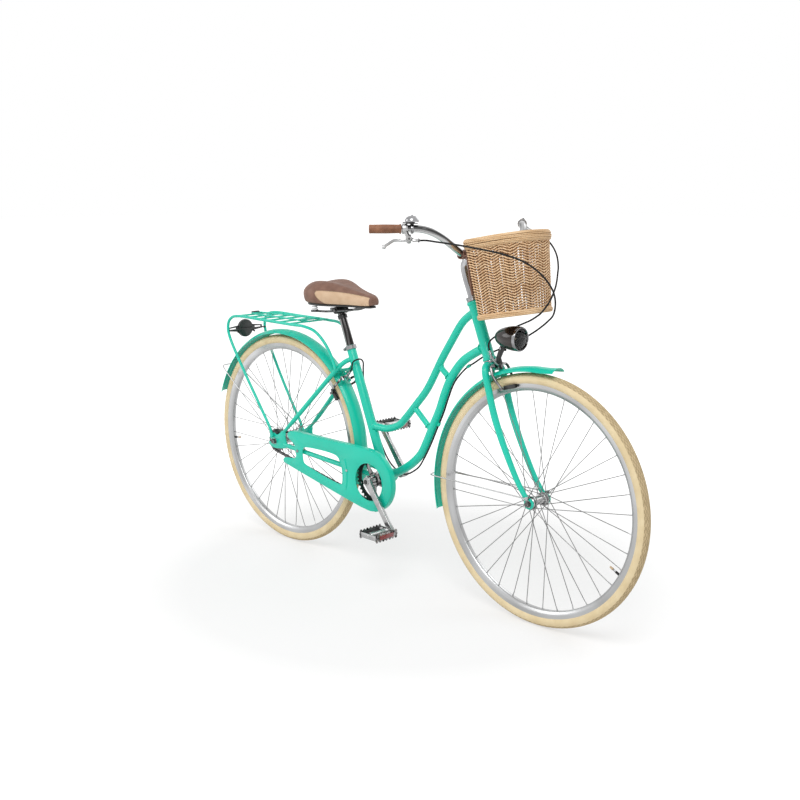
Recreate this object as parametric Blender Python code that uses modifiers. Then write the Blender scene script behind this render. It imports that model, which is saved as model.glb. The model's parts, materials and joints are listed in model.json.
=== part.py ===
"""A step-through city bicycle with a wicker basket, rear carrier and chain guard.

Every physical piece is its own named object. Lengths are in metres, X points
forward, Y to the rider's left and Z up. The origin lies on the ground, midway
between the two wheel axles. The drive side is the rider's right, at negative Y.
"""
import math

import bmesh
import bpy
from mathutils import Matrix, Vector

# Wheels
AXLE_X = 0.5244
AXLE_Z = 0.350
TYRE_HALF_WIDTH = 0.0168
TYRE_CENTRE_RADIUS = AXLE_Z - TYRE_HALF_WIDTH
RIM_EDGE_RADIUS = 0.3235
RIM_BED_RADIUS = 0.3170
RIM_INNER_RADIUS = 0.3020
RIM_HALF_WIDTH = 0.0125
SPOKES = 36
SPOKE_RADIUS = 0.0010
SPOKE_END_RADIUS = 0.3003
WHEEL_STEPS = 30
AXLE_RADIUS = 0.0048

# Frame: both the seat tube and the head tube lean back by 0.4 for each unit of height
LEAN = 0.4
SEAT_TUBE_X, SEAT_TUBE_Z = -0.1965, 0.650
SEAT_TUBE_RADIUS = 0.0143
SEAT_POST_RADIUS = 0.0126
SADDLE_PIVOT_Z = 0.8040
MUDGUARD_BRIDGE = (-0.1512, 0.3180)
SPRING_SEAT = (-0.335, 0.040, 0.7980)
SEAT_TUBE_BORE = 0.0130
STEERING_X, STEERING_Z = 0.3155, 0.800
HEAD_TUBE_BOTTOM, HEAD_TUBE_TOP = 0.715, 0.872
HEAD_TUBE_RADIUS = 0.0165
STEERER_RADIUS = 0.0127
QUILL_RADIUS = 0.0108
UPPER_TUBE_RADIUS = 0.0112
LOWER_TUBE_RADIUS = 0.0127
SEAT_STAY_RADIUS = 0.0075
CHAIN_STAY_RADIUS = 0.0085
FORK_HALF_WIDTH = 0.037
DROPOUT_HALF_WIDTH = 0.058
SEAT = 0.0003

# Drive
BRACKET_X, BRACKET_Z = -0.058, 0.306
BRACKET_SHELL_RADIUS = 0.020
SPINDLE_RADIUS = 0.0085
CHAIN_LINE = -0.0475
CHAIN_PITCH = 0.0127
RING_TEETH, SPROCKET_TEETH = 38, 18
CHAIN_HALF_HEIGHT = 0.0040
CRANK_LENGTH = 0.163
CRANK_FORWARD, CRANK_DOWN = 0.6079, 0.7940
CRANK_PLANE = 0.079
CRANK_THICKNESS = 0.012
GUARD_FACE_Y = -0.067
GUARD_THICKNESS = 0.0015
GUARD_OPENING_RADIUS = 0.0594
GUARD_FRONT_POINTS = 12

# Mudguards
MUDGUARD_RADIUS = 0.3675
MUDGUARD_HALF_WIDTH = 0.0255
MUDGUARD_DEPTH = 0.0115
MUDGUARD_THICKNESS = 0.0014
STAY_WIRE_RADIUS = 0.0019
STAY_FOOT = (0.5235, -0.0480, 0.3660)

# Handlebar, on the rider's right; the left half mirrors it
BAR_RADIUS = 0.0098
GRIP_RADIUS = 0.0116
GRIP_LENGTH = 0.083
GRIP_START = Vector((0.253, -0.250, 1.077))
GRIP_DIRECTION = Vector((-0.6203, -0.7843, 0.0)).normalized()
LEVER_PLANE_ANGLE = math.radians(40.0)

# Basket
BASKET_BOTTOM = Vector((0.378, 0.0, 0.842))
BASKET_TOP = Vector((0.338, 0.0, 1.046))
BASKET_TILT = math.radians(10.3)

TEAL = ("teal_paint", (0.018, 0.565, 0.418), 0.25, 0.0)
CHROME = ("chrome", (0.80, 0.80, 0.82), 0.10, 1.0)
ALLOY = ("polished_alloy", (0.72, 0.73, 0.74), 0.30, 1.0)
STEEL = ("grey_steel", (0.30, 0.30, 0.31), 0.40, 1.0)
CREAM = ("cream_rubber", (0.83, 0.68, 0.42), 0.75, 0.0)
BLACK = ("black_plastic", (0.02, 0.02, 0.022), 0.45, 0.0)
RUBBER = ("black_rubber", (0.015, 0.015, 0.016), 0.80, 0.0)
LEATHER = ("brown_leather", (0.17, 0.065, 0.030), 0.50, 0.0)
WICKER = ("wicker", (0.60, 0.37, 0.18), 0.70, 0.0)
GLASS = ("lens", (0.75, 0.78, 0.80), 0.05, 0.0)
FORWARD, LEFT, UP = Vector((1, 0, 0)), Vector((0, 1, 0)), Vector((0, 0, 1))


# Scene and object helpers

def clear_scene():
    for obj in list(bpy.data.objects):
        bpy.data.objects.remove(obj, do_unlink=True)


def new_collection(name):
    collection = bpy.data.collections.new(name)
    bpy.context.scene.collection.children.link(collection)
    return collection


def material(look):
    name, colour, roughness, metallic = look
    found = bpy.data.materials.get(name)
    if found:
        return found
    made = bpy.data.materials.new(name)
    made.use_nodes = True
    shader = made.node_tree.nodes["Principled BSDF"]
    shader.inputs["Base Color"].default_value = (*colour, 1.0)
    shader.inputs["Roughness"].default_value = roughness
    shader.inputs["Metallic"].default_value = metallic
    return made


def add(name, data, look=TEAL, place=None):
    obj = bpy.data.objects.new(name, data)
    PARTS.objects.link(obj)
    if place is not None:
        obj.matrix_world = place
    data.materials.append(material(look))
    if obj.type == "MESH":
        data.shade_smooth()
        data.set_sharp_from_angle(angle=math.radians(35))
    return obj


def from_bmesh(name, bm, look=TEAL):
    mesh = bpy.data.meshes.new(name)
    bm.to_mesh(mesh)
    bm.free()
    return add(name, mesh, look)


def make_tool(obj, owner):
    """Move an object to the cutters, where it only shapes its owner."""
    PARTS.objects.unlink(obj)
    CUTTERS.objects.link(obj)
    obj.hide_render = True
    obj.display_type = "WIRE"
    obj.parent = owner
    obj.matrix_parent_inverse = owner.matrix_world.inverted()


def combine(owner, tools, operation):
    for tool in tools:
        boolean = owner.modifiers.new(operation.lower() + "_" + tool.name, "BOOLEAN")
        boolean.operation = operation
        boolean.solver = "EXACT"
        boolean.object = tool
        make_tool(tool, owner)
    return owner


def join(owner, *tools):
    return combine(owner, tools, "UNION")


def cut(owner, *tools):
    return combine(owner, tools, "DIFFERENCE")


def pivot(name, point, *objects, parent=None):
    """An empty on a joint's axis, which carries the pieces that move about it."""
    empty = bpy.data.objects.new(name, None)
    PARTS.objects.link(empty)
    empty.empty_display_size = 0.02
    empty.location = point
    if parent:
        empty.parent = parent
        empty.matrix_parent_inverse = Matrix.Translation(parent.location).inverted()
    for obj in objects:
        obj.parent = empty
        obj.matrix_parent_inverse = Matrix.Translation(point).inverted()
    return empty


def as_mesh(obj):
    """A curve made into a closed mesh, so that it can be cut or joined."""
    bpy.context.view_layer.update()
    evaluated = obj.evaluated_get(bpy.context.evaluated_depsgraph_get())
    mesh = bpy.data.meshes.new_from_object(evaluated)
    bm = bmesh.new()
    bm.from_mesh(mesh)
    bmesh.ops.remove_doubles(bm, verts=bm.verts, dist=0.00001)
    bmesh.ops.recalc_face_normals(bm, faces=bm.faces)
    bm.to_mesh(mesh)
    bm.free()
    name, place = obj.name, obj.matrix_world.copy()
    bpy.data.objects.remove(obj, do_unlink=True)
    made = bpy.data.objects.new(name, mesh)
    PARTS.objects.link(made)
    made.matrix_world = place
    mesh.shade_smooth()
    mesh.set_sharp_from_angle(angle=math.radians(35))
    return made


# Places and directions

def frame_at(origin, up_direction, side=LEFT):
    """A frame whose Z runs along up_direction and whose Y stays near side."""
    z = up_direction.normalized()
    x = side.cross(z).normalized()
    y = z.cross(x)
    turn = Matrix((x, y, z)).transposed().to_4x4()
    return Matrix.Translation(origin) @ turn


LEAN_DIRECTION = Vector((-LEAN, 0.0, 1.0)).normalized()


def on_steering(height):
    return Vector((STEERING_X - LEAN * (height - STEERING_Z), 0.0, height))


def on_seat_tube(height):
    return Vector((SEAT_TUBE_X - LEAN * (height - SEAT_TUBE_Z), 0.0, height))


FRONT_AXLE = Vector((AXLE_X, 0.0, AXLE_Z))
REAR_AXLE = Vector((-AXLE_X, 0.0, AXLE_Z))
BRACKET = Vector((BRACKET_X, 0.0, BRACKET_Z))
CRANK_DIRECTION = Vector((CRANK_FORWARD, 0.0, -CRANK_DOWN))
STEERING_FRAME = frame_at(on_steering(0.70), LEAN_DIRECTION)
BRIDGE_CENTRE = Vector((-0.2505, 0.0, 0.6150))
STAY_DIRECTION = Vector((0.694, 0.0, 0.720)).normalized()
BRIDGE_FRAME = frame_at(BRIDGE_CENTRE, STAY_DIRECTION)
LAMP_CENTRE = Vector((0.4535, 0.0, 0.7841))
LAMP_BOLT = Vector((0.3913, 0.0, 0.7538))


def in_frame(frame, x, y, z):
    return frame @ Vector((x, y, z))


def mirrored(point):
    return Vector((point[0], -point[1], point[2]))


def polar(centre, radius, angle, y=0.0):
    return Vector((centre.x + radius * math.cos(angle), y, centre.z + radius * math.sin(angle)))


# Shapes

def rod(name, start, end, radius, look=TEAL, sides=12, end_radius=None):
    start, end = Vector(start), Vector(end)
    axis = end - start
    place = frame_at((start + end) / 2, axis, LEFT if abs(axis.normalized().y) < 0.9 else FORWARD)
    bm = bmesh.new()
    bmesh.ops.create_cone(bm, cap_ends=True, segments=sides, radius1=radius,
                          radius2=radius if end_radius is None else end_radius,
                          depth=axis.length, matrix=place)
    return from_bmesh(name, bm, look)


def bore(name, start, end, radius, sides=12):
    """A tool for a round hole whose flats, too, keep clear of a bar of the given radius."""
    return rod(name, start, end, (radius + SEAT) / math.cos(math.pi / sides), sides=sides)


def block(name, centre, size, look=TEAL, turn=None):
    place = Matrix.Translation(centre) @ (turn or Matrix.Identity(4)) @ Matrix.Diagonal((*size, 1.0))
    bm = bmesh.new()
    bmesh.ops.create_cube(bm, size=1.0, matrix=place)
    return from_bmesh(name, bm, look)


def smooth_route(points, spacing):
    """Points at an even spacing on a smooth curve through the given ones."""
    points = [Vector(p) for p in points]
    ends = [2 * points[0] - points[1], *points, 2 * points[-1] - points[-2]]
    dense = [points[0]]
    for before, start, end, after in zip(ends, ends[1:], ends[2:], ends[3:]):
        knots = [0.0]
        for a, b in ((before, start), (start, end), (end, after)):
            knots.append(knots[-1] + math.sqrt((b - a).length))
        for step in range(1, 17):
            at = knots[1] + (knots[2] - knots[1]) * step / 16
            dense.append(blend_knots((before, start, end, after), knots, at))
    lengths = [0.0]
    for a, b in zip(dense, dense[1:]):
        lengths.append(lengths[-1] + (b - a).length)
    count = max(2, round(lengths[-1] / spacing) + 1)
    route, index = [], 0
    for k in range(count):
        goal = lengths[-1] * k / (count - 1)
        while index < len(dense) - 2 and lengths[index + 1] < goal:
            index += 1
        part = (goal - lengths[index]) / (lengths[index + 1] - lengths[index])
        route.append(dense[index].lerp(dense[index + 1], part))
    return route


def thin(route, turn=math.radians(7)):
    """The same route without the points of its straight stretches."""
    kept = [route[0]]
    for before, point, after in zip(route, route[1:], route[2:]):
        if (point - kept[-1]).angle(after - point) > turn or (point - before).angle(after - point) > turn:
            kept.append(point)
    return kept + [route[-1]]


def blend_knots(points, knots, at):
    """One point of a centripetal Catmull-Rom curve."""
    level, reach = list(points), 1
    while len(level) > 1:
        level = [between(a, b, knots[i], knots[i + reach], at)
                 for i, (a, b) in enumerate(zip(level, level[1:]))]
        if reach == 2:
            return between(level[0], level[1], knots[1], knots[2], at)
        reach += 1
    return level[0]


def between(a, b, start, end, at):
    return a + (b - a) * ((at - start) / (end - start))


def tube(name, route, radius, look=TEAL, resolution=3, taper=None, closed=False):
    """A round tube along a route; taper gives its radius as a share at each point."""
    curve = bpy.data.curves.new(name, "CURVE")
    curve.dimensions = "3D"
    curve.bevel_depth = radius
    curve.bevel_resolution = resolution
    curve.use_fill_caps = not closed
    spline = curve.splines.new("POLY")
    spline.points.add(len(route) - 1)
    for index, point in enumerate(route):
        spline.points[index].co = (*point, 1.0)
        spline.points[index].radius = taper(index / (len(route) - 1)) if taper else 1.0
    spline.use_cyclic_u = closed
    return add(name, curve, look)


def arc_points(centre, radius, start, end, count):
    """Points on an arc in an outline's own plane, from one angle to another."""
    return [(centre[0] + radius * math.cos(start + (end - start) * k / (count - 1)),
             centre[1] + radius * math.sin(start + (end - start) * k / (count - 1)))
            for k in range(count)]


def plate(name, outline, place, thickness, look=TEAL, holes=()):
    """A flat outline with holes, given in the place's X and Y, and extruded along its Z."""
    if not holes:
        return prism(name, outline, place, thickness, look)
    curve = bpy.data.curves.new(name, "CURVE")
    curve.dimensions = "2D"
    curve.fill_mode = "BOTH"
    curve.extrude = thickness / 2
    for loop in (outline, *holes):
        spline = curve.splines.new("POLY")
        spline.points.add(len(loop) - 1)
        for point, (x, y) in zip(spline.points, loop):
            point.co = (x, y, 0.0, 1.0)
        spline.use_cyclic_u = True
    return as_mesh(add(name, curve, look, place))


def prism(name, outline, place, thickness, look=TEAL):
    """A flat outline without holes, extruded both ways along the place's Z."""
    low, high = ([place @ Vector((x, y, level)) for x, y in outline]
                 for level in (-thickness / 2, thickness / 2))
    return loft(name, [low, high], look)


def side_plane(y):
    """The place of an outline that is drawn in world X and Z, at one Y."""
    return Matrix.Translation((0.0, y, 0.0)) @ Matrix.Rotation(math.pi / 2, 4, "X")


def turned(name, profile, place, look=TEAL, steps=20, closed=False, angle=2 * math.pi):
    """A profile of (radius, height) points, run from top to bottom, turned about the place's Z."""
    bm = bmesh.new()
    verts = [bm.verts.new((radius, 0.0, height)) for radius, height in profile]
    for a, b in zip(verts, verts[1:]):
        bm.edges.new((a, b))
    if closed:
        bm.edges.new((verts[-1], verts[0]))
    obj = from_bmesh(name, bm, look)
    obj.matrix_world = place
    screw = obj.modifiers.new("turn", "SCREW")
    screw.angle = angle
    screw.steps = screw.render_steps = steps
    screw.use_merge_vertices = True
    screw.merge_threshold = 0.00001
    screw.use_smooth_shade = True
    return obj


def loft(name, rings, look=TEAL, closed=False):
    """A skin over rings of points; an open run of rings gets a cap at each end."""
    bm = bmesh.new()
    rows = [[bm.verts.new(point) for point in ring] for ring in rings]
    pairs = list(zip(rows, rows[1:]))
    if closed:
        pairs.append((rows[-1], rows[0]))
    size = len(rows[0])
    for near, far in pairs:
        for k in range(size):
            bm.faces.new((near[k], near[(k + 1) % size], far[(k + 1) % size], far[k]))
    if not closed:
        bm.faces.new(list(reversed(rows[0])))
        bm.faces.new(rows[-1])
    bmesh.ops.recalc_face_normals(bm, faces=bm.faces)
    return from_bmesh(name, bm, look)


def across(centre, y=0.0):
    """A place whose Z is world Y, for a piece that turns on a cross axle."""
    return frame_at(Vector((centre.x, y, centre.z)), LEFT, FORWARD)


# Wheels

def tyre(name, centre):
    lip = TYRE_CENTRE_RADIUS - RIM_EDGE_RADIUS - 0.0004
    start = math.asin(lip / TYRE_HALF_WIDTH)
    angles = [(math.pi + 2 * start) * k / 4 - start for k in range(5)]
    tread = [(TYRE_CENTRE_RADIUS + TYRE_HALF_WIDTH * math.sin(a), TYRE_HALF_WIDTH * math.cos(a))
             for a in angles]
    bead = RIM_HALF_WIDTH - 0.0017
    foot = [(RIM_EDGE_RADIUS + 0.0004, -bead), (RIM_BED_RADIUS + SEAT, -bead),
            (RIM_BED_RADIUS + SEAT, bead), (RIM_EDGE_RADIUS + 0.0004, bead)]
    return turned(name, tread + foot, across(centre), CREAM, WHEEL_STEPS, closed=True)


def rim(name, centre):
    inner_half = 0.005
    channel = RIM_HALF_WIDTH - 0.0014
    section = [(RIM_EDGE_RADIUS, channel), (RIM_EDGE_RADIUS, RIM_HALF_WIDTH), (0.3125, RIM_HALF_WIDTH),
               (RIM_INNER_RADIUS, inner_half), (RIM_INNER_RADIUS, -inner_half),
               (0.3125, -RIM_HALF_WIDTH), (RIM_EDGE_RADIUS, -RIM_HALF_WIDTH),
               (RIM_EDGE_RADIUS, -channel), (RIM_BED_RADIUS, -channel), (RIM_BED_RADIUS, channel)]
    return turned(name, section[::-1], across(centre), ALLOY, WHEEL_STEPS, closed=True)


def spokes(name, centre, flange_radius, flange_y):
    """Crossed wire spokes: odd ones lean forward from the flange, even ones back."""
    bm = bmesh.new()
    lead = math.radians(60)
    for k in range(SPOKES):
        side = 1 if k % 2 else -1
        way = 1 if (k // 2) % 2 else -1
        angle = 2 * math.pi * (k + 0.5) / SPOKES
        start = polar(centre, flange_radius - 0.002, angle + way * lead, side * (flange_y + way * 0.0018))
        end = polar(centre, SPOKE_END_RADIUS, angle, side * 0.002)
        axis = end - start
        bmesh.ops.create_cone(bm, cap_ends=True, segments=3, radius1=SPOKE_RADIUS,
                              radius2=SPOKE_RADIUS, depth=axis.length,
                              matrix=frame_at((start + end) / 2, axis))
    return from_bmesh(name, bm, ALLOY)


def hub(name, centre, flange_radius, flange_y, half_length, barrel):
    edge = 0.0032
    profile = [(0.0056, half_length), (0.0095, half_length), (0.0095, flange_y + edge),
               (flange_radius, flange_y + edge), (flange_radius, flange_y - edge),
               (barrel, flange_y - edge - 0.003)]
    profile += [(radius, -height) for radius, height in reversed(profile)]
    body = turned(name, profile, across(centre), ALLOY, 10, closed=True)
    return join(body, spokes(name + "_spokes", centre, flange_radius, flange_y))


def axle(name, centre, half_length, plate_half_width, plate_half_thickness):
    """A threaded axle with a hexagon nut outside each fork end."""
    bar = rod(name, (centre.x, -half_length, centre.z), (centre.x, half_length, centre.z),
              AXLE_RADIUS, STEEL, 8)
    inner = plate_half_width + plate_half_thickness + SEAT
    for side, tag in ((-1, "right"), (1, "left")):
        nut = rod(name + "_nut_" + tag, (centre.x, side * inner, centre.z),
                  (centre.x, side * (inner + 0.0075), centre.z), 0.0085, STEEL, 6)
        join(bar, nut)
    return bar


def make_wheels():
    front = [tyre("front_tyre", FRONT_AXLE), rim("front_rim", FRONT_AXLE),
             hub("front_hub", FRONT_AXLE, 0.019, 0.0265, 0.0340, 0.0115)]
    rear = [tyre("rear_tyre", REAR_AXLE), rim("rear_rim", REAR_AXLE),
            hub("rear_hub", REAR_AXLE, 0.0225, 0.0270, 0.0425, 0.0175)]
    return front, rear


# Frame

def steering_column(name, low, high, radius):
    return rod(name, on_steering(low), on_steering(high), radius, sides=20)


def seat_tube_cutter(name):
    return rod(name, on_seat_tube(0.30), on_seat_tube(0.70), SEAT_TUBE_RADIUS + SEAT, sides=20)


def bracket_cutter(name):
    return rod(name, BRACKET + 0.05 * LEFT, BRACKET - 0.05 * LEFT, BRACKET_SHELL_RADIUS + SEAT, sides=20)


def head_tube():
    """The tube that the fork turns in, with its pressed bearing cups and a through bore."""
    half = (HEAD_TUBE_TOP - HEAD_TUBE_BOTTOM) / 2 / LEAN_DIRECTION.z
    cup, cup_height, bore = 0.0190, 0.0075, 0.0142
    profile = [(bore, half), (cup, half), (cup, half - cup_height), (HEAD_TUBE_RADIUS, half - cup_height - 0.0015),
               (HEAD_TUBE_RADIUS, -half + cup_height + 0.0015), (cup, -half + cup_height), (cup, -half),
               (bore, -half)]
    middle = on_steering((HEAD_TUBE_TOP + HEAD_TUBE_BOTTOM) / 2)
    return turned("head_tube", profile, frame_at(middle, LEAN_DIRECTION), TEAL, 14, closed=True)


UPPER_ROUTE = [(0.300, 0, 0.851), (0.285, 0, 0.840), (0.250, 0, 0.813), (0.205, 0, 0.750), (0.172, 0, 0.700),
               (0.114, 0, 0.603), (0.0685, 0, 0.550), (0.0225, 0, 0.500), (0.000, 0, 0.479), (-0.050, 0, 0.459),
               (-0.100, 0, 0.457), (-0.120, 0, 0.4565)]
LOWER_ROUTE = [(0.3345, 0, 0.7505), (0.290, 0, 0.727), (0.250, 0, 0.700), (0.209, 0, 0.650), (0.184, 0, 0.600),
               (0.1645, 0, 0.550), (0.140, 0, 0.500), (0.116, 0, 0.450), (0.090, 0, 0.404), (0.050, 0, 0.366),
               (0.000, 0, 0.334), (-0.040, 0, 0.314)]


def head_tube_cutter(name):
    return steering_column(name, 0.70, 0.89, HEAD_TUBE_RADIUS + SEAT)


def upper_tube():
    """The upper swan-neck tube with the two short struts that tie it to the lower one."""
    body = as_mesh(tube("upper_tube", thin(smooth_route(UPPER_ROUTE, 0.030)), UPPER_TUBE_RADIUS, resolution=3))
    strut_radius = 0.0085
    ends = (((0.160, 0, 0.679), (0.203, 0, 0.645)), ((0.058, 0, 0.546), (0.1260, 0, 0.488)))
    lower = [as_mesh(tube("strut_seat_%d" % k, thin(smooth_route(LOWER_ROUTE, 0.030)),
                          LOWER_TUBE_RADIUS + SEAT, resolution=3)) for k in range(2)]
    for index, (start, end) in enumerate(ends):
        strut = rod("strut_%d" % index, start, end, strut_radius, sides=10)
        cut(strut, lower[index])
        join(body, strut)
    return cut(body, head_tube_cutter("upper_tube_head_cut"), seat_tube_cutter("upper_tube_seat_cut"))


def lower_tube():
    body = as_mesh(tube("lower_tube", thin(smooth_route(LOWER_ROUTE, 0.030)), LOWER_TUBE_RADIUS, resolution=3))
    return cut(body, head_tube_cutter("lower_tube_head_cut"), bracket_cutter("lower_tube_bracket_cut"),
               seat_tube_cutter("lower_tube_seat_cut"))


def seat_tube():
    """The seat tube with its clamp collar, bored from the top for the seat post."""
    foot, top, bore_floor, collar = BRACKET_Z, 0.697, 0.430, 0.684
    middle = on_seat_tube(foot)

    def along(height):
        return (height - foot) / LEAN_DIRECTION.z

    profile = [(SEAT_TUBE_BORE, along(top)), (0.0176, along(top)), (0.0176, along(collar)),
               (SEAT_TUBE_RADIUS, along(collar)), (SEAT_TUBE_RADIUS, 0.0), (0.0, 0.0)]
    profile = [(0.0, along(bore_floor)), (SEAT_TUBE_BORE, along(bore_floor))] + profile
    body = turned("seat_tube", profile, frame_at(middle, LEAN_DIRECTION), TEAL, 14)
    at = on_seat_tube(0.6905) - 0.0195 * frame_at(middle, LEAN_DIRECTION).to_3x3().col[0]
    bolt = rod("seat_clamp_bolt", at - 0.012 * LEFT, at + 0.012 * LEFT, 0.0042, CHROME, 10)
    join(body, bolt)
    return cut(body, bracket_cutter("seat_tube_bracket_cut"))


def bracket_shell():
    half, bore = 0.034, 0.0105
    profile = [(bore, half), (BRACKET_SHELL_RADIUS - 0.002, half), (BRACKET_SHELL_RADIUS, half - 0.003),
               (BRACKET_SHELL_RADIUS, -half + 0.003), (BRACKET_SHELL_RADIUS - 0.002, -half), (bore, -half)]
    return turned("bottom_bracket_shell", profile, across(BRACKET), TEAL, 14, closed=True)


def dropout_outline():
    """A rear fork end with a slot for the axle and an eyelet on top for the carrier."""
    x, z, slot = REAR_AXLE.x, REAR_AXLE.z, AXLE_RADIUS + 0.0004
    seat_of_axle = arc_points((x, z), slot, math.pi / 2, -math.pi / 2, 7)
    rest = [(-0.556, z - slot), (-0.553, 0.334), (-0.527, 0.3265), (-0.495, 0.3295), (-0.466, 0.337),
            (-0.467, 0.352), (-0.4725, 0.370), (-0.470, 0.386), (-0.484, 0.392), (-0.499, 0.3805),
            (-0.516, 0.3715), (-0.533, 0.377), (-0.5415, 0.3715), (-0.540, 0.362), (-0.556, z + slot)]
    return rest + seat_of_axle


def chain_stay(name, side):
    route = [(-0.060, 0.023, 0.308), (-0.110, 0.0315, 0.313), (-0.165, 0.0375, 0.318), (-0.260, 0.0455, 0.326),
             (-0.380, 0.0530, 0.3365), (-0.476, 0.0578, 0.3445)]
    points = smooth_route([(x, side * y, z) for x, y, z in route], 0.080)
    body = as_mesh(tube(name, points, CHAIN_STAY_RADIUS, resolution=2,
                        taper=lambda part: 1.0 - 0.15 * part))
    tip = plate(name + "_end", dropout_outline(), side_plane(side * DROPOUT_HALF_WIDTH), 0.005)
    join(body, tip)
    if side < 0:
        x, z = MUDGUARD_BRIDGE
        join(body, rod("mudguard_bridge", (x, -0.0360, z), (x, 0.0273, z), 0.0055, sides=10))
    return cut(body, bracket_cutter(name + "_bracket_cut"), seat_tube_cutter(name + "_seat_cut"))


def seat_stay_route(side):
    route = [(-0.4810, 0.0580, 0.3855), (-0.420, 0.0535, 0.444), (-0.350, 0.0462, 0.5145), (-0.290, 0.0385, 0.5755),
             (-0.2505, 0.0333, 0.6150), (-0.228, 0.0285, 0.6375), (-0.213, 0.0215, 0.6500), (-0.2015, 0.008, 0.6565)]
    return [(x, side * y, z) for x, y, z in route]


def seat_stay(name, side):
    body = as_mesh(tube(name, smooth_route(seat_stay_route(side), 0.032), SEAT_STAY_RADIUS, resolution=2,
                        taper=lambda part: 0.62 + 0.38 * min(1.0, part / 0.16)))
    slot = block(name + "_end_slot", (-0.487, side * DROPOUT_HALF_WIDTH, 0.376), (0.045, 0.0056, 0.045))
    middle = block(name + "_mid_plane", (-0.20, -side * 0.05, 0.65), (0.10, 0.1006, 0.10))
    return cut(body, slot, seat_tube_cutter(name + "_seat_cut"), middle)


def stay_bridge():
    """The bridge between the seat stays, with the bolt that the rear brake turns on."""
    half = 0.0249
    body = rod("stay_bridge", BRIDGE_CENTRE - half * LEFT, BRIDGE_CENTRE + half * LEFT, 0.0055, sides=12)
    return join(body, *brake_bolt("rear", -0.0280, 0.0127))


def mudguard(name, centre, start_angle, end_angle, steps, tab):
    """A rolled sheet arc with a shallow channel section, and the tab that holds it to the frame or fork."""
    count = 5
    spread = math.radians(62)
    profile = []
    for k in range(count):
        a = spread * (1 - 2 * k / (count - 1))
        drop = MUDGUARD_DEPTH * (1 - math.cos(a)) / (1 - math.cos(spread))
        profile.append((MUDGUARD_RADIUS - drop, MUDGUARD_HALF_WIDTH * math.sin(a) / math.sin(spread)))
    start = Matrix.Rotation(math.pi / 2 - start_angle, 4, "Z")
    place = across(centre) @ start
    body = turned(name, profile, place, TEAL, steps, angle=-(end_angle - start_angle))
    body.modifiers["turn"].use_merge_vertices = False
    wall = body.modifiers.new("sheet", "SOLIDIFY")
    wall.thickness = MUDGUARD_THICKNESS
    wall.offset = 0.0
    start, end = tab
    return join(body, rod(name + "_tab", start, end, 0.0050, sides=8))


def stay_wire(name, foot, edge, tip):
    """A wire loop from one axle end, round the back of the mudguard, to the other."""
    right = [foot, edge, tip]
    route = [Vector(p) for p in right] + [mirrored(p) for p in reversed(right)]
    points = rounded(route, 0.012, 2)
    return tube(name, points, STAY_WIRE_RADIUS, CHROME, resolution=1)


def rounded(route, radius, count):
    """A polyline whose inner corners are rounded by short arcs."""
    points = [route[0]]
    for before, corner, after in zip(route, route[1:], route[2:]):
        into = (before - corner).normalized()
        out = (after - corner).normalized()
        for k in range(count + 1):
            part = k / count
            a = corner + into * radius
            b = corner + out * radius
            points.append((1 - part) ** 2 * a + 2 * part * (1 - part) * corner + part ** 2 * b)
    points.append(route[-1])
    return points


# Drive

def belt_loop():
    """The chain's closed path round the chainring and the sprocket, and its length."""
    big = CHAIN_PITCH / 2 / math.sin(math.pi / RING_TEETH)
    small = CHAIN_PITCH / 2 / math.sin(math.pi / SPROCKET_TEETH)
    line = Vector((REAR_AXLE.x - BRACKET.x, REAR_AXLE.z - BRACKET.z))
    bearing = math.atan2(line.y, line.x)
    spread = math.acos((big - small) / line.length)
    return big, small, bearing, spread, line.length


def belt_point(travel):
    """The place and heading on the chain's path, in X and Z, after a travel."""
    big, small, bearing, spread, distance = belt_loop()
    run = math.sqrt(distance ** 2 - (big - small) ** 2)
    big_wrap, small_wrap = 2 * math.pi - 2 * spread, 2 * spread
    stretches = (big * big_wrap, run, small * small_wrap, run)
    travel %= sum(stretches)
    if travel < stretches[0]:
        return polar(BRACKET, big, bearing + spread + travel / big)
    travel -= stretches[0]
    lower = bearing - spread
    if travel < run:
        return polar(BRACKET, big, lower).lerp(polar(REAR_AXLE, small, lower), travel / run)
    travel -= run
    if travel < stretches[2]:
        return polar(REAR_AXLE, small, lower + travel / small)
    travel -= stretches[2]
    upper = bearing + spread
    return polar(REAR_AXLE, small, upper).lerp(polar(BRACKET, big, upper), travel / run)


def belt_length():
    big, small, _, spread, distance = belt_loop()
    run = math.sqrt(distance ** 2 - (big - small) ** 2)
    return big * (2 * math.pi - 2 * spread) + small * 2 * spread + 2 * run


def chain():
    """A roller chain: wide outer links and narrow inner links in turn, all the way round."""
    links = 2 * round(belt_length() / CHAIN_PITCH / 2)
    pins = [belt_point(belt_length() * k / links) for k in range(links)]
    rings = []
    for k in range(links):
        start, end = pins[k], pins[(k + 1) % links]
        along = (end - start).normalized()
        rise = CHAIN_HALF_HEIGHT * LEFT.cross(along)
        half = 0.0043 if k % 2 else 0.0029
        for share in (0.10, 0.90):
            middle = start.lerp(end, share) + CHAIN_LINE * LEFT
            rings.append([middle + half * LEFT + rise, middle - half * LEFT + rise,
                          middle - half * LEFT - rise, middle + half * LEFT - rise])
    print("chain links", links, "length", round(belt_length(), 4))
    return loft("chain", rings, STEEL, closed=True)


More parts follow.
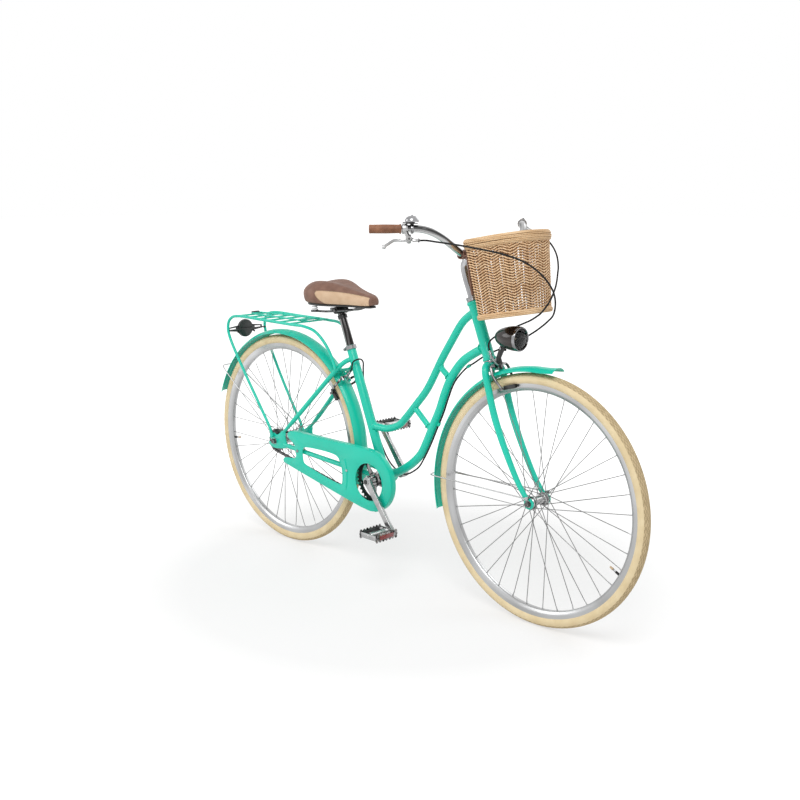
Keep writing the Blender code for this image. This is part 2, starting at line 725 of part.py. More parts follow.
def toothed_wheel(name, centre, teeth, hole, thickness, look):
    pitch_radius = CHAIN_PITCH / 2 / math.sin(math.pi / teeth)
    tip = pitch_radius * math.cos(math.pi / teeth) - CHAIN_HALF_HEIGHT - 0.0004
    root = tip - 0.0034
    outline = []
    for k in range(teeth):
        angle = 2 * math.pi * k / teeth
        for share, radius in ((-0.50, root), (0.0, tip)):
            a = angle + share * 2 * math.pi / teeth
            outline.append((centre.x + radius * math.cos(a), centre.z + radius * math.sin(a)))
    holes = [arc_points((centre.x, centre.z), hole, 0, 2 * math.pi * 19 / 20, 20)] if hole else []
    return plate(name, outline, side_plane(CHAIN_LINE), thickness, look, holes)


def sprocket():
    """The rear sprocket with the freewheel body that turns on the axle beside the hub."""
    wheel = toothed_wheel("sprocket", REAR_AXLE, SPROCKET_TEETH, None, 0.0028, STEEL)
    body = rod("freewheel", REAR_AXLE - 0.0503 * LEFT, REAR_AXLE - 0.0430 * LEFT, 0.0165, STEEL, 10)
    join(wheel, body)
    return cut(wheel, bore("freewheel_bore", REAR_AXLE - 0.06 * LEFT, REAR_AXLE - 0.04 * LEFT, AXLE_RADIUS + 0.0003, 8))


def crank_outline(length, eye, tip):
    """A crank arm seen from the side: two round ends joined by straight flanks."""
    slope = math.asin((eye - tip) / length)
    near = arc_points((0, 0), eye, math.pi / 2 - slope, 3 * math.pi / 2 + slope, 11)
    far = arc_points((length, 0), tip, -math.pi / 2 + slope, math.pi / 2 - slope, 9)
    return near + far


def crank_arm(name, side, direction):
    turn = math.atan2(direction.z, direction.x)
    place = (Matrix.Translation((BRACKET.x, side * CRANK_PLANE, BRACKET.z))
             @ Matrix.Rotation(-turn, 4, "Y") @ Matrix.Rotation(math.pi / 2, 4, "X"))
    return plate(name, crank_outline(CRANK_LENGTH, 0.0150, 0.0115), place, CRANK_THICKNESS, ALLOY)


def spider_outline():
    """Five tapered arms round a centre, seen from the side."""
    reach, half, waist = 0.0655, 0.0068, (0.024, 0.0088)
    arm = [(waist[0], -waist[1]), (reach - 0.005, -half), (reach, -0.6 * half), (reach, 0.6 * half),
           (reach - 0.005, half), waist]
    first = math.atan2(-CRANK_DOWN, CRANK_FORWARD) + math.radians(36)
    turns = [Matrix.Rotation(first + 2 * math.pi * k / 5, 2) for k in range(5)]
    return [tuple(turn @ Vector(point)) for turn in turns for point in arm]


def right_crank():
    """The driven crank, forged in one with the five-armed spider of the chainring."""
    arm = crank_arm("right_crank", -1, CRANK_DIRECTION)
    inner, face = -0.0520, -0.0492
    boss = rod("spider_boss", BRACKET - 0.0735 * LEFT, BRACKET - 0.0486 * LEFT, 0.0165, ALLOY, 14)
    place = side_plane((inner + face) / 2) @ Matrix.Translation((BRACKET.x, BRACKET.z, 0.0))
    spider = plate("spider", spider_outline(), place, face - inner, ALLOY)
    join(arm, boss, spider)
    return cut(arm, bore("spindle_bore", BRACKET - 0.09 * LEFT, BRACKET - 0.04 * LEFT, SPINDLE_RADIUS, 14))


def left_crank():
    """The left crank with the spindle that runs through the bracket to the right one."""
    arm = crank_arm("left_crank", 1, -CRANK_DIRECTION)
    spindle = rod("spindle", BRACKET - 0.0835 * LEFT, BRACKET + 0.080 * LEFT, SPINDLE_RADIUS, STEEL, 14)
    boss = rod("left_boss", BRACKET + 0.058 * LEFT, BRACKET + 0.0745 * LEFT, 0.0150, ALLOY, 12)
    return join(arm, spindle, boss)


def toothed_edge(half, base, tip, teeth):
    """One edge of a pedal plate, from one end to the other, with its grip teeth."""
    points, pitch = [], 2 * half / teeth
    for k in range(teeth):
        start = -half + k * pitch
        points += [(start, base), (start + 0.36 * pitch, tip), (start + 0.64 * pitch, tip)]
    return points + [(half, base)]


def pedal(name, centre, side):
    """A rat-trap pedal: two toothed plates on a barrel, tied by end plates and reflector blocks."""
    half_long, half_deep, height, tip = 0.0450, 0.0340, 0.0095, 0.0135
    middle = centre + side * 0.0455 * LEFT
    axis = Matrix.Translation(middle)
    barrel = rod(name, centre + side * 0.0006 * LEFT, centre + side * 0.0895 * LEFT, 0.0055, STEEL, 6)
    sleeve = rod(name + "_sleeve", centre + side * 0.012 * LEFT, centre + side * 0.079 * LEFT, 0.0095, ALLOY, 8)
    join(barrel, sleeve)
    outline = toothed_edge(half_long, height, tip, 4)
    outline += [(-x, -z) for x, z in outline]
    for way in (-1, 1):
        face = axis @ Matrix.Translation((way * half_deep, 0, 0))
        place = face @ Matrix.Rotation(math.pi / 2, 4, "Z") @ Matrix.Rotation(math.pi / 2, 4, "X")
        join(barrel, plate(name + "_cage_%d" % way, outline, place, 0.0020, ALLOY))
        bar = block(name + "_reflector_%d" % way, middle + way * 0.0298 * FORWARD, (0.0080, 0.070, 0.0155), BLACK)
        join(barrel, bar)
    for way in (-1, 1):
        end = block(name + "_end_%d" % way, middle + way * 0.0405 * LEFT,
                    (2 * half_deep + 0.0005, 0.0040, 0.0165), ALLOY)
        join(barrel, end)
    return barrel


def guard_outline():
    """The chain guard's face, from its upper rear prong round the front to the lower prong."""
    x0, z0 = 0.0055, 0.002
    upper_prong = [(-0.430, 0.3985), (-0.444, 0.3955), (-0.4525, 0.389), (-0.4555, 0.382), (-0.451, 0.374),
                   (-0.442, 0.368), (-0.428, 0.360), (-0.4208, 0.354)]
    notch = [(-0.4195, 0.338), (-0.4135, 0.326), (-0.4138, 0.3165), (-0.4205, 0.3105)]
    lower_prong = [(-0.440, 0.308), (-0.462, 0.306), (-0.474, 0.302), (-0.479, 0.294), (-0.474, 0.287)]
    under = [(-0.440, 0.279), (-0.300, 0.250), (-0.200, 0.230), (-0.110, 0.2127)]
    front = arc_points((-0.067, 0.3005), 0.0925, math.radians(258), math.radians(420), GUARD_FRONT_POINTS)
    over = [(-0.032, 0.3885), (-0.055, 0.395), (-0.085, 0.3985)]
    return [(x + x0, z + z0) for x, z in upper_prong + notch + lower_prong + under + front + over]


def guard_slot():
    x0, z0 = 0.0055, 0.002
    slot = [(-0.382, 0.356), (-0.222, 0.3575), (-0.207, 0.3500), (-0.199, 0.3370), (-0.1905, 0.3150),
            (-0.1890, 0.2780), (-0.1925, 0.2680), (-0.205, 0.2655), (-0.3650, 0.2985), (-0.3755, 0.3050),
            (-0.380, 0.325), (-0.3835, 0.345)]
    return [(x + x0, z + z0) for x, z in slot]


def chain_guard():
    """A pressed face plate with its long slot, round opening and a rim turned in towards the wheel."""
    depth = 0.0185
    opening = arc_points((-0.066, 0.300), GUARD_OPENING_RADIUS, 0, 2 * math.pi * 19 / 20, 20)
    outline = guard_outline()
    face = plate("chain_guard", outline, side_plane(GUARD_FACE_Y), GUARD_THICKNESS,
                 holes=[opening, guard_slot()])
    top_points = 3
    lowest_kept = len(outline) - top_points - GUARD_FRONT_POINTS + 3
    path = [Vector((x, 0.0, z)) for x, z in outline[lowest_kept:] + outline[:1]]
    inner = []
    for k, point in enumerate(path):
        along = (path[min(k + 1, len(path) - 1)] - path[max(k - 1, 0)]).normalized()
        inner.append(point + GUARD_THICKNESS * along.cross(LEFT) * -1)
    loop = [(p.x, p.z) for p in path] + [(p.x, p.z) for p in reversed(inner)]
    rim_band = plate("guard_rim", loop, side_plane(GUARD_FACE_Y + depth / 2), depth)
    join(face, rim_band)
    for index, (x, z, far) in enumerate(((-0.400, 0.3385, -0.0619), (-0.165, 0.3180, -0.0462))):
        join(face, rod("guard_clip_%d" % index, (x, GUARD_FACE_Y, z), (x, far, z), 0.0050, TEAL, 8))
    return face


# Rear carrier

RAIL_HALF_WIDTH = 0.079
CLIP_HINGE_Z = 0.7612


def carrier_side(name, side):
    """One side hoop of the carrier: down to the seat stay in front and to the axle at the rear."""
    route = [(-0.2390, 0.0442, 0.6300), (-0.2480, 0.0448, 0.6520), (-0.2750, 0.0510, 0.7000),
             (-0.3100, 0.0620, 0.7370), (-0.3500, 0.0730, 0.7505), (-0.4000, RAIL_HALF_WIDTH, 0.7520),
             (-0.5500, RAIL_HALF_WIDTH, 0.7540), (-0.6800, RAIL_HALF_WIDTH, 0.7550), (-0.7130, 0.0790, 0.7490),
             (-0.7330, 0.0788, 0.7340), (-0.7400, 0.0785, 0.7100), (-0.7330, 0.0775, 0.6800),
             (-0.6600, 0.0710, 0.5600), (-0.5900, 0.0670, 0.4600), (-0.5380, 0.0657, 0.3860), (-0.5340, 0.0657, 0.3720)]
    points = smooth_route([(x, side * y, z) for x, y, z in route], 0.030)
    return as_mesh(tube(name, thin(points), 0.0048, TEAL, resolution=1))


def carrier():
    """Two side hoops, six cross wires and a central bar, brazed into one rack."""
    body = carrier_side("carrier", -1)
    join(body, carrier_side("carrier_left", 1))
    height = 0.7545
    for index, x in enumerate((-0.410, -0.468, -0.525, -0.580, -0.635, -0.690)):
        join(body, rod("carrier_cross_%d" % index, (x, -RAIL_HALF_WIDTH, height),
                       (x, RAIL_HALF_WIDTH, height), 0.0030, TEAL, 5))
    join(body, rod("carrier_spine", (-0.408, 0, height - 0.0005), (-0.694, 0, height + 0.0005), 0.0030, TEAL, 5))
    join(body, rod("carrier_brace", (-0.735, -0.0775, 0.6880), (-0.735, 0.0775, 0.6880), 0.0028, TEAL, 6))
    return body


def rear_reflector():
    """A round reflector on a slotted strap between the carrier's rear legs."""
    x, z = -0.7480, 0.7020
    strap = [(-0.0715, -0.006), (-0.0715, 0.006), (-0.030, 0.011), (0.030, 0.011), (0.0715, 0.006),
             (0.0715, -0.006), (0.030, -0.011), (-0.030, -0.011)]
    slots = [[(side * 0.064, -0.002), (side * 0.064, 0.002), (side * 0.042, 0.004), (side * 0.042, -0.004)]
             for side in (-1, 1)]
    place = Matrix.Translation((x, 0, z)) @ Matrix.Rotation(math.pi / 2, 4, "Z") @ Matrix.Rotation(math.pi / 2, 4, "X")
    body = plate("rear_reflector", strap, place, 0.0030, BLACK, holes=slots)
    profile = [(0.0, 0.0090), (0.0180, 0.0082), (0.0255, 0.0055), (0.0265, 0.0), (0.0265, -0.0050), (0.0, -0.0050)]
    disc = turned("reflector_disc", profile, frame_at(Vector((x, 0, z)), -FORWARD), BLACK, 12)
    clips = [rod("reflector_clip_%d" % side, (x + 0.0005, side * 0.033, z - 0.0110), (-0.7381, side * 0.033, z - 0.0130),
                 0.0026, BLACK, 6) for side in (-1, 1)]
    return join(body, disc, *clips)


def carrier_clip():
    """A sprung bail that lies on the carrier, hinged on its front cross wire."""
    z = CLIP_HINGE_Z
    right = [(-0.4100, -0.040, z), (-0.4600, -0.034, z), (-0.6400, -0.024, z - 0.0010),
             (-0.6850, -0.020, z - 0.0012)]
    route = [Vector(p) for p in right] + [mirrored(p) for p in reversed(right)]
    bail = as_mesh(tube("carrier_clip", rounded(route, 0.006, 2), 0.0022, STEEL, resolution=1))
    hinge = rod("clip_hinge", (-0.4100, -0.0440, z), (-0.4100, 0.0440, z), 0.0034, STEEL, 8)
    grip = block("clip_grip", (-0.6885, 0.0, z + 0.0009), (0.012, 0.046, 0.0085), LEATHER)
    return join(bail, hinge, grip)


# Saddle and seat post

def seat_post():
    """The post with the cross head and the bolt that the saddle's cheeks tilt on."""
    head = on_seat_tube(SADDLE_PIVOT_Z)
    post = rod("seat_post", on_seat_tube(0.525), on_seat_tube(0.797), SEAT_POST_RADIUS, CHROME, 16)
    collar = rod("post_collar", on_seat_tube(0.7780), on_seat_tube(0.7895), 0.0150, STEEL, 12)
    barrel = rod("post_head", head - 0.0125 * LEFT, head + 0.0125 * LEFT, 0.0110, STEEL, 12)
    bolt = rod("saddle_bolt", head - 0.0285 * LEFT, head + 0.0285 * LEFT, 0.0032, STEEL, 8)
    return join(post, collar, barrel, bolt)


def saddle_cover():
    """The padded top: a coarse cage of cross sections from the tail to the nose, subdivided."""
    # along X: half width, top, dip of the middle, edge height, underside
    sections = ((-0.366, 0.046, 0.8700, 0.0000, 0.8540, 0.8330),
                (-0.340, 0.084, 0.8915, 0.0040, 0.8600, 0.8268),
                (-0.295, 0.094, 0.8985, 0.0070, 0.8600, 0.8268),
                (-0.245, 0.075, 0.8915, 0.0040, 0.8550, 0.8268),
                (-0.190, 0.043, 0.8765, 0.0010, 0.8490, 0.8268),
                (-0.130, 0.028, 0.8625, 0.0000, 0.8410, 0.8268),
                (-0.102, 0.015, 0.8500, 0.0000, 0.8400, 0.8300))
    rings = []
    for x, half, top, dip, edge, under in sections:
        rings.append([(x, 0.0, top - dip), (x, 0.55 * half, top), (x, half, edge), (x, 0.86 * half, under),
                      (x, 0.0, under), (x, -0.86 * half, under), (x, -half, edge), (x, -0.55 * half, top)])
    cushion = loft("saddle_cover", rings, LEATHER)
    smooth = cushion.modifiers.new("padding", "SUBSURF")
    smooth.levels = smooth.render_levels = 1
    return cushion


def saddle_frame():
    """The moulded base and the steel rails, with the cheeks that clamp them to the seat post."""
    base_outline = [(-0.352, 0.050), (-0.300, 0.078), (-0.250, 0.066), (-0.200, 0.036), (-0.125, 0.020)]
    outline = base_outline + [(x, -y) for x, y in reversed(base_outline)]
    base = plate("saddle_frame", outline, Matrix.Translation((0, 0, 0.8235)), 0.0060, BLACK)
    pivot_at = on_seat_tube(SADDLE_PIVOT_Z)
    spring_x, spring_y, rail_z = SPRING_SEAT
    for side, tag in ((-1, "right"), (1, "left")):
        route = smooth_route([(spring_x, side * spring_y, rail_z), (-0.290, side * 0.029, rail_z + 0.0010),
                              (-0.235, side * 0.0190, rail_z + 0.0070), (-0.190, side * 0.0165, 0.8105),
                              (-0.150, side * 0.0130, 0.8225)], 0.022)
        rail = as_mesh(tube("saddle_rail_" + tag, route, 0.0035, STEEL, resolution=0))
        cheek = rod("saddle_cheek_" + tag, pivot_at + side * 0.0130 * LEFT, pivot_at + side * 0.0240 * LEFT,
                    0.0110, STEEL, 10)
        seat = rod("spring_seat_" + tag, (spring_x, side * spring_y, rail_z - 0.003),
                   (spring_x, side * spring_y, rail_z + 0.0036), 0.0125, STEEL, 8)
        join(base, rail, cheek, seat)
    return cut(base, bore("saddle_bolt_bore", pivot_at - 0.04 * LEFT, pivot_at + 0.04 * LEFT, 0.0032, 8))


def saddle_spring(name, side):
    """A coil spring under the saddle's wide tail, one unbroken wire."""
    turns, per_turn, low, high = 3.0, 8, 0.8019, 0.8202
    coil_radius, wire = 0.0090, 0.0011
    count = int(turns * per_turn)
    route = []
    for k in range(count + 1):
        a = 2 * math.pi * k / per_turn
        height = low + wire + (high - low - 2 * wire) * k / count
        route.append(Vector((-0.335 + coil_radius * math.cos(a), side * 0.040 + coil_radius * math.sin(a), height)))
    rise = (high - low - 2 * wire) / turns
    print(name, "least gap between curls", round(rise - 2 * wire, 5))
    return tube(name, route, wire, CHROME, resolution=1)


# Steering

def fork_blade(side):
    route = [(0.3535, 0.004, 0.7010), (0.3550, 0.017, 0.7050), (0.3588, 0.0300, 0.6990), (0.3660, 0.0370, 0.6800),
             (0.3780, 0.0370, 0.6400), (0.3895, 0.0370, 0.6000), (0.4060, 0.0370, 0.5550), (0.4310, 0.0370, 0.5000),
             (0.4610, 0.0370, 0.4430), (0.4860, 0.0370, 0.4010), (0.5180, 0.0370, 0.3585)]
    points = thin(smooth_route([(x, side * y, z) for x, y, z in route], 0.030), math.radians(6))
    return as_mesh(tube("blade_%s" % ("left" if side > 0 else "right"), points, 0.0097, TEAL, resolution=2,
                        taper=lambda part: 1.0 - 0.28 * max(0.0, part - 0.45) / 0.55))


def fork():
    """Steerer, crown and two raked blades with their axle rings, brazed into one piece."""
    top = 0.8845
    body = rod("fork", on_steering(0.6920), on_steering(top), STEERER_RADIUS, TEAL, 12)
    crown = rod("crown_race", on_steering(0.6870), on_steering(HEAD_TUBE_BOTTOM - 0.0007), 0.0168, TEAL, 14)
    nut = rod("headset_nut", on_steering(HEAD_TUBE_TOP + 0.0010), on_steering(top), 0.0178, CHROME, 8)
    join(body, crown, nut)
    for side, tag in ((-1, "right"), (1, "left")):
        ring = plate("fork_end_" + tag, arc_points((FRONT_AXLE.x, FRONT_AXLE.z), 0.0155, 0, 2 * math.pi * 13 / 14, 14),
                     side_plane(side * FORK_HALF_WIDTH), 0.0050)
        join(body, fork_blade(side), ring)
    join(body, *brake_bolt("front", -0.010, 0.0143))
    for side, tag in ((-1, "right"), (1, "left")):
        foot = Vector(STAY_FOOT)
        join(body, rod("stay_eye_" + tag, (foot.x, side * 0.037, foot.z), (foot.x, side * 0.0458, foot.z),
                       0.0032, sides=8))
    return cut(body, bore("steerer_bore", on_steering(0.785), on_steering(0.90), QUILL_RADIUS, 12),
               bore("front_axle_hole", FRONT_AXLE - 0.06 * LEFT, FRONT_AXLE + 0.06 * LEFT, AXLE_RADIUS))


def stem():
    """The quill that slides into the steerer, its gooseneck and the handlebar clamp."""
    route = smooth_route([on_steering(0.795), on_steering(0.880), on_steering(0.950), (0.2520, 0, 0.9700),
                          (0.2640, 0, 0.9860), (0.2860, 0, 0.9945), (0.3100, 0, 0.9950)], 0.020)
    body = as_mesh(tube("stem", thin(route), QUILL_RADIUS, CHROME, resolution=3))
    centre = Vector((0.318, 0.0, 0.995))
    join(body, rod("bar_clamp", centre - 0.019 * LEFT, centre + 0.019 * LEFT, 0.0155, CHROME, 14))
    return cut(body, bore("bar_bore", centre - 0.03 * LEFT, centre + 0.03 * LEFT, BAR_RADIUS))


def handlebar_route():
    """From one grip's end to the other's, with straight stretches in the stem and in the grips."""
    bend = [(0.3180, -0.024, 0.9950), (0.3200, -0.045, 0.9970), (0.3220, -0.085, 1.0060), (0.3230, -0.115, 1.0220),
            (0.3230, -0.145, 1.0400), (0.3180, -0.170, 1.0560), (0.3050, -0.190, 1.0685), (0.2850, -0.2100, 1.0760),
            GRIP_START]
    half = thin(smooth_route(bend, 0.0200), math.radians(6)) + [GRIP_START + (GRIP_LENGTH - 0.003) * GRIP_DIRECTION]
    return [mirrored(p) for p in reversed(half)] + half


def handlebar():
    """One bent tube from grip to grip, swept back and up from the stem."""
    return as_mesh(tube("handlebar", handlebar_route(), BAR_RADIUS, CHROME, resolution=2))


def grip(name, side):
    place = hand_frame(side)
    start = in_frame(place, SEAT, 0, 0)
    axis = frame_at(start, place.to_3x3().col[0], UP)
    bore = BAR_RADIUS + 0.0004
    profile = [(0.0, GRIP_LENGTH), (0.0085, GRIP_LENGTH), (GRIP_RADIUS, GRIP_LENGTH - 0.003), (GRIP_RADIUS, 0.004),
               (GRIP_RADIUS + 0.0014, 0.002), (GRIP_RADIUS + 0.0014, 0.0), (bore, 0.0),
               (bore, GRIP_LENGTH - 0.0022), (0.0, GRIP_LENGTH - 0.0022)]
    return turned(name, profile, axis, LEATHER, 12)


def hand_frame(side):
    """At a grip's inner end: X out along the grip, Y towards the lever, Z square to the lever's plane."""
    outward = Vector((GRIP_DIRECTION.x, -side * GRIP_DIRECTION.y, 0.0))
    ahead = Vector((abs(GRIP_DIRECTION.y), side * abs(GRIP_DIRECTION.x), 0.0))
    reach = (math.cos(LEVER_PLANE_ANGLE) * ahead - math.sin(LEVER_PLANE_ANGLE) * UP).normalized()
    outward.normalize()
    normal = outward.cross(reach)
    turn = Matrix((outward, reach, normal)).transposed().to_4x4()
    start = Vector((GRIP_START.x, -side * GRIP_START.y, GRIP_START.z))
    return Matrix.Translation(start) @ turn


LEVER_PIVOT = (-0.0165, 0.0435)


def brake_perch(name, side):
    """The lever's bracket: a clamp ring on the bar, two ears for the pivot and a cable barrel."""
    hand = hand_frame(side)
    ring = rod(name, in_frame(hand, -0.0160, 0, 0), in_frame(hand, -0.0030, 0, 0), 0.0138, ALLOY, 12)
    arm = rod(name + "_arm", in_frame(hand, -0.0110, 0.010, 0), in_frame(hand, -0.0160, 0.0335, 0), 0.0060, ALLOY, 6)
    x, y = LEVER_PIVOT
    ear = [(x - 0.0060, y - 0.0160), (x + 0.0070, y - 0.0160), (x + 0.0066, y), (x + 0.0046, y + 0.0048),
           (x, y + 0.0066), (x - 0.0046, y + 0.0048), (x - 0.0066, y)]
    for index, level in enumerate((-0.0045, 0.0045)):
        place = hand @ Matrix.Translation((0, 0, level))
        join(arm, plate(name + "_ear_%d" % index, ear, place, 0.0026, ALLOY))
    barrel = rod(name + "_barrel", in_frame(hand, -0.0255, 0.0440, 0), in_frame(hand, -0.0440, 0.0440, 0),
                 0.0050, ALLOY, 6, end_radius=0.0038)
    bridge = rod(name + "_bridge", in_frame(hand, -0.0130, 0.0270, 0), in_frame(hand, -0.0285, 0.0435, 0),
                 0.0042, ALLOY, 5)
    join(ring, arm, barrel, bridge)
    hole = bore(name + "_bore", in_frame(hand, -0.030, 0, 0), in_frame(hand, 0.010, 0, 0), BAR_RADIUS + 0.0003)
    slot = rod(name + "_slot", in_frame(hand, x, y, -0.0032), in_frame(hand, x, y, 0.0032), 0.0092, ALLOY, 10)
    return cut(ring, hole, slot)


def brake_lever(name, side):
    """A bent alloy blade with its pivot boss and a ball at the finger end."""
    hand = hand_frame(side)
    x, y = LEVER_PIVOT
    path = [(x + 0.004, y), (0.0000, 0.0452), (0.0120, 0.0428), (0.0230, 0.0440), (0.0360, 0.0545), (0.0490, 0.0660)]
    route = smooth_route([in_frame(hand, a, b, 0) for a, b in path], 0.011)
    blade = as_mesh(tube(name, route, 0.0037, ALLOY, resolution=2,
                         taper=lambda part: 0.76 + 0.24 * min(1.0, max(0.0, part - 0.17) / 0.17)))
    boss = rod(name + "_boss", in_frame(hand, x, y, -0.0029), in_frame(hand, x, y, 0.0029), 0.0064, ALLOY, 8)
    bm = bmesh.new()
    bmesh.ops.create_uvsphere(bm, u_segments=8, v_segments=5, radius=0.0058,
                              matrix=Matrix.Translation(in_frame(hand, 0.0497, 0.0669, 0)))
    return join(blade, boss, from_bmesh(name + "_ball", bm, ALLOY))


BELL_FOOT = Vector((0.2712, -0.2279, 1.0766))


def bell():
    """A dome on a post, clamped round the bar."""
    along = (GRIP_START - Vector((0.2850, -0.2100, 1.0760))).normalized()
    ring = rod("bell", BELL_FOOT - 0.0035 * along, BELL_FOOT + 0.0035 * along, 0.0124, CHROME, 12)
    profile = [(0.0, 0.0345), (0.0080, 0.0335), (0.0145, 0.0300), (0.0180, 0.0250), (0.0190, 0.0195),
               (0.0178, 0.0180), (0.0050, 0.0180), (0.0050, 0.0080), (0.0, 0.0080)]
    dome = turned("bell_dome", profile, Matrix.Translation(BELL_FOOT), CHROME, 12)
    join(ring, dome)
    return cut(ring, bore("bell_bore", BELL_FOOT - 0.02 * along, BELL_FOOT + 0.02 * along, BAR_RADIUS + 0.0008))


def bell_lever():
    """The thumb lever below the dome, on the rider's side."""
    z = BELL_FOOT.z + 0.0164
    outline = (arc_points((0, 0), 0.0080, math.radians(60), math.radians(300), 9)
               + [(0.018, -0.0045), (0.026, -0.0040), (0.029, 0.0), (0.026, 0.0040), (0.018, 0.0045)])
    hole = arc_points((0, 0), 0.0056, 0, 2 * math.pi * 11 / 12, 12)
    place = Matrix.Translation((BELL_FOOT.x, BELL_FOOT.y, z)) @ Matrix.Rotation(math.radians(205), 4, "Z")
    return plate("bell_lever", outline, place, 0.0022, BLACK, holes=[hole])


def basket_ring(level, inset):
    """One horizontal slice of the basket: flat at the back, round in front."""
    back = BASKET_BOTTOM.lerp(BASKET_TOP, level)
    depth = 0.128 + 0.019 * level - inset
    half = 0.0945 + 0.0155 * level - inset
    squareness = 2.0 / 2.7
    flat = [(inset, -half), (inset, -half / 3), (inset, half / 3), (inset, half)]
    points = []
    for x, y in flat:
        points.append((x, y))
    count = 12
    for k in range(1, count):
        a = math.pi / 2 - math.pi * k / count
        reach = max(0.0, math.cos(a)) ** squareness
        sideways = math.copysign(abs(math.sin(a)) ** squareness, a)
        points.append((inset + (depth - inset) * reach, half * sideways))
    forward = Vector((math.cos(BASKET_TILT), 0.0, math.sin(BASKET_TILT)))
    return [back + x * forward + y * LEFT for x, y in points]


def basket():
    """A woven basket as an open shell, thicker at its two rims, with hooks for the bar."""
    low_rim, high_rim, wall, floor = 0.07, 0.865, 0.0055, 0.045
    levels = ((-0.035, -0.0025), (low_rim - 0.035, -0.0025), (low_rim - 0.030, 0.0), (high_rim, 0.0),
              (high_rim + 0.005, -0.0040), (1.0, -0.0040), (1.0, wall + 0.003), (high_rim, wall + 0.003),
              (high_rim - 0.005, wall), (floor, wall))
    shell = loft("basket", [basket_ring(level, inset) for level, inset in levels], WICKER)
    for side, tag in ((-1, "right"), (1, "left")):
        centre = Vector((0.3222, side * 0.088, 1.0070))
        strap = rod("basket_strap_" + tag, centre - 0.009 * LEFT, centre + 0.009 * LEFT, 0.0128, LEATHER, 14)
        tongue = block("basket_tongue_" + tag, (0.3405, side * 0.088, 1.0050), (0.0240, 0.018, 0.016), LEATHER)
        join(shell, strap, tongue)
    bar = as_mesh(tube("basket_bar_cut", handlebar_route(), BAR_RADIUS + 0.0005, resolution=2))
    return cut(shell, bar)


def headlight_shell():
    """The lamp's bullet housing with its deep front rim and two lugs for the tilt bolt."""
    profile = [(0.0, -0.0060), (0.0288, -0.0060), (0.0288, 0.0015), (0.0325, 0.0020), (0.0338, 0.0), (0.0340, -0.0120),
               (0.0325, -0.0300), (0.0285, -0.0500), (0.0210, -0.0690), (0.0110, -0.0800), (0.0, -0.0835)]
    body = turned("headlight_shell", profile, frame_at(LAMP_CENTRE, FORWARD), BLACK, 14)
    for side in (-1, 1):
        lug = block("lamp_lug_%d" % side, (LAMP_BOLT.x + 0.004, side * 0.0046, LAMP_BOLT.z + 0.0030),
                    (0.014, 0.0030, 0.022), BLACK)
        join(body, lug)
    return cut(body, bore("lamp_lug_bore", LAMP_BOLT - 0.012 * LEFT, LAMP_BOLT + 0.012 * LEFT, 0.0022, 8))


def headlight_lens():
    profile = [(0.0, 0.0030), (0.0150, 0.0022), (0.0240, 0.0005), (0.0283, -0.0020), (0.0283, -0.0057), (0.0, -0.0057)]
    return turned("headlight_lens", profile, frame_at(LAMP_CENTRE, FORWARD), GLASS, 14)


def headlight_bracket():
    """A flat bracket from the fork crown up to the lamp's tilt bolt."""
    outline = [(0.3738, 0.7075), (0.3925, 0.7125), (0.3875, 0.7260), (0.3985, 0.7490), (0.3970, 0.7570),
               (0.3900, 0.7600), (0.3845, 0.7560), (0.3735, 0.7270)]
    body = plate("headlight_bracket", outline, side_plane(0.0), 0.0050, BLACK)
    bolt = rod("lamp_bolt", LAMP_BOLT - 0.0075 * LEFT, LAMP_BOLT + 0.0075 * LEFT, 0.0022, STEEL, 8)
    place = brake_frame("front")
    eye = rod("bracket_eye", in_frame(place, 0.0118, 0, 0), in_frame(place, 0.0140, 0, 0), 0.0075, STEEL, 12)
    neck = block("bracket_neck", in_frame(place, 0.0129, 0, 0.0100), (0.0018, 0.0044, 0.0100), BLACK,
                 turn=place.to_3x3().to_4x4())
    join(body, bolt, eye, neck)
    return cut(body, bore("bracket_eye_bore", in_frame(place, 0.005, 0, 0), in_frame(place, 0.020, 0, 0), 0.0030, 10))


# Rim brakes

BOLT_REACH, BOLT_DROP = 0.0186, -0.0101


def brake_frame(which):
    """X out along the brake's bolt, Y left, Z up along the fork or the stays, from the arms' pivot."""
    if which == "front":
        return STEERING_FRAME @ Matrix.Translation((BOLT_REACH, 0.0, BOLT_DROP))
    return BRIDGE_FRAME @ Matrix.Translation((0.0280, 0.0, 0.0))


def brake_bolt(which, start, head_at):
    """The bolt that both arms of a brake turn on, with its head in front of them."""
    place = brake_frame(which)
    bolt = rod(which + "_brake_bolt", in_frame(place, start, 0, 0), in_frame(place, head_at + 0.001, 0, 0),
               0.0030, STEEL, 10)
    head = rod(which + "_bolt_head", in_frame(place, head_at, 0, 0), in_frame(place, head_at + 0.0038, 0, 0),
               0.0056, STEEL, 6)
    return bolt, head


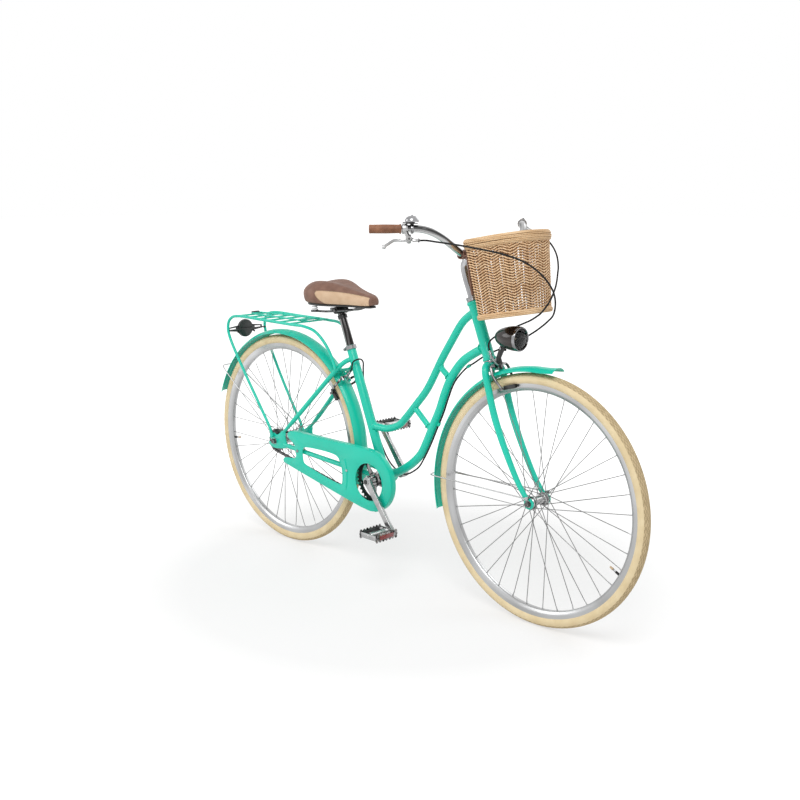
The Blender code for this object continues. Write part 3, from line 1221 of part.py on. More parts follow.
def brake_arm(name, which, side, pad_reach, pad_drop, pad_turn):
    """One side-pull arm with its pad; the left one also carries the cable's adjuster."""
    place = brake_frame(which)
    layer = 0.0020 if side < 0 else 0.0086
    pad_out = 0.0174
    path = [(layer, side * 0.003, 0.001), (layer, side * 0.0160, 0.0085), (layer + 0.002, side * 0.0290, 0.0040),
            (layer + 0.003, side * 0.0350, -0.0160), (pad_reach * 0.32, side * 0.0345, 0.66 * pad_drop),
            (pad_reach * 0.46, side * 0.0265, pad_drop)]
    route = smooth_route([in_frame(place, *p) for p in path], 0.019)
    body = as_mesh(tube(name, route, 0.0030, ALLOY, resolution=1))
    hub_disc = rod(name + "_boss", in_frame(place, layer - 0.0028, 0, 0), in_frame(place, layer + 0.0028, 0, 0),
                   0.0064, ALLOY, 8)
    carrier_rod = rod(name + "_pad_rod", in_frame(place, pad_reach * 0.46, side * 0.0300, pad_drop),
                      in_frame(place, pad_reach * 0.46, side * pad_out, pad_drop), 0.0030, ALLOY, 6)
    shoe = block(name + "_shoe", in_frame(place, pad_reach, side * (pad_out + 0.0010), pad_drop - 0.0001),
                 (0.040, 0.0060, 0.0090), RUBBER, turn=place.to_3x3().to_4x4() @ Matrix.Rotation(math.radians(pad_turn), 4, "Y"))
    join(body, hub_disc, carrier_rod, shoe)
    if side > 0:
        tip = (0.0120, -0.0260, 0.0300)
        lever = as_mesh(tube(name + "_lever", smooth_route(
            [in_frame(place, layer, 0.002, 0.0), in_frame(place, layer + 0.0003, -0.0120, 0.0110),
             in_frame(place, *tip)], 0.012), 0.0030, ALLOY, resolution=1))
        adjuster = rod(name + "_adjuster", in_frame(place, tip[0], tip[1], tip[2] - 0.0045),
                       in_frame(place, tip[0], tip[1], tip[2] + 0.0180), 0.0038, ALLOY, 6)
        join(body, lever, adjuster)
    else:
        anchor = rod(name + "_anchor", in_frame(place, layer - 0.004, side * 0.0270, 0.0050),
                     in_frame(place, layer + 0.0110, side * 0.0270, 0.0050), 0.0042, STEEL, 6)
        join(body, anchor)
    return cut(body, bore(name + "_bore", in_frame(place, -0.02, 0, 0), in_frame(place, 0.02, 0, 0), 0.0030, 8))


def adjuster_top(which, clearance):
    return in_frame(brake_frame(which), 0.0120, -0.0260, 0.0480 + clearance)


# Brake cables

CABLE_RADIUS = 0.0024


def cable(name, route):
    """A cable housing: a point every three diameters on the bends, fewer where it runs straight."""
    return tube(name, thin(smooth_route(route, 6 * CABLE_RADIUS), math.radians(9)), CABLE_RADIUS, RUBBER, 1)


def front_cable():
    """From the left lever, round the basket's side and over the lamp, to the front brake."""
    start = in_frame(hand_frame(1), -0.0446, 0.0440, 0)
    lead = in_frame(hand_frame(1), -0.0600, 0.0450, 0)
    end = adjuster_top("front", 0.0014)
    rise = in_frame(brake_frame("front"), 0.0120, -0.0260, 0.0600)
    route = [start, lead, (0.352, 0.203, 1.050), (0.385, 0.186, 1.044), (0.4307, 0.165, 1.019), (0.4556, 0.150, 0.9958),
             (0.4717, 0.135, 0.9704), (0.4760, 0.1265, 0.9400), (0.4640, 0.1210, 0.8975), (0.4500, 0.1110, 0.8560),
             (0.4405, 0.0890, 0.8400), (0.4420, 0.0450, 0.8335), (0.4330, 0.0030, 0.8290), (0.4190, -0.0250, 0.8105),
             (0.3950, -0.0300, 0.7890), (0.3775, -0.0290, 0.7710), rise, end]
    return cable("front_cable", route)


CABLE_HANDOVER = Vector((0.2720, 0.0190, 0.6945))


def steering_cable():
    """From the right lever, round the front of the basket, to the first guide on the frame."""
    start = in_frame(hand_frame(-1), -0.0446, 0.0440, 0)
    lead = in_frame(hand_frame(-1), -0.0600, 0.0440, 0)
    route = [start, lead, (0.350, -0.2190, 1.0460), (0.400, -0.2130, 1.0420), (0.4341, -0.205, 1.038),
             (0.4708, -0.190, 1.0318), (0.5178, -0.162, 1.0212), (0.5519, -0.125, 1.0038), (0.5642, -0.100, 0.9885),
             (0.5731, -0.070, 0.9665), (0.5784, -0.045, 0.9421), (0.5764, -0.022, 0.9172), (0.566, 0.0, 0.8867),
             (0.5491, 0.015, 0.856), (0.5211, 0.028, 0.8347), (0.4837, 0.038, 0.8103), (0.4539, 0.0425, 0.7928),
             (0.4022, 0.0425, 0.7643), (0.3399, 0.038, 0.7372), (0.329, 0.0365, 0.732), (0.2952, 0.0300, 0.7130),
             CABLE_HANDOVER + Vector((0.006, 0.001, 0.004)), CABLE_HANDOVER]
    return cable("rear_cable_loop", route)


def frame_cable():
    """Under the lower tube, up the left of the seat tube and round it to the rear brake."""
    drop = LOWER_TUBE_RADIUS + CABLE_RADIUS + 0.0014
    under = []
    for before, point, after in zip(LOWER_ROUTE[2:], LOWER_ROUTE[3:9], LOWER_ROUTE[4:]):
        along = (Vector(after) - Vector(before)).normalized()
        out = LEFT.cross(along)
        if out.z > 0:
            out = -out
        under.append(Vector(point) + drop * out)
    side = SEAT_TUBE_RADIUS + CABLE_RADIUS + 0.0006
    up_tube = [on_seat_tube(z) + side * LEFT for z in (0.400, 0.450, 0.500, 0.550, 0.595)]
    end = adjuster_top("rear", 0.0018)
    rise = in_frame(brake_frame("rear"), 0.0120, -0.0260, 0.0560)
    start = CABLE_HANDOVER + (CABLE_HANDOVER - Vector((0.2952, 0.0300, 0.7130))).normalized() * 0.0004
    route = [start, (0.256, 0.0125, 0.6830), *under, (0.058, 0.0165, 0.350), (0.010, 0.0180, 0.323),
             (-0.025, 0.0235, 0.323), (-0.063, 0.0225, 0.345), *up_tube, (-0.1740, 0.0150, 0.6270),
             (-0.1660, 0.0070, 0.6500), (-0.1655, -0.0040, 0.6600), (-0.1700, -0.0150, 0.6590),
             (-0.1790, -0.0230, 0.6520), rise, end]
    return cable("rear_cable", route)


# Assembly

def make_frame():
    head_tube()
    upper_tube()
    lower_tube()
    seat_tube()
    bracket_shell()
    for side, tag in ((-1, "right"), (1, "left")):
        chain_stay(tag + "_chain_stay", side)
        seat_stay(tag + "_seat_stay", side)
    stay_bridge()
    chain_guard()
    chain()
    axle("rear_axle", REAR_AXLE, 0.0735, DROPOUT_HALF_WIDTH, 0.0025)
    carrier()
    rear_reflector()
    bridge_angle = math.atan2(BRIDGE_CENTRE.z - AXLE_Z, BRIDGE_CENTRE.x + AXLE_X)
    reach = (BRIDGE_CENTRE - REAR_AXLE).length - 0.0055 - SEAT
    mudguard("rear_mudguard", REAR_AXLE, math.radians(-14), math.radians(161), 19,
             (polar(REAR_AXLE, MUDGUARD_RADIUS - 0.0015, bridge_angle), polar(REAR_AXLE, reach, bridge_angle)))
    stay_wire("rear_mudguard_stay", (-0.5440, -0.0632, 0.3780), (-0.8350, -0.0330, 0.5560),
              (-0.8500, -0.0230, 0.5640))
    frame_cable()


def make_steering():
    pieces = [fork(), axle("front_axle", FRONT_AXLE, 0.0520, FORK_HALF_WIDTH, 0.0025), stem(), handlebar(), basket(),
              headlight_bracket(), bell(),
              mudguard("front_mudguard", FRONT_AXLE, math.radians(78), math.radians(194.5), 13,
                       (on_steering(0.6785), on_steering(0.6870) - SEAT * LEAN_DIRECTION)),
              stay_wire("front_mudguard_stay", STAY_FOOT, (0.1640, -0.0330, 0.3600),
                        (0.1455, -0.0200, 0.3580)), front_cable()]
    for side, tag in ((-1, "right"), (1, "left")):
        pieces += [grip(tag + "_grip", side), brake_perch(tag + "_brake_bracket", side)]
    return pieces


def main():
    front_wheel, rear_wheel = make_wheels()
    make_frame()
    column = pivot("steering_pivot", on_steering(0.80), *make_steering(), steering_cable())
    pivot("front_wheel_pivot", FRONT_AXLE, *front_wheel, parent=column)
    pivot("rear_wheel_pivot", REAR_AXLE, *rear_wheel)
    pivot("sprocket_pivot", REAR_AXLE, sprocket())
    ring = toothed_wheel("chainring", BRACKET, RING_TEETH, 0.0600, 0.0028, BLACK)
    cranks = pivot("crank_pivot", BRACKET, ring, right_crank(), left_crank())
    for side, tag in ((-1, "right"), (1, "left")):
        eye = BRACKET - side * CRANK_LENGTH * CRANK_DIRECTION + side * (CRANK_PLANE + CRANK_THICKNESS / 2) * LEFT
        pivot(tag + "_pedal_pivot", eye, pedal(tag + "_pedal", eye, side), parent=cranks)
        hand = hand_frame(side)
        pivot(tag + "_lever_pivot", in_frame(hand, *LEVER_PIVOT, 0), brake_lever(tag + "_brake_lever", side),
              parent=column)
        pivot("front_brake_%s_pivot" % tag, brake_frame("front").translation,
              brake_arm("front_brake_%s_arm" % tag, "front", side, 0.0410, -0.0620, 6.0),
              parent=column)
        pivot("rear_brake_%s_pivot" % tag, brake_frame("rear").translation,
              brake_arm("rear_brake_%s_arm" % tag, "rear", side, 0.0120, -0.0686, 9.7))
    pivot("bell_lever_pivot", BELL_FOOT, bell_lever(), parent=column)
    pivot("headlight_pivot", LAMP_BOLT, headlight_shell(), headlight_lens(), parent=column)
    post = pivot("seat_post_slide", on_seat_tube(SEAT_TUBE_Z), seat_post())
    springs = [saddle_spring(tag + "_saddle_spring", side) for side, tag in ((-1, "right"), (1, "left"))]
    pivot("saddle_tilt", on_seat_tube(SADDLE_PIVOT_Z), saddle_cover(), saddle_frame(), *springs, parent=post)
    pivot("carrier_clip_pivot", Vector((-0.4100, 0.0, CLIP_HINGE_Z)), carrier_clip())


clear_scene()
PARTS = new_collection("city_bicycle")
CUTTERS = new_collection("cutters")
main()
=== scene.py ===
# %% [markdown]
# A step-through city bicycle with a wicker basket, a rear carrier and cream tyres.
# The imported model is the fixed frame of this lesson: it says where every piece is,
# in metres, with X forward, Y to the rider's left and Z up. Each new piece is made
# in that same place, so nothing has to be fitted afterwards.

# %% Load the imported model
import json
import random
from math import acos, atan2, cos, hypot, pi, radians, sin, sqrt

import bpy
from mathutils import Matrix, Vector
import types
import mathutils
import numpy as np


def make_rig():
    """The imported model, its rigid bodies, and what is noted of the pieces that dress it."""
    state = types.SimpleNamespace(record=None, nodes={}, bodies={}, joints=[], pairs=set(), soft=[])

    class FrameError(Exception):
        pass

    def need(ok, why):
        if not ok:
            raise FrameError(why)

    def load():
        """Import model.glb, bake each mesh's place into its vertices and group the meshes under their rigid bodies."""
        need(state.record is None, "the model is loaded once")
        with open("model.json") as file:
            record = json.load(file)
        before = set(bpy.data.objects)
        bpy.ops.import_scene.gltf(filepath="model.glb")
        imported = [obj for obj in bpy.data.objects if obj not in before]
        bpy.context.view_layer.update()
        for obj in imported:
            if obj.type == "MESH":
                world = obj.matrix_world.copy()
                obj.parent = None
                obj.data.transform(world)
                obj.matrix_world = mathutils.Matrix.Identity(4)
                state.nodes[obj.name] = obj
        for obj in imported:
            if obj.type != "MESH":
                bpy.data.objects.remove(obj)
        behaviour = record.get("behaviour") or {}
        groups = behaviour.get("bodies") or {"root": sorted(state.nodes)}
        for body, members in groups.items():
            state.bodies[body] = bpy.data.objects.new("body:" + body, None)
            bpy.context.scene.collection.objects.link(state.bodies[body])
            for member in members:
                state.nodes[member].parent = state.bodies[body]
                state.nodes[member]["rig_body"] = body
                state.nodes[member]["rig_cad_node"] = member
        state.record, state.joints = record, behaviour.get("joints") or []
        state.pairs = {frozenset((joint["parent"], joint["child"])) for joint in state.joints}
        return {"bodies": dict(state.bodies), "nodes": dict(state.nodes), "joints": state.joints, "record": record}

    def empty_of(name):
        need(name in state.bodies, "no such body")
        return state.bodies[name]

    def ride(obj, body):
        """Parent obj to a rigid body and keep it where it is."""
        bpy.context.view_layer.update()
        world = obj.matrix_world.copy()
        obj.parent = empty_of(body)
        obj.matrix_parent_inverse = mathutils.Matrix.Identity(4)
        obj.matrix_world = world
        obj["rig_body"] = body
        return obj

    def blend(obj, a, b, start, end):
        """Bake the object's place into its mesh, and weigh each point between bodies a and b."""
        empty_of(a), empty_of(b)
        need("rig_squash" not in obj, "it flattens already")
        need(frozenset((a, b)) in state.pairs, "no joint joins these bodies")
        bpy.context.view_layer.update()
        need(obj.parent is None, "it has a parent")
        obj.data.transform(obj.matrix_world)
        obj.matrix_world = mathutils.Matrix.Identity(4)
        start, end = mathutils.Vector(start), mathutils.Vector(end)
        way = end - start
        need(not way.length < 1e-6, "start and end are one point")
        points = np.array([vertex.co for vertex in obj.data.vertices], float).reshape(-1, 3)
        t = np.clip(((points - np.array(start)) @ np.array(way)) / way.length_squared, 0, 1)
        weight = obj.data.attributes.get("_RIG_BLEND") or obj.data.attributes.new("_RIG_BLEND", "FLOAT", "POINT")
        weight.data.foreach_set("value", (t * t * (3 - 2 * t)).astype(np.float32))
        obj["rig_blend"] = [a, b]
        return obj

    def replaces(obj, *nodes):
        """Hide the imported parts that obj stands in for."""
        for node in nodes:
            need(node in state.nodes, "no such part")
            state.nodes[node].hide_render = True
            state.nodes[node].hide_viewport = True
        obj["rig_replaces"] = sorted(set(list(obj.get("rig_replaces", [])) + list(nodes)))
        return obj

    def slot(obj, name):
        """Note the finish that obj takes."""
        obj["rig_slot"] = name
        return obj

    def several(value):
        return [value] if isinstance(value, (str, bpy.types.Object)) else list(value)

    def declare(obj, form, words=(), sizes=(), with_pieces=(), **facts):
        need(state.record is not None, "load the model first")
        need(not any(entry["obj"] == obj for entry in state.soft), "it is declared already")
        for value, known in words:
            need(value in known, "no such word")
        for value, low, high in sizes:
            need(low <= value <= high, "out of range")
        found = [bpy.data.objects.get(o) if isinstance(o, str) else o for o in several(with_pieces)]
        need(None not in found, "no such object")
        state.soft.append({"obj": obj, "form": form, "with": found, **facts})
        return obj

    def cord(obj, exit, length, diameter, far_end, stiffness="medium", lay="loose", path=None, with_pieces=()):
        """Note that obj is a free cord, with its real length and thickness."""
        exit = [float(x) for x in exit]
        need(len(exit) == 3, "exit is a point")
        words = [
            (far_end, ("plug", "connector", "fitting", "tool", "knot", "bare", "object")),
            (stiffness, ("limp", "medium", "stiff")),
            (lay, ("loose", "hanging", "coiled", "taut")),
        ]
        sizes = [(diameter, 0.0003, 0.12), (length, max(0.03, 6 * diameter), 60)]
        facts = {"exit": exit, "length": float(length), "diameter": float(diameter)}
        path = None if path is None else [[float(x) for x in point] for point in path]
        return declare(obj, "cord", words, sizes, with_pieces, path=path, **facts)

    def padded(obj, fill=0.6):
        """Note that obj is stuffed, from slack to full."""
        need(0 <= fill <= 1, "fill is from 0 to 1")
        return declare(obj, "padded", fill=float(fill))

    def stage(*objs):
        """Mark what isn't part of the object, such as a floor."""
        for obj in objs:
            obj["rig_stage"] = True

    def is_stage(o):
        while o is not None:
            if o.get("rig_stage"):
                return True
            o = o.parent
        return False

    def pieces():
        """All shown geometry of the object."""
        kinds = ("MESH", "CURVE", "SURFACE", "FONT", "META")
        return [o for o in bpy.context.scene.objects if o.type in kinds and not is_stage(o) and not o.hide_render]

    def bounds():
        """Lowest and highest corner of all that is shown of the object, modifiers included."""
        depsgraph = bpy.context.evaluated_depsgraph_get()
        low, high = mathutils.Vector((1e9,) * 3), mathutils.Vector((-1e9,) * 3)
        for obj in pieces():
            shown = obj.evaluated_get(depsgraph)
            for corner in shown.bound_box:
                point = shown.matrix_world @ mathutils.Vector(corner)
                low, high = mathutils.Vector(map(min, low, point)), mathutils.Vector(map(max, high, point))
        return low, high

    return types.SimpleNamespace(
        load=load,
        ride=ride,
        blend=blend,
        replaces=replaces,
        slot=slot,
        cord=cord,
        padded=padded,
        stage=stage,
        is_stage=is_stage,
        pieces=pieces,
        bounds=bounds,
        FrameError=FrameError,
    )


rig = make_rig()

bpy.ops.object.select_all(action="SELECT")
bpy.ops.object.delete()
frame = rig.load()
cad_low, cad_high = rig.bounds()
random.seed(11)
print("nodes", len(frame["nodes"]), "bodies", len(frame["bodies"]))

# %% [markdown]
# The camera stands to the front right of the bicycle, a little above the hubs, as the
# photographer did. It looks straight at a point between the wheels, so no shift is needed.

# %% Camera
CAMERA_PLACE = Vector((2.26896, -2.28677, 1.20254))
CAMERA_TARGET = Vector((0.0015, 0.0, 0.5547))
bpy.ops.object.camera_add(location=CAMERA_PLACE)
camera = bpy.context.object
camera.rotation_euler = (CAMERA_TARGET - CAMERA_PLACE).to_track_quat("-Z", "Y").to_euler()
camera.data.sensor_width = 36.0
camera.data.lens = 49.363
bpy.context.scene.camera = camera
bpy.context.scene.view_settings.view_transform = "Standard"
print("camera at", [round(v, 3) for v in CAMERA_PLACE])

# %% [markdown]
# A few hand tools come first. Every operator works on what is selected, so each step
# starts from an empty selection and picks its own object.

# %% Picking and editing
UP, LEFT, FORWARD = Vector((0, 0, 1)), Vector((0, 1, 0)), Vector((1, 0, 0))
SIDES = ((-1, "right"), (1, "left"))


def rest():
    if bpy.context.mode != "OBJECT":
        bpy.ops.object.mode_set(mode="OBJECT")
    bpy.ops.object.select_all(action="DESELECT")


def pick(*objects):
    rest()
    for obj in objects:
        obj.select_set(True)
    bpy.context.view_layer.objects.active = objects[0]
    return objects[0]


def edit(obj):
    pick(obj)
    bpy.ops.object.mode_set(mode="EDIT")
    bpy.ops.mesh.select_all(action="SELECT")


def closed_up(obj, gap=0.00002):
    """Doubles merged and every face turned outwards."""
    edit(obj)
    bpy.ops.mesh.remove_doubles(threshold=gap)
    bpy.ops.mesh.normals_make_consistent(inside=False)
    rest()
    return obj


def settled():
    """The active object's place goes into its mesh, as the export needs it."""
    bpy.ops.object.transform_apply(location=True, rotation=True, scale=True)
    return bpy.context.object


def joined(*objects):
    pick(*objects)
    if len(objects) > 1:
        bpy.ops.object.join()
    return objects[0]


def applied(obj, kind, **settings):
    """One modifier, added and applied at once."""
    pick(obj)
    modifier = obj.modifiers.new("step", kind)
    for key, value in settings.items():
        setattr(modifier, key, value)
    bpy.ops.object.modifier_apply(modifier="step")
    return obj


def eased(obj, width, segments=2, angle=32):
    """Sharp edges rounded by a small bevel, as on anything that was pressed or cast."""
    return applied(obj, "BEVEL", width=width, segments=segments, limit_method="ANGLE",
        angle_limit=radians(angle), harden_normals=False)


def dressed(obj, look):
    obj.data.materials.clear()
    obj.data.materials.append(look)
    return obj


def done(pieces, name, body, stands_for, angle, look=None):
    """The last step of every piece or list of pieces: name, finish, shading and body."""
    obj = joined(*pieces) if isinstance(pieces, list) else pick(pieces)
    settled()
    obj.name = obj.data.name = name
    if look:
        dressed(obj, look)
    bpy.ops.object.shade_smooth_by_angle(angle=radians(angle))
    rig.ride(obj, body)
    if stands_for:
        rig.replaces(obj, stands_for)
        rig.slot(obj, stands_for)
    print(name, len(obj.data.polygons), "faces")
    return obj


# %% [markdown]
# Most of a bicycle is turned, bent or pressed. A turned piece is a profile spun about its
# axle, a bent one is a tube along a route, and a pressed one is an outline pulled thick.
# The outline starts as a circle with one corner for each point, and each corner is moved
# to its place.

# %% Places and routes


def frame_at(origin, up_direction, side=LEFT):
    """A place whose Z runs along up_direction and whose Y stays near side."""
    z = Vector(up_direction).normalized()
    x = side.cross(z).normalized()
    y = z.cross(x)
    return Matrix.Translation(origin) @ Matrix((x, y, z)).transposed().to_4x4()


def mm(*points):
    """Points written in millimetres, as on a drawing, turned into metres."""
    return [tuple(value / 1000 for value in point) for point in points]


def side_plane(y):
    return Matrix.Translation((0.0, y, 0.0)) @ Matrix.Rotation(pi / 2, 4, "X")


def sided(points, side):
    return [(x, side * y, z) for x, y, z in points]


def mirrored(point):
    return Vector((point[0], -point[1], point[2]))


FACING_ALONG = Matrix.Rotation(pi / 2, 4, "Z") @ Matrix.Rotation(pi / 2, 4, "X")


def polar(centre, radius, angle, y=0.0):
    return Vector((centre.x + radius * cos(angle), y, centre.z + radius * sin(angle)))


def arc(centre, radius, start, end, count):
    return [(centre[0] + radius * cos(start + (end - start) * k / (count - 1)),
        centre[1] + radius * sin(start + (end - start) * k / (count - 1))) for k in range(count)]


def ring_points(centre, radius, count):
    return arc(centre, radius, 0.0, 2 * pi * (count - 1) / count, count)


def smooth_route(points, spacing):
    """Points at an even spacing on a smooth curve through the given ones."""
    points = [Vector(p) for p in points]
    ends = [2 * points[0] - points[1], *points, 2 * points[-1] - points[-2]]
    dense = [points[0]]
    for p0, p1, p2, p3 in zip(ends, ends[1:], ends[2:], ends[3:]):
        t1 = sqrt((p1 - p0).length)
        t2 = t1 + sqrt((p2 - p1).length)
        t3 = t2 + sqrt((p3 - p2).length)
        for step in range(1, 17):
            t = t1 + (t2 - t1) * step / 16
            a1 = p0.lerp(p1, t / t1)
            a2 = p1.lerp(p2, (t - t1) / (t2 - t1))
            a3 = p2.lerp(p3, (t - t2) / (t3 - t2))
            b1 = a1.lerp(a2, t / t2)
            b2 = a2.lerp(a3, (t - t1) / (t3 - t1))
            dense.append(b1.lerp(b2, (t - t1) / (t2 - t1)))
    return even_route(dense, spacing)


def even_route(dense, spacing):
    lengths = [0.0]
    for a, b in zip(dense, dense[1:]):
        lengths.append(lengths[-1] + (b - a).length)
    count = max(2, round(lengths[-1] / spacing) + 1)
    route, index = [], 0
    for k in range(count):
        goal = lengths[-1] * k / (count - 1)
        while index < len(dense) - 2 and lengths[index + 1] < goal:
            index += 1
        part = (goal - lengths[index]) / (lengths[index + 1] - lengths[index])
        route.append(dense[index].lerp(dense[index + 1], part))
    return route


# %% Shapes


def loop(points):
    """A circle with one corner per point, each corner moved to its point."""
    rest()
    bpy.ops.mesh.primitive_circle_add(vertices=len(points), radius=0.1)
    obj = bpy.context.object
    for vertex, point in zip(obj.data.vertices, points):
        vertex.co = point
    return obj


def spun(profile, place, steps=96, is_open=False):
    """A profile of (radius, height) points turned about the place's Z."""
    obj = loop([place @ Vector((radius, 0.0, height)) for radius, height in profile])
    if is_open:
        for vertex in obj.data.vertices:
            vertex.select = False
        for edge in obj.data.edges:
            edge.select = set(edge.vertices) == {0, len(profile) - 1}
        bpy.context.view_layer.objects.active = obj
        bpy.context.tool_settings.mesh_select_mode = (False, True, False)
        bpy.ops.object.mode_set(mode="EDIT")
        bpy.ops.mesh.delete(type="EDGE")
        bpy.context.tool_settings.mesh_select_mode = (True, False, False)
        rest()
    edit(obj)
    bpy.ops.mesh.spin(steps=steps, angle=2 * pi, center=place.translation, axis=place.to_3x3().col[2])
    rest()
    return closed_up(obj)


def pipe(routes, radius, sides=20, closed=False, taper=None):
    """Round tubes along one route or several; taper gives the radius as a share."""
    if not isinstance(routes[0], (list, tuple)):
        routes = [routes]
    rest()
    bpy.ops.curve.primitive_nurbs_path_add()
    obj = bpy.context.object
    curve = obj.data
    curve.splines.clear()
    curve.bevel_depth = radius
    curve.bevel_resolution = (sides - 4) // 2
    curve.use_fill_caps = not closed
    for route in routes:
        spline = curve.splines.new("POLY")
        spline.points.add(len(route) - 1)
        for index, point in enumerate(route):
            spline.points[index].co = (*point, 1.0)
            spline.points[index].radius = taper(index / (len(route) - 1)) if taper else 1.0
        spline.use_cyclic_u = closed
    pick(obj)
    bpy.ops.object.convert(target="MESH")
    return closed_up(bpy.context.object, 0.000005)


def rod(start, end, radius, sides=24, end_radius=None):
    """A straight bar, or a taper, between two points."""
    start, end = Vector(start), Vector(end)
    rest()
    bpy.ops.mesh.primitive_cone_add(vertices=sides, radius1=radius,
        radius2=radius if end_radius is None else end_radius, depth=(end - start).length,
        location=(start + end) / 2, rotation=(end - start).to_track_quat("Z", "Y").to_euler())
    return settled()


def block(centre, size, turn=None, ease=0.0008):
    """A box with rounded edges."""
    rest()
    bpy.ops.mesh.primitive_cube_add(size=1.0)
    obj = bpy.context.object
    obj.matrix_world = (Matrix.Translation(centre) @ (turn or Matrix.Identity(4))
        @ Matrix.Diagonal((*size, 1.0)))
    return eased(settled(), ease)


def ball(centre, radius, segments=20, rings=12):
    rest()
    bpy.ops.mesh.primitive_uv_sphere_add(segments=segments, ring_count=rings, radius=radius, location=centre)
    return settled()


def across(centre, start, end):
    """Two points on the level line through centre, at these distances to the left."""
    return centre + start * LEFT, centre + end * LEFT


def stud(start, end, radius, sides, look, ease=0.0005):
    """A short bar with eased ends, in its finish: nuts, bolt heads and collars."""
    return dressed(eased(rod(start, end, radius, sides), ease), look)


def plate(outline, place, thickness, holes=(), ease=0.0):
    """An outline with holes, in the place's X and Y, pulled thick along its Z."""
    loops = [loop([place @ Vector((x, y, -thickness / 2)) for x, y in ring]) for ring in (outline, *holes)]
    obj = joined(*loops)
    edit(obj)
    if holes:
        bpy.ops.mesh.fill(use_beauty=True)
    else:
        bpy.ops.mesh.edge_face_add()
    bpy.ops.mesh.select_all(action="SELECT")
    bpy.ops.mesh.extrude_region_move(TRANSFORM_OT_translate={"value": place.to_3x3().col[2] * thickness})
    bpy.ops.mesh.select_all(action="SELECT")
    bpy.ops.mesh.normals_make_consistent(inside=False)
    rest()
    return eased(obj, ease, 2) if ease else obj


def cad_copy(node, ease=0.0):
    """A merged copy of a small CAD piece, with its edges eased."""
    obj = bpy.data.objects.new(node + "_copy", frame["nodes"][node].data.copy())
    bpy.context.scene.collection.objects.link(obj)
    pick(obj)
    bpy.ops.mesh.customdata_custom_splitnormals_clear()
    edit(obj)
    bpy.ops.mesh.remove_doubles(threshold=0.00003)
    bpy.ops.mesh.dissolve_limited(angle_limit=radians(1))
    rest()
    return eased(obj, ease, 2, 50) if ease else obj

# %% [markdown]
# Every finish is a procedural material. One helper makes the shader, one adds noise that
# varies a colour, and one adds a fine bump. All of them read Object coordinates, which
# are metres on the bicycle itself, so the grain keeps its real size on every piece.

# %% Material tools


def new_look(name, colour, roughness, metallic=0.0, tones=None, sheen=None, grain=None, **sockets):
    look = bpy.data.materials.new(name)
    look.use_nodes = True
    shader = look.node_tree.nodes["Principled BSDF"]
    shader.inputs["Base Color"].default_value = (*colour, 1.0)
    shader.inputs["Roughness"].default_value = roughness
    shader.inputs["Metallic"].default_value = metallic
    for key, value in sockets.items():
        shader.inputs[key.replace("_", " ")].default_value = value
    look.diffuse_color = (*colour, 1.0)
    varied(look, tones, sheen, grain)
    print(name, "is ready")
    return look


def node(look, kind, **values):
    made = look.node_tree.nodes.new(kind)
    for key, value in values.items():
        if hasattr(made, key):
            setattr(made, key, value)
        else:
            made.inputs[key.replace("_", " ")].default_value = value
    return made


def wire(look, start, end):
    look.node_tree.links.new(start, end)


def shader_of(look):
    return look.node_tree.nodes["Principled BSDF"]


def noise(look, scale, detail=3.0, stretch=(1, 1, 1), turn=(0, 0, 0)):
    """Noise on Object coordinates; a stretch above one packs it closer along that axis."""
    where = node(look, "ShaderNodeTexCoord")
    mapping = node(look, "ShaderNodeMapping", Scale=stretch, Rotation=turn)
    texture = node(look, "ShaderNodeTexNoise", Scale=scale, Detail=detail)
    wire(look, where.outputs["Object"], mapping.inputs["Vector"])
    wire(look, mapping.outputs["Vector"], texture.inputs["Vector"])
    return texture.outputs["Fac"]


def ramp(look, source, stops):
    """A colour ramp from (place, colour) stops."""
    made = node(look, "ShaderNodeValToRGB")
    elements = made.color_ramp.elements
    while len(elements) < len(stops):
        elements.new(0.5)
    for element, (place, colour) in zip(elements, stops):
        element.position = place
        element.color = (*colour, 1.0)
    wire(look, source, made.inputs["Fac"])
    return made.outputs["Color"]


def grey(value):
    return (value, value, value)


def tint(look, source, stops):
    wire(look, ramp(look, source, stops), shader_of(look).inputs["Base Color"])


def roughen(look, source, low, high):
    span = node(look, "ShaderNodeMapRange")
    span.inputs["To Min"].default_value = low
    span.inputs["To Max"].default_value = high
    wire(look, source, span.inputs["Value"])
    wire(look, span.outputs["Result"], shader_of(look).inputs["Roughness"])


def bump(look, source, depth, strength=0.5):
    made = node(look, "ShaderNodeBump", Strength=strength, Distance=depth)
    wire(look, source, made.inputs["Height"])
    wire(look, made.outputs["Normal"], shader_of(look).inputs["Normal"])


def varied(look, tones=None, sheen=None, grain=None):
    """Colour, roughness and bump, each on a noise that is given by scale and detail."""
    for spread, values in ((tint, tones), (roughen, sheen), (bump, grain)):
        if values:
            scale, detail, *steps = values
            if spread is tint:
                steps = [steps]
            spread(look, noise(look, scale, detail), *steps)


# %% [markdown]
# The frame is a sea-green gloss enamel: a clear coat over the colour, a trace of orange
# peel, and a slight change of depth from place to place as sprayed paint has.

# %% Enamel
enamel = new_look("sea_green_enamel", (0.008, 0.6, 0.43), 0.38, Specular_IOR_Level=0.3, Coat_Weight=0.3,
    Coat_Roughness=0.08, tones=(5.0, 4.0, (0.3, (0.005, 0.565, 0.4)), (0.55, (0.007, 0.605, 0.435)),
    (0.8, (0.012, 0.64, 0.465))), sheen=(60.0, 3.0, 0.3, 0.44), grain=(420.0, 2.0, 0.00008, 0.25))
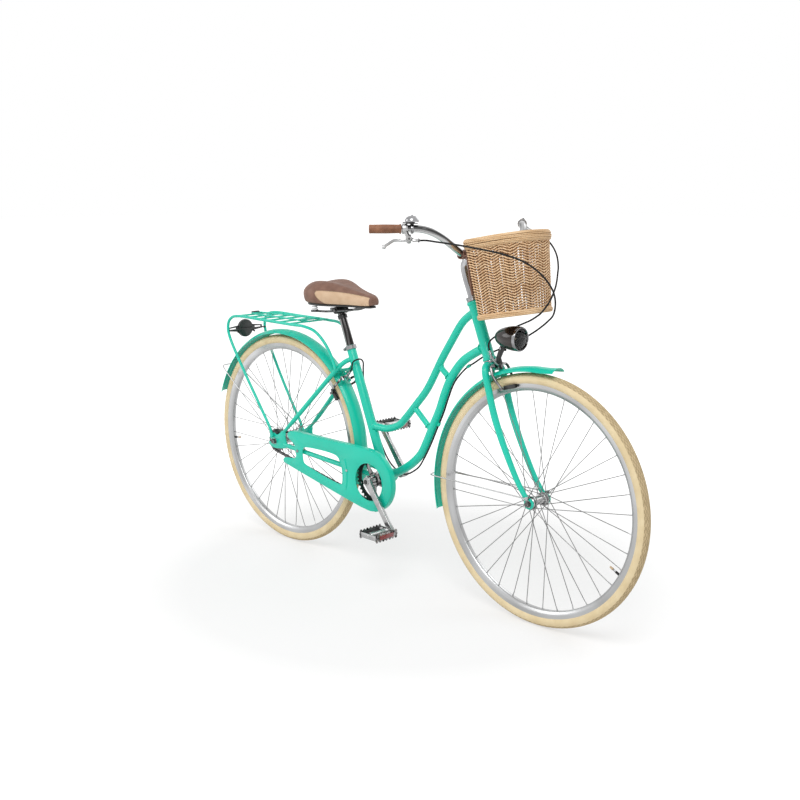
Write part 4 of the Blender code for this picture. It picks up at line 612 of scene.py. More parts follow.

# %% [markdown]
# There are several bright metals. Chrome mirrors the room; its tone is painted in broad
# darker and lighter patches, a painted reflection, and its roughness is smudged. On the
# handlebar the painted reflection is drawn out in lengthwise bands, stored round the tube,
# and the dark chrome carries long painted reflection streaks. The rims are satin aluminium,
# the forged cranks and levers are brighter, and the spokes are zinc plated wire. Dark steel
# is for the chain, the nuts and the saddle's rails.

# %% Metals
# The tone noise paints broad darker and lighter patches into the chrome: a painted reflection.
chrome = new_look("chrome", (0.32, 0.32, 0.33), 0.09, 1.0,
    tones=(9.0, 1.0, (0.36, (0.16, 0.16, 0.165)), (0.64, (0.42, 0.42, 0.43))), sheen=(35.0, 5.0, 0.05, 0.17),
    grain=(900.0, 3.0, 0.00002, 0.15))

bar_chrome_painted_reflection = new_look("bar_chrome_painted_reflection", (0.32, 0.32, 0.33), 0.1, 1.0)
# A painted reflection: the grey follows the height round the tube, light below and on top, with a dark band just above
# the middle where a horizon would show.
reflection_level = node(bar_chrome_painted_reflection, "ShaderNodeAttribute", attribute_name="band")
tint(bar_chrome_painted_reflection, reflection_level.outputs["Fac"],
    [(0.0, grey(0.62)), (0.22, grey(0.52)), (0.44, grey(0.26)), (0.6, grey(0.07)), (0.78, grey(0.06)),
    (0.9, grey(0.3)), (1.0, grey(0.5))])
varied(bar_chrome_painted_reflection, sheen=(35.0, 5.0, 0.06, 0.16))

rim_metal = new_look("satin_rim", (0.36, 0.365, 0.37), 0.3, 1.0,
    tones=(5.0, 2.0, (0.35, grey(0.38)), (0.65, (0.53, 0.535, 0.54))), sheen=(240.0, 2.0, 0.24, 0.38),
    grain=(700.0, 2.0, 0.00003, 0.2))

dark_chrome_painted_reflection = new_look("dark_chrome_painted_reflection", (0.18, 0.17, 0.17), 0.1, 1.0)
# Long streaks along the post, from nearly black to light grey, are painted reflection in the chrome's colour.
where = node(dark_chrome_painted_reflection, "ShaderNodeTexCoord")
along_post = node(dark_chrome_painted_reflection, "ShaderNodeMapping", vector_type="TEXTURE", Rotation=(0.0, -0.33, 0.0),
    Scale=(1.0, 1.0, 18.0))
streaks = node(dark_chrome_painted_reflection, "ShaderNodeTexNoise", Scale=110.0, Detail=1.0)
wire(dark_chrome_painted_reflection, where.outputs["Object"], along_post.inputs["Vector"])
wire(dark_chrome_painted_reflection, along_post.outputs["Vector"], streaks.inputs["Vector"])
tint(dark_chrome_painted_reflection, streaks.outputs["Fac"], [(0.4, (0.035, 0.033, 0.033)), (0.6, (0.36, 0.35, 0.35))])
varied(dark_chrome_painted_reflection, sheen=(60.0, 4.0, 0.07, 0.18), grain=(700.0, 3.0, 0.00002, 0.15))

forged = new_look("forged_alloy", (0.42, 0.42, 0.43), 0.24, 1.0,
    tones=(40.0, 5.0, (0.3, grey(0.34)), (0.7, grey(0.5))), sheen=(90.0, 3.0, 0.18, 0.34),
    grain=(600.0, 3.0, 0.00004, 0.3))

spoke_wire = new_look("zinc_wire", (0.2, 0.2, 0.205), 0.33, 1.0,
    tones=(30.0, 3.0, (0.3, grey(0.19)), (0.7, grey(0.3))), sheen=(120.0, 3.0, 0.26, 0.42))

dark_steel = new_look("oiled_steel", (0.12, 0.12, 0.125), 0.36, 1.0,
    tones=(70.0, 4.0, (0.3, (0.07, 0.068, 0.066)), (0.7, (0.19, 0.19, 0.195))),
    sheen=(160.0, 3.0, 0.28, 0.48), grain=(800.0, 2.0, 0.00005, 0.3))

# %% [markdown]
# The tyres are cream rubber with a darker, dusty tread, whose grooves are painted darker
# still as painted shade. The hoses and blocks are black rubber, and the lamp and the saddle
# base are moulded in black plastic.

# %% Rubber and plastic
cream = new_look("cream_rubber", (0.8, 0.65, 0.4), 0.62, Specular_IOR_Level=0.35,
    tones=(26.0, 5.0, (0.25, (0.72, 0.57, 0.33)), (0.6, (0.82, 0.675, 0.425)), (0.85, (0.86, 0.73, 0.49))),
    grain=(900.0, 3.0, 0.00008, 0.3))

tread = new_look("dusty_tread", (0.62, 0.49, 0.29), 0.82, Specular_IOR_Level=0.2,
    tones=(90.0, 5.0, (0.25, (0.5, 0.385, 0.225)), (0.55, (0.63, 0.5, 0.3)), (0.85, (0.74, 0.6, 0.38))),
    grain=(1100.0, 3.0, 0.00015, 0.5))
# The grooves between the tread blocks are painted darker: painted shade.
painted_groove_shade = new_look("tread_groove_painted_shade", (0.49, 0.38, 0.225), 0.88, Specular_IOR_Level=0.1,
    tones=(90.0, 4.0, (0.3, (0.4, 0.305, 0.175)), (0.7, (0.52, 0.405, 0.24))))

rubber = new_look("black_rubber", (0.012, 0.012, 0.013), 0.72, Specular_IOR_Level=0.25,
    tones=(200.0, 4.0, (0.3, grey(0.008)), (0.7, grey(0.02))), grain=(1200.0, 2.0, 0.00006, 0.4))

plastic = new_look("black_plastic", (0.022, 0.022, 0.024), 0.36,
    tones=(60.0, 3.0, (0.3, grey(0.016)), (0.7, grey(0.032))), sheen=(110.0, 3.0, 0.28, 0.46),
    grain=(1500.0, 2.0, 0.00005, 0.4))

lamp_black = new_look("lamp_gloss", (0.02, 0.014, 0.012), 0.2, Coat_Weight=0.35, Coat_Roughness=0.06,
    Specular_IOR_Level=0.3, tones=(40.0, 3.0, (0.3, (0.008, 0.006, 0.006)), (0.7, (0.03, 0.02, 0.016))),
    sheen=(150.0, 3.0, 0.11, 0.22))

ring_black = new_look("black_anodised", (0.03, 0.03, 0.033), 0.3, 0.6,
    tones=(80.0, 3.0, (0.3, grey(0.02)), (0.7, grey(0.055))), sheen=(200.0, 3.0, 0.24, 0.42))

# %% [markdown]
# Leather needs two scales: cloudy wear over centimetres, and a pebbled grain of about a
# millimetre, which Voronoi cells give. The saddle's side panel is the same leather undyed.

# %% Leather


def leather_look(name, dark, middle, light, grain=700.0):
    look = new_look(name, middle, 0.5, Specular_IOR_Level=0.4)
    where = node(look, "ShaderNodeTexCoord")
    cells = node(look, "ShaderNodeTexVoronoi", Scale=grain, feature="SMOOTH_F1")
    wire(look, where.outputs["Object"], cells.inputs["Vector"])
    tint(look, noise(look, 45.0, 8.0), [(0.3, dark), (0.52, middle), (0.74, light)])
    roughen(look, noise(look, 80.0, 4.0), 0.42, 0.64)
    bump(look, cells.outputs["Distance"], 0.0003, 0.55)
    return look


brown_leather = leather_look("brown_leather", (0.165, 0.083, 0.056), (0.212, 0.111, 0.078),
    (0.262, 0.145, 0.103))
grip_leather = leather_look("grip_leather", (0.17, 0.07, 0.034), (0.27, 0.115, 0.06), (0.36, 0.17, 0.092),
    900.0)
tan_leather = leather_look("tan_leather", (0.62, 0.42, 0.265), (0.67, 0.47, 0.31), (0.72, 0.525, 0.355),
    1000.0)
thread = new_look("waxed_thread", (0.55, 0.4, 0.25), 0.7,
    tones=(600.0, 3.0, (0.3, (0.42, 0.29, 0.17)), (0.7, (0.66, 0.5, 0.33))))

# %% [markdown]
# The cane of the basket changes tone from strand to strand. The strands run level, so
# noise that is packed closely up and down and stretched sideways gives each its own tone.
# Each strand also carries a value on its points that is low where it dives between its
# neighbours, and the colour is painted darker there: painted shade between the strands.

# %% Cane


def cane_look(name, tones, rows):
    look = new_look(name, tones[1], 0.55, Specular_IOR_Level=0.35)
    strand = ramp(look, noise(look, 1.0, 2.0, (9.0, 9.0, rows)),
        [(0.28, tones[0]), (0.5, tones[1]), (0.74, tones[2])])
    # The stored value darkens the cane by multiplying: painted shade where strands dive between their neighbours and
    # behind the weave, and a random tone on the rims.
    depth = node(look, "ShaderNodeAttribute", attribute_name="crest")
    shade = ramp(look, depth.outputs["Fac"],
        [(0.0, (0.35, 0.24, 0.155)), (0.42, (0.56, 0.46, 0.36)), (0.7, (0.88, 0.85, 0.81)), (1.0, grey(1.0))])
    darker = node(look, "ShaderNodeMix", data_type="RGBA", blend_type="MULTIPLY")
    darker.inputs["Factor"].default_value = 1.0
    wire(look, strand, darker.inputs[6])
    wire(look, shade, darker.inputs[7])
    wire(look, darker.outputs[2], shader_of(look).inputs["Base Color"])
    roughen(look, noise(look, 120.0, 3.0), 0.45, 0.7)
    bump(look, noise(look, 1.0, 4.0, (120.0, 120.0, 2600.0)), 0.00025, 0.6)
    return look


cane = cane_look("woven_cane", ((0.68, 0.43, 0.24), (0.82, 0.57, 0.34), (0.92, 0.7, 0.46)), 190.0)
rim_cane = cane_look("rim_cane", ((0.6, 0.385, 0.2), (0.76, 0.525, 0.3), (0.86, 0.65, 0.42)), 260.0)

# %% [markdown]
# Glass and the rear reflector finish the list. The reflector gets its sparkle from small
# prisms in the bump, and each prism is also painted darker towards its middle as painted facet shade.

# %% Glass and reflectors
lens_glass = new_look("lens_glass", (0.42, 0.43, 0.44), 0.03, Transmission_Weight=1.0, IOR=1.25,
    Specular_IOR_Level=0.3, sheen=(120.0, 3.0, 0.02, 0.06))


def reflector_look(name, colour):
    look = new_look(name, colour, 0.12, Coat_Weight=0.8, Coat_Roughness=0.05)
    where = node(look, "ShaderNodeTexCoord")
    prisms = node(look, "ShaderNodeTexVoronoi", Scale=420.0, distance="CHEBYCHEV")
    wire(look, where.outputs["Object"], prisms.inputs["Vector"])
    # Each prism cell is painted darker towards its middle: painted shade of its facets.
    tint(look, prisms.outputs["Distance"], [(0.0, tuple(0.45 * c for c in colour)), (0.8, colour)])
    bump(look, prisms.outputs["Distance"], 0.0004, 0.8)
    return look


red_prism = reflector_look("red_prism", (0.3, 0.012, 0.014))

# %% [markdown]
# The wheels. A 28 inch tyre is a ring with a smooth cream side and a knurled tread. The
# ring is a torus primitive, and every second block of its outer band is pulled out a
# little, so that the tread's edge is stepped as the real one is.

# %% Wheel sizes
AXLE_X, AXLE_Z = 0.5244, 0.35
FRONT_AXLE = Vector((AXLE_X, 0.0, AXLE_Z))
REAR_AXLE = Vector((-AXLE_X, 0.0, AXLE_Z))
TYRE_HALF_WIDTH = 0.0166
TYRE_CENTRE_RADIUS = AXLE_Z - 0.0169
TREAD_HALF_ANGLE = radians(58)


def wheel_place(centre):
    return frame_at(centre, LEFT, FORWARD)


# %% Tyres


def tyre(name, centre, body, node_name):
    rest()
    around, section = 480, 32
    bpy.ops.mesh.primitive_torus_add(major_segments=around, minor_segments=section,
        major_radius=TYRE_CENTRE_RADIUS, minor_radius=TYRE_HALF_WIDTH, location=centre,
        rotation=(pi / 2, 0, 0))
    ring = settled()
    ring.data.materials.append(cream)
    ring.data.materials.append(tread)
    ring.data.materials.append(painted_groove_shade)
    for index, face in enumerate(ring.data.polygons):
        offset = face.center - centre
        out = hypot(offset.x, offset.z) - TYRE_CENTRE_RADIUS
        angle = abs(atan2(offset.y, out))
        column, row = divmod(index, section)
        block_here = angle < TREAD_HALF_ANGLE and (column + row) % 2 == 0
        # Tread faces between the raised blocks take the groove finish, painted darker as painted shade.
        face.material_index = (1 if block_here else 2) if angle < TREAD_HALF_ANGLE else 0
        face.select = block_here
    bpy.context.tool_settings.mesh_select_mode = (False, False, True)
    bpy.ops.object.mode_set(mode="EDIT")
    bpy.ops.mesh.inset(thickness=0.0004, depth=0.0005, use_individual=True)
    bpy.context.tool_settings.mesh_select_mode = (True, False, False)
    rest()
    return done(ring, name, body, node_name, 50)


tyre("front_tyre_rubber", FRONT_AXLE, "front_wheel", "front_tyre")
tyre("rear_tyre_rubber", REAR_AXLE, "rear_wheel", "rear_tyre")

# %% [markdown]
# The rim is a rolled box section with a hooked edge on each side. Its profile is drawn
# once, eased, and spun about the axle. Each spoke enters it through a nipple, and the
# valve stands on its inner face.

# %% Rims, nipples and valves
RIM_SECTION = mm((323.6, 11.2), (324, 11.8), (323.6, 12.5), (321.5, 12.7), (319.5, 12.4), (313.5, 12.4),
    (311, 11.7), (304, 7.5), (302.4, 5.6), (301.8, 3), (301.6, 0))
RIM_SECTION += [(r, -h) for r, h in reversed(RIM_SECTION[:-1])]
RIM_SECTION += mm((317.5, -11.2), (317, -10), (317, 10), (317.5, 11.2))
SPOKES, SPOKE_RADIUS = 36, 0.00112
NIPPLE_FOOT, NIPPLE_TIP = 0.3022, 0.29


def spoke_angle(k):
    return 2 * pi * (k + 0.5) / SPOKES


def valve(centre, tip):
    """A black base, a bright threaded stem and a tan dust cap, along a line to the hub."""
    inward = (centre - tip).normalized()
    foot = centre - inward * NIPPLE_FOOT
    base = rod(foot, foot + inward * 0.0125, 0.0034, 16)
    stem = rod(foot + inward * 0.011, foot + inward * 0.0235, 0.0026, 14)
    cap = rod(foot + inward * 0.0215, foot + inward * 0.0325, 0.0034, 12, 0.0028)
    parts = [dressed(base, rubber), dressed(stem, chrome), dressed(cap, thread)]
    return joined(*[eased(part, 0.0005) for part in parts])


def rim(name, centre, body, node_name, valve_tip):
    hoop = dressed(spun(RIM_SECTION, wheel_place(centre), 144), rim_metal)
    parts = [hoop]
    for k in range(SPOKES):
        side = (1 if k % 2 else -1) * 0.0018
        nipple = rod(polar(centre, NIPPLE_FOOT, spoke_angle(k), side * 0.6),
            polar(centre, NIPPLE_TIP, spoke_angle(k), side * 1.8), 0.0019, 8, 0.0014)
        parts.append(dressed(nipple, forged))
    parts.append(valve(centre, Vector(valve_tip)))
    return done(parts, name, body, node_name, 42)


rim("front_rim_silver", FRONT_AXLE, "front_wheel", "front_rim", (0.7785, 0.0, 0.2171))
rim("rear_rim_silver", REAR_AXLE, "rear_wheel", "rear_rim", (-0.7963, 0.0, 0.308))

# %% [markdown]
# Thirty-six spokes cross on their way from the hub flange to the rim: half of them lean
# forward and half lean back, so that the wheel can take a turning force both ways. Each
# spoke has a bent head in a flange hole and a straight two millimetre wire.

# %% Hubs and spokes


def hub(name, centre, body, node_name, flange_radius, flange_y, half_length, barrel):
    edge = 0.0017
    right = [(0.0056, half_length), (0.009, half_length), (0.0096, half_length - 0.0008),
        (0.0098, flange_y + 0.005), (0.014, flange_y + 0.003), (0.0145, flange_y + edge),
        (flange_radius - 0.0006, flange_y + edge), (flange_radius, flange_y + edge - 0.0006),
        (flange_radius, flange_y - edge + 0.0006), (flange_radius - 0.0006, flange_y - edge),
        (barrel + 0.003, flange_y - edge), (barrel + 0.0008, flange_y - edge - 0.0018),
        (barrel, flange_y - edge - 0.005), (barrel * 0.93, flange_y * 0.35)]
    profile = right + [(radius, -height) for radius, height in reversed(right)]
    shell = dressed(spun(profile, wheel_place(centre), 64), forged)
    wires, heads = [], []
    lead = radians(60)
    for k in range(SPOKES):
        side = 1 if k % 2 else -1
        way = 1 if (k // 2) % 2 else -1
        hole = spoke_angle(k) + way * lead
        outside = flange_y + way * (edge + 0.0012)
        head = polar(centre, flange_radius - 0.003, hole, side * outside)
        end = polar(centre, NIPPLE_TIP + 0.002, spoke_angle(k), side * 0.0032)
        back = polar(centre, flange_radius - 0.003, hole, side * (flange_y - way * (edge + 0.0006)))
        wires.append([back, head, head.lerp(end, 0.012), head.lerp(end, 0.5), end])
        heads.append(dressed(rod(back, back - (head - back).normalized() * 0.0012, 0.0021, 8, 0.0012),
            spoke_wire))
    spokes = dressed(pipe(wires, SPOKE_RADIUS, 8), spoke_wire)
    return done(joined(shell, spokes, *heads), name, body, node_name, 45)


hub("front_hub_and_spokes", FRONT_AXLE, "front_wheel", "front_hub", 0.019, 0.0265, 0.034, 0.0105)
hub("rear_hub_and_spokes", REAR_AXLE, "rear_wheel", "rear_hub", 0.0225, 0.027, 0.0425, 0.0165)

# %% [markdown]
# The axles are small machined pieces whose shape the CAD already has. A merged copy with
# eased edges takes the dark steel finish, and a domed cap covers each nut.

# %% Axles


def axle(name, centre, body, node_name, cap_from, cap_to):
    parts = [dressed(cad_copy(node_name, 0.0004), dark_steel)]
    for side in (-1, 1):
        washer = spun(mm((5.2, 0), (9.8, 0), (10, 0.6), (9.8, 1.2), (5.2, 1.2)),
            frame_at(centre + side * cap_from * LEFT, side * LEFT, FORWARD), 32)
        dome = spun(mm((0, 0), (5.8, 0), (6, 2), (4.8, 4.2), (0, 5.2)),
            frame_at(centre + side * cap_to * LEFT, side * LEFT, FORWARD), 24, True)
        parts += [dressed(washer, forged), dressed(dome, chrome)]
    return done(parts, name, body, node_name, 40)


axle("front_axle_nuts", FRONT_AXLE, "steering", "front_axle", 0.0396, 0.047)
axle("rear_axle_nuts", REAR_AXLE, "frame", "rear_axle", 0.0606, 0.068)

# %% [markdown]
# The frame has two swan-neck tubes that sweep down together from the head tube, tied by
# two short struts. Each is one pipe along a smooth route, and at every joint a small
# flared ring stands for the brazing.

# %% Frame tubes
LEAN = 0.4
LEAN_DIRECTION = Vector((-LEAN, 0.0, 1.0)).normalized()
UPPER_ROUTE = mm((302, 0, 852.5), (285, 0, 840), (250, 0, 813), (205, 0, 750), (172, 0, 700), (114, 0, 603),
    (68.5, 0, 550), (22.5, 0, 500), (0, 0, 479), (-50, 0, 459), (-100, 0, 457), (-118, 0, 456.5))
LOWER_ROUTE = mm((334.5, 0, 750.5), (290, 0, 727), (250, 0, 700), (209, 0, 650), (184, 0, 600),
    (164.5, 0, 550), (140, 0, 500), (116, 0, 450), (90, 0, 404), (50, 0, 366), (0, 0, 334), (-40, 0, 314))


def on_steering(height):
    return Vector((0.3155 - LEAN * (height - 0.8), 0.0, height))


def on_seat_tube(height):
    return Vector((-0.1965 - LEAN * (height - 0.65), 0.0, height))


def braze(at, direction, radius, flare=0.0032, length=0.007):
    """A flared ring where a tube of this radius meets another."""
    profile = [(radius - 0.001, 0.0), (radius + flare, 0.0), (radius + 0.45 * flare, 0.35 * length),
        (radius + 0.12 * flare, 0.7 * length), (radius - 0.0004, length), (radius - 0.001, length)]
    return spun(profile, frame_at(at, direction, LEFT), 40)


def strut(start, end):
    start, end = Vector(start), Vector(end)
    along = (end - start).normalized()
    return [rod(start, end, 0.0085, 32), braze(start + along * 0.0085, along, 0.0085),
        braze(end - along * 0.0095, -along, 0.0085)]


upper = [pipe(smooth_route(UPPER_ROUTE, 0.01), 0.0112, 32),
    braze(Vector((0.293, 0, 0.8462)), (-0.76, 0, -0.65), 0.0112),
    braze(Vector((-0.1058, 0, 0.4569)), (1, 0, 0.01), 0.0112)]
upper += strut((0.16, 0, 0.679), (0.203, 0, 0.645)) + strut((0.058, 0, 0.546), (0.126, 0, 0.488))
done(upper, "upper_swan_tube", "frame", "upper_tube", 45, enamel)

lower = [pipe(smooth_route(LOWER_ROUTE, 0.01), 0.0127, 36),
    braze(Vector((0.3205, 0, 0.7443)), (-0.87, 0, -0.49), 0.0127),
    braze(Vector((-0.043, 0, 0.3128)), (0.89, 0, 0.45), 0.0127)]
done(lower, "lower_swan_tube", "frame", "lower_tube", 45, enamel)

# %% [markdown]
# The head tube carries a pressed bearing cup at each end. The seat tube is slotted and
# clamped at its top, and the bracket shell lies across the foot of both.

# %% Head tube, seat tube and bracket shell


def steering_place(height):
    return frame_at(on_steering(height), LEAN_DIRECTION)


def along_lean(low, high):
    return (high - low) / LEAN_DIRECTION.z


HEAD_LENGTH = along_lean(0.715, 0.872)
head_half = mm((16.5, 0), (16.5, 74), (17.2, 75.8), (18.9, 77), (19.1, 78), (19.1, 82.8), (18.6, 84.2),
    (14.2, 84.5))
scale_up = HEAD_LENGTH / 2 / 0.0845
head_profile = [(r, h * scale_up) for r, h in head_half]
head_profile = [(r, -h) for r, h in reversed(head_profile[1:])] + head_profile
done(spun(head_profile, steering_place(0.7935), 64), "head_tube_painted", "frame", "head_tube", 35, enamel)

SEAT_TOP = along_lean(0.306, 0.697)
seat_profile = [(0.0, 0.0), (0.0143, 0.0), (0.0143, SEAT_TOP - 0.001), (0.014, SEAT_TOP), (0.0133, SEAT_TOP),
    (0.013, SEAT_TOP - 0.001), (0.013, SEAT_TOP - 0.06), (0.0, SEAT_TOP - 0.06)]
seat_place = frame_at(on_seat_tube(0.306), LEAN_DIRECTION)
tube_body = dressed(spun(seat_profile, seat_place, 48, True), enamel)
back = seat_place.to_3x3().col[0]
clamp_at = on_seat_tube(0.6905) - 0.0195 * back
clamp = [dressed(rod(*across(clamp_at, -0.0115, 0.0115), 0.003, 16), chrome),
    stud(*across(clamp_at, 0.0085, 0.0125), 0.005, 6, chrome),
    stud(*across(clamp_at, -0.0085, -0.0125), 0.0046, 20, chrome, 0.0006)]
for side in (-1, 1):
    clamp.append(dressed(block(clamp_at + side * 0.004 * LEFT + 0.0018 * back, (0.0085, 0.0042, 0.0115),
        frame_at((0, 0, 0), LEAN_DIRECTION), 0.0012), chrome))
collar = spun(mm((14.5, -6.2), (17.4, -6.2), (18, -5.4), (18, 5.4), (17.4, 6.2), (14.5, 6.2)),
    frame_at(on_seat_tube(0.6905), LEAN_DIRECTION), 48)
clamp.append(dressed(collar, chrome))
done(joined(tube_body, *clamp), "seat_tube_painted", "frame", "seat_tube", 35)

BRACKET = Vector((-0.058, 0.0, 0.306))
shell_half = mm((20.2, 0), (20.2, 30), (19.8, 30.6), (18.6, 31), (18.6, 33.2), (18, 34), (10.5, 34))
shell_profile = [(r, -h) for r, h in reversed(shell_half[1:])] + shell_half
done(spun(shell_profile, wheel_place(BRACKET), 64), "bracket_shell_painted", "frame", "bottom_bracket_shell",
    35, enamel)

# %% [markdown]
# The stays run back to flat fork ends that hold the rear axle. Each stay is a pipe whose
# radius shrinks towards its tip, and the fork end is an outline with the axle's slot.

# %% Stays and fork ends
DROPOUT_Y = 0.058


def dropout_outline():
    x, z, slot = REAR_AXLE.x, REAR_AXLE.z, 0.0052
    seat_of_axle = arc((x, z), slot, pi / 2, -pi / 2, 13)
    front_side = smooth_route([(a, 0, b) for a,
        b in mm((-553, 334), (-540, 328.5), (-527, 326.5), (-495, 329.5), (-466, 337), (-466.5, 352),
        (-472.5, 370), (-471, 386), (-484, 392), (-499, 380.5), (-516, 373), (-533, 377.5), (-541.5, 371.5),
        (-542, 362))], 0.004)
    return ([(-0.556, z - slot)] + [(p.x, p.z) for p in front_side] + [(-0.556, z + slot)] + seat_of_axle)


def chain_stay(side):
    route = mm((-66, 24, 308.6), (-110, 31.5, 313), (-165, 37.5, 318), (-260, 45.5, 326), (-380, 53, 336.5),
        (-476, 57.8, 344.5))
    points = smooth_route(sided(route, side), 0.012)
    body = pipe(points, 0.0085, 24, taper=lambda part: 1.0 - 0.15 * part)
    tip = plate(dropout_outline(), side_plane(side * DROPOUT_Y), 0.005, (), 0.0007)
    return [body, tip]


def seat_stay(side):
    route = mm((-480, 58, 386.5), (-420, 53.5, 444), (-350, 46.2, 514.5), (-290, 38.5, 575.5),
        (-250.5, 33.3, 615), (-228, 28.5, 637.5), (-213, 21.5, 650), (-206, 10.5, 655))
    points = smooth_route(sided(route, side), 0.01)
    return pipe(points, 0.0075, 24, taper=lambda part: 0.62 + 0.38 * min(1.0, part / 0.16))


for side, tag in SIDES:
    pieces = chain_stay(side)
    if side < 0:
        pieces.append(rod((-0.1512, -0.036, 0.318), (-0.1512, 0.0273, 0.318), 0.0055, 24))
    done(pieces, tag + "_chain_stay_painted", "frame", tag + "_chain_stay", 45, enamel)
    done(seat_stay(side), tag + "_seat_stay_painted", "frame", tag + "_seat_stay", 45, enamel)

# %% [markdown]
# The mudguards are rolled steel strips with a shallow channel section and a beaded edge.
# The section is drawn as a closed outline, so the spin gives the strip its wall at once.
# The front one flares a little at its tip.

# %% Mudguards
GUARD_RADIUS, GUARD_HALF, GUARD_DROP = 0.3675, 0.0255, 0.0115


def guard_section():
    spread, wall, outer, inner = radians(62), 0.0007, [], []
    for k in range(17):
        a = spread * (1 - 2 * k / 16)
        drop = GUARD_DROP * (1 - cos(a)) / (1 - cos(spread))
        y = GUARD_HALF * sin(a) / sin(spread)
        outer.append((GUARD_RADIUS - drop + wall, y * 1.02))
        inner.append((GUARD_RADIUS - drop - wall, y * 0.98))
    return outer + inner[::-1]


def mudguard(centre, start_angle, end_angle, steps, flare=0.0):
    place = wheel_place(centre) @ Matrix.Rotation(pi / 2 - start_angle, 4, "Z")
    section = loop([place @ Vector((radius, 0.0, height)) for radius, height in guard_section()])
    edit(section)
    bpy.ops.mesh.edge_face_add()
    bpy.ops.mesh.spin(steps=steps, angle=end_angle - start_angle, center=centre, axis=place.to_3x3().col[2])
    rest()
    strip = closed_up(section)
    edges = []
    for side in (-1, 1):
        bead = [polar(centre, GUARD_RADIUS - GUARD_DROP + 0.0002,
            start_angle + (end_angle - start_angle) * k / steps, side * GUARD_HALF) for k in range(steps + 1)]
        edges.append(bead)
    strip = joined(strip, pipe(edges, 0.0013, 10))
    for vertex in strip.data.vertices:
        angle = atan2(vertex.co.z - centre.z, vertex.co.x - centre.x)
        near_tip = min(1.0, max(0.0, 1.0 - (angle - start_angle) / radians(9)))
        if flare and angle > start_angle - 0.1:
            out = Vector((cos(angle), 0.0, sin(angle)))
            vertex.co += out * flare * near_tip ** 2
    return strip


def guard_tab(start, end, direction):
    """The tab that the strip hangs from, with the head of its bolt inside the strip."""
    start, end = Vector(start), Vector(end)
    return [dressed(rod(start, end, 0.005, 20), enamel),
        dressed(spun(mm((0, 0), (6, 0), (5.2, 2.4), (0, 3.2)), frame_at(start, direction, LEFT), 20, True),
        chrome)]


BRIDGE_CENTRE = Vector((-0.2505, 0.0, 0.615))
to_bridge = (BRIDGE_CENTRE - REAR_AXLE).normalized()
rear_strip = dressed(mudguard(REAR_AXLE, radians(-14), radians(161), 110), enamel)
rear_strip = joined(rear_strip, *guard_tab(REAR_AXLE + to_bridge * 0.3668, REAR_AXLE + to_bridge * 0.3753,
    -to_bridge))
done(rear_strip, "rear_mudguard_painted", "frame", "rear_mudguard", 50)

front_strip = dressed(mudguard(FRONT_AXLE, radians(81), radians(194.5), 80, 0.008), enamel)
front_strip = joined(front_strip, *guard_tab(on_steering(0.6797), on_steering(0.6868), -LEAN_DIRECTION))
done(front_strip, "front_mudguard_painted", "steering", "front_mudguard", 50)

# %% [markdown]
# Bright wire stays hold the tail of each mudguard to the axle. One wire runs from the
# right side round the back of the strip to the left side, with a short round eye at each foot.

# %% Mudguard stays


def rounded(route, radius, count):
    """A bent wire: straight runs with short curves at the corners."""
    points = [route[0]]
    for before, corner, after in zip(route, route[1:], route[2:]):
        a = corner + (before - corner).normalized() * radius
        b = corner + (after - corner).normalized() * radius
        points += [(1 - t) ** 2 * a + 2 * t * (1 - t) * corner + t ** 2 * b
            for t in [k / count for k in range(count + 1)]]
    points.append(route[-1])
    return points


def stay_wire(foot, edge, tip):
    half = [Vector(foot), Vector(edge), Vector(tip)]
    route = rounded(half + [mirrored(p) for p in reversed(half)], 0.012, 8)
    parts = [pipe(route, 0.0019, 12)]
    for side in (-1, 1):
        at = Vector((foot[0], side * abs(foot[1]), foot[2]))
        parts.append(eased(rod(*across(at, -0.0026, 0.0026), 0.005, 20), 0.0005))
    return joined(*parts)


done(stay_wire((0.5235, -0.048, 0.366), (0.164, -0.033, 0.36), (0.1455, -0.02, 0.358)),
    "front_mudguard_wire", "steering", "front_mudguard_stay", 45, rim_metal)
done(stay_wire((-0.544, -0.0632, 0.378), (-0.835, -0.033, 0.556), (-0.85, -0.023, 0.564)),
    "rear_mudguard_wire", "frame", "rear_mudguard_stay", 45, rim_metal)

# %% [markdown]
# The carrier is bent from enamelled wire: two side hoops that stand on the axle and on
# the seat stays, six cross wires, and one bar down the middle.

# %% Carrier
RAIL_HALF_WIDTH, RACK_HEIGHT = 0.079, 0.7545


def carrier_side(side):
    route = [*mm((-237, 44.3, 626), (-248, 44.8, 652), (-275, 51, 700), (-310, 62, 737), (-350, 73, 750.5)),
        (-0.4, RAIL_HALF_WIDTH, 0.752), (-0.55, RAIL_HALF_WIDTH, 0.754), (-0.68, RAIL_HALF_WIDTH, 0.755),
        *mm((-713, 79, 749), (-733, 78.8, 734), (-740, 78.5, 710), (-733, 77.5, 680), (-660, 71, 560),
        (-590, 67, 460), (-538, 65.7, 386), (-534, 65.7, 372))]
    return smooth_route(sided(route, side), 0.009)


rack = [pipe([carrier_side(-1), carrier_side(1)], 0.0048, 18)]
for x in (-0.41, -0.468, -0.525, -0.58, -0.635, -0.69):
    rack.append(rod((x, -RAIL_HALF_WIDTH, RACK_HEIGHT), (x, RAIL_HALF_WIDTH, RACK_HEIGHT), 0.003, 16))
rack.append(rod((-0.408, 0, RACK_HEIGHT - 0.0005), (-0.694, 0, RACK_HEIGHT + 0.0005), 0.003, 16))
for side in (-1, 1):
    foot = Vector((-0.5335, side * 0.0657, 0.37))
    rack.append(eased(rod(*across(foot, -0.003, 0.003), 0.0075, 24), 0.0006))
brace = rod((-0.735, -0.0775, 0.701), (-0.735, 0.0775, 0.701), 0.0024, 16)
done(joined(dressed(joined(*rack), enamel), dressed(brace, plastic)), "carrier_painted", "frame", "carrier",
    45)

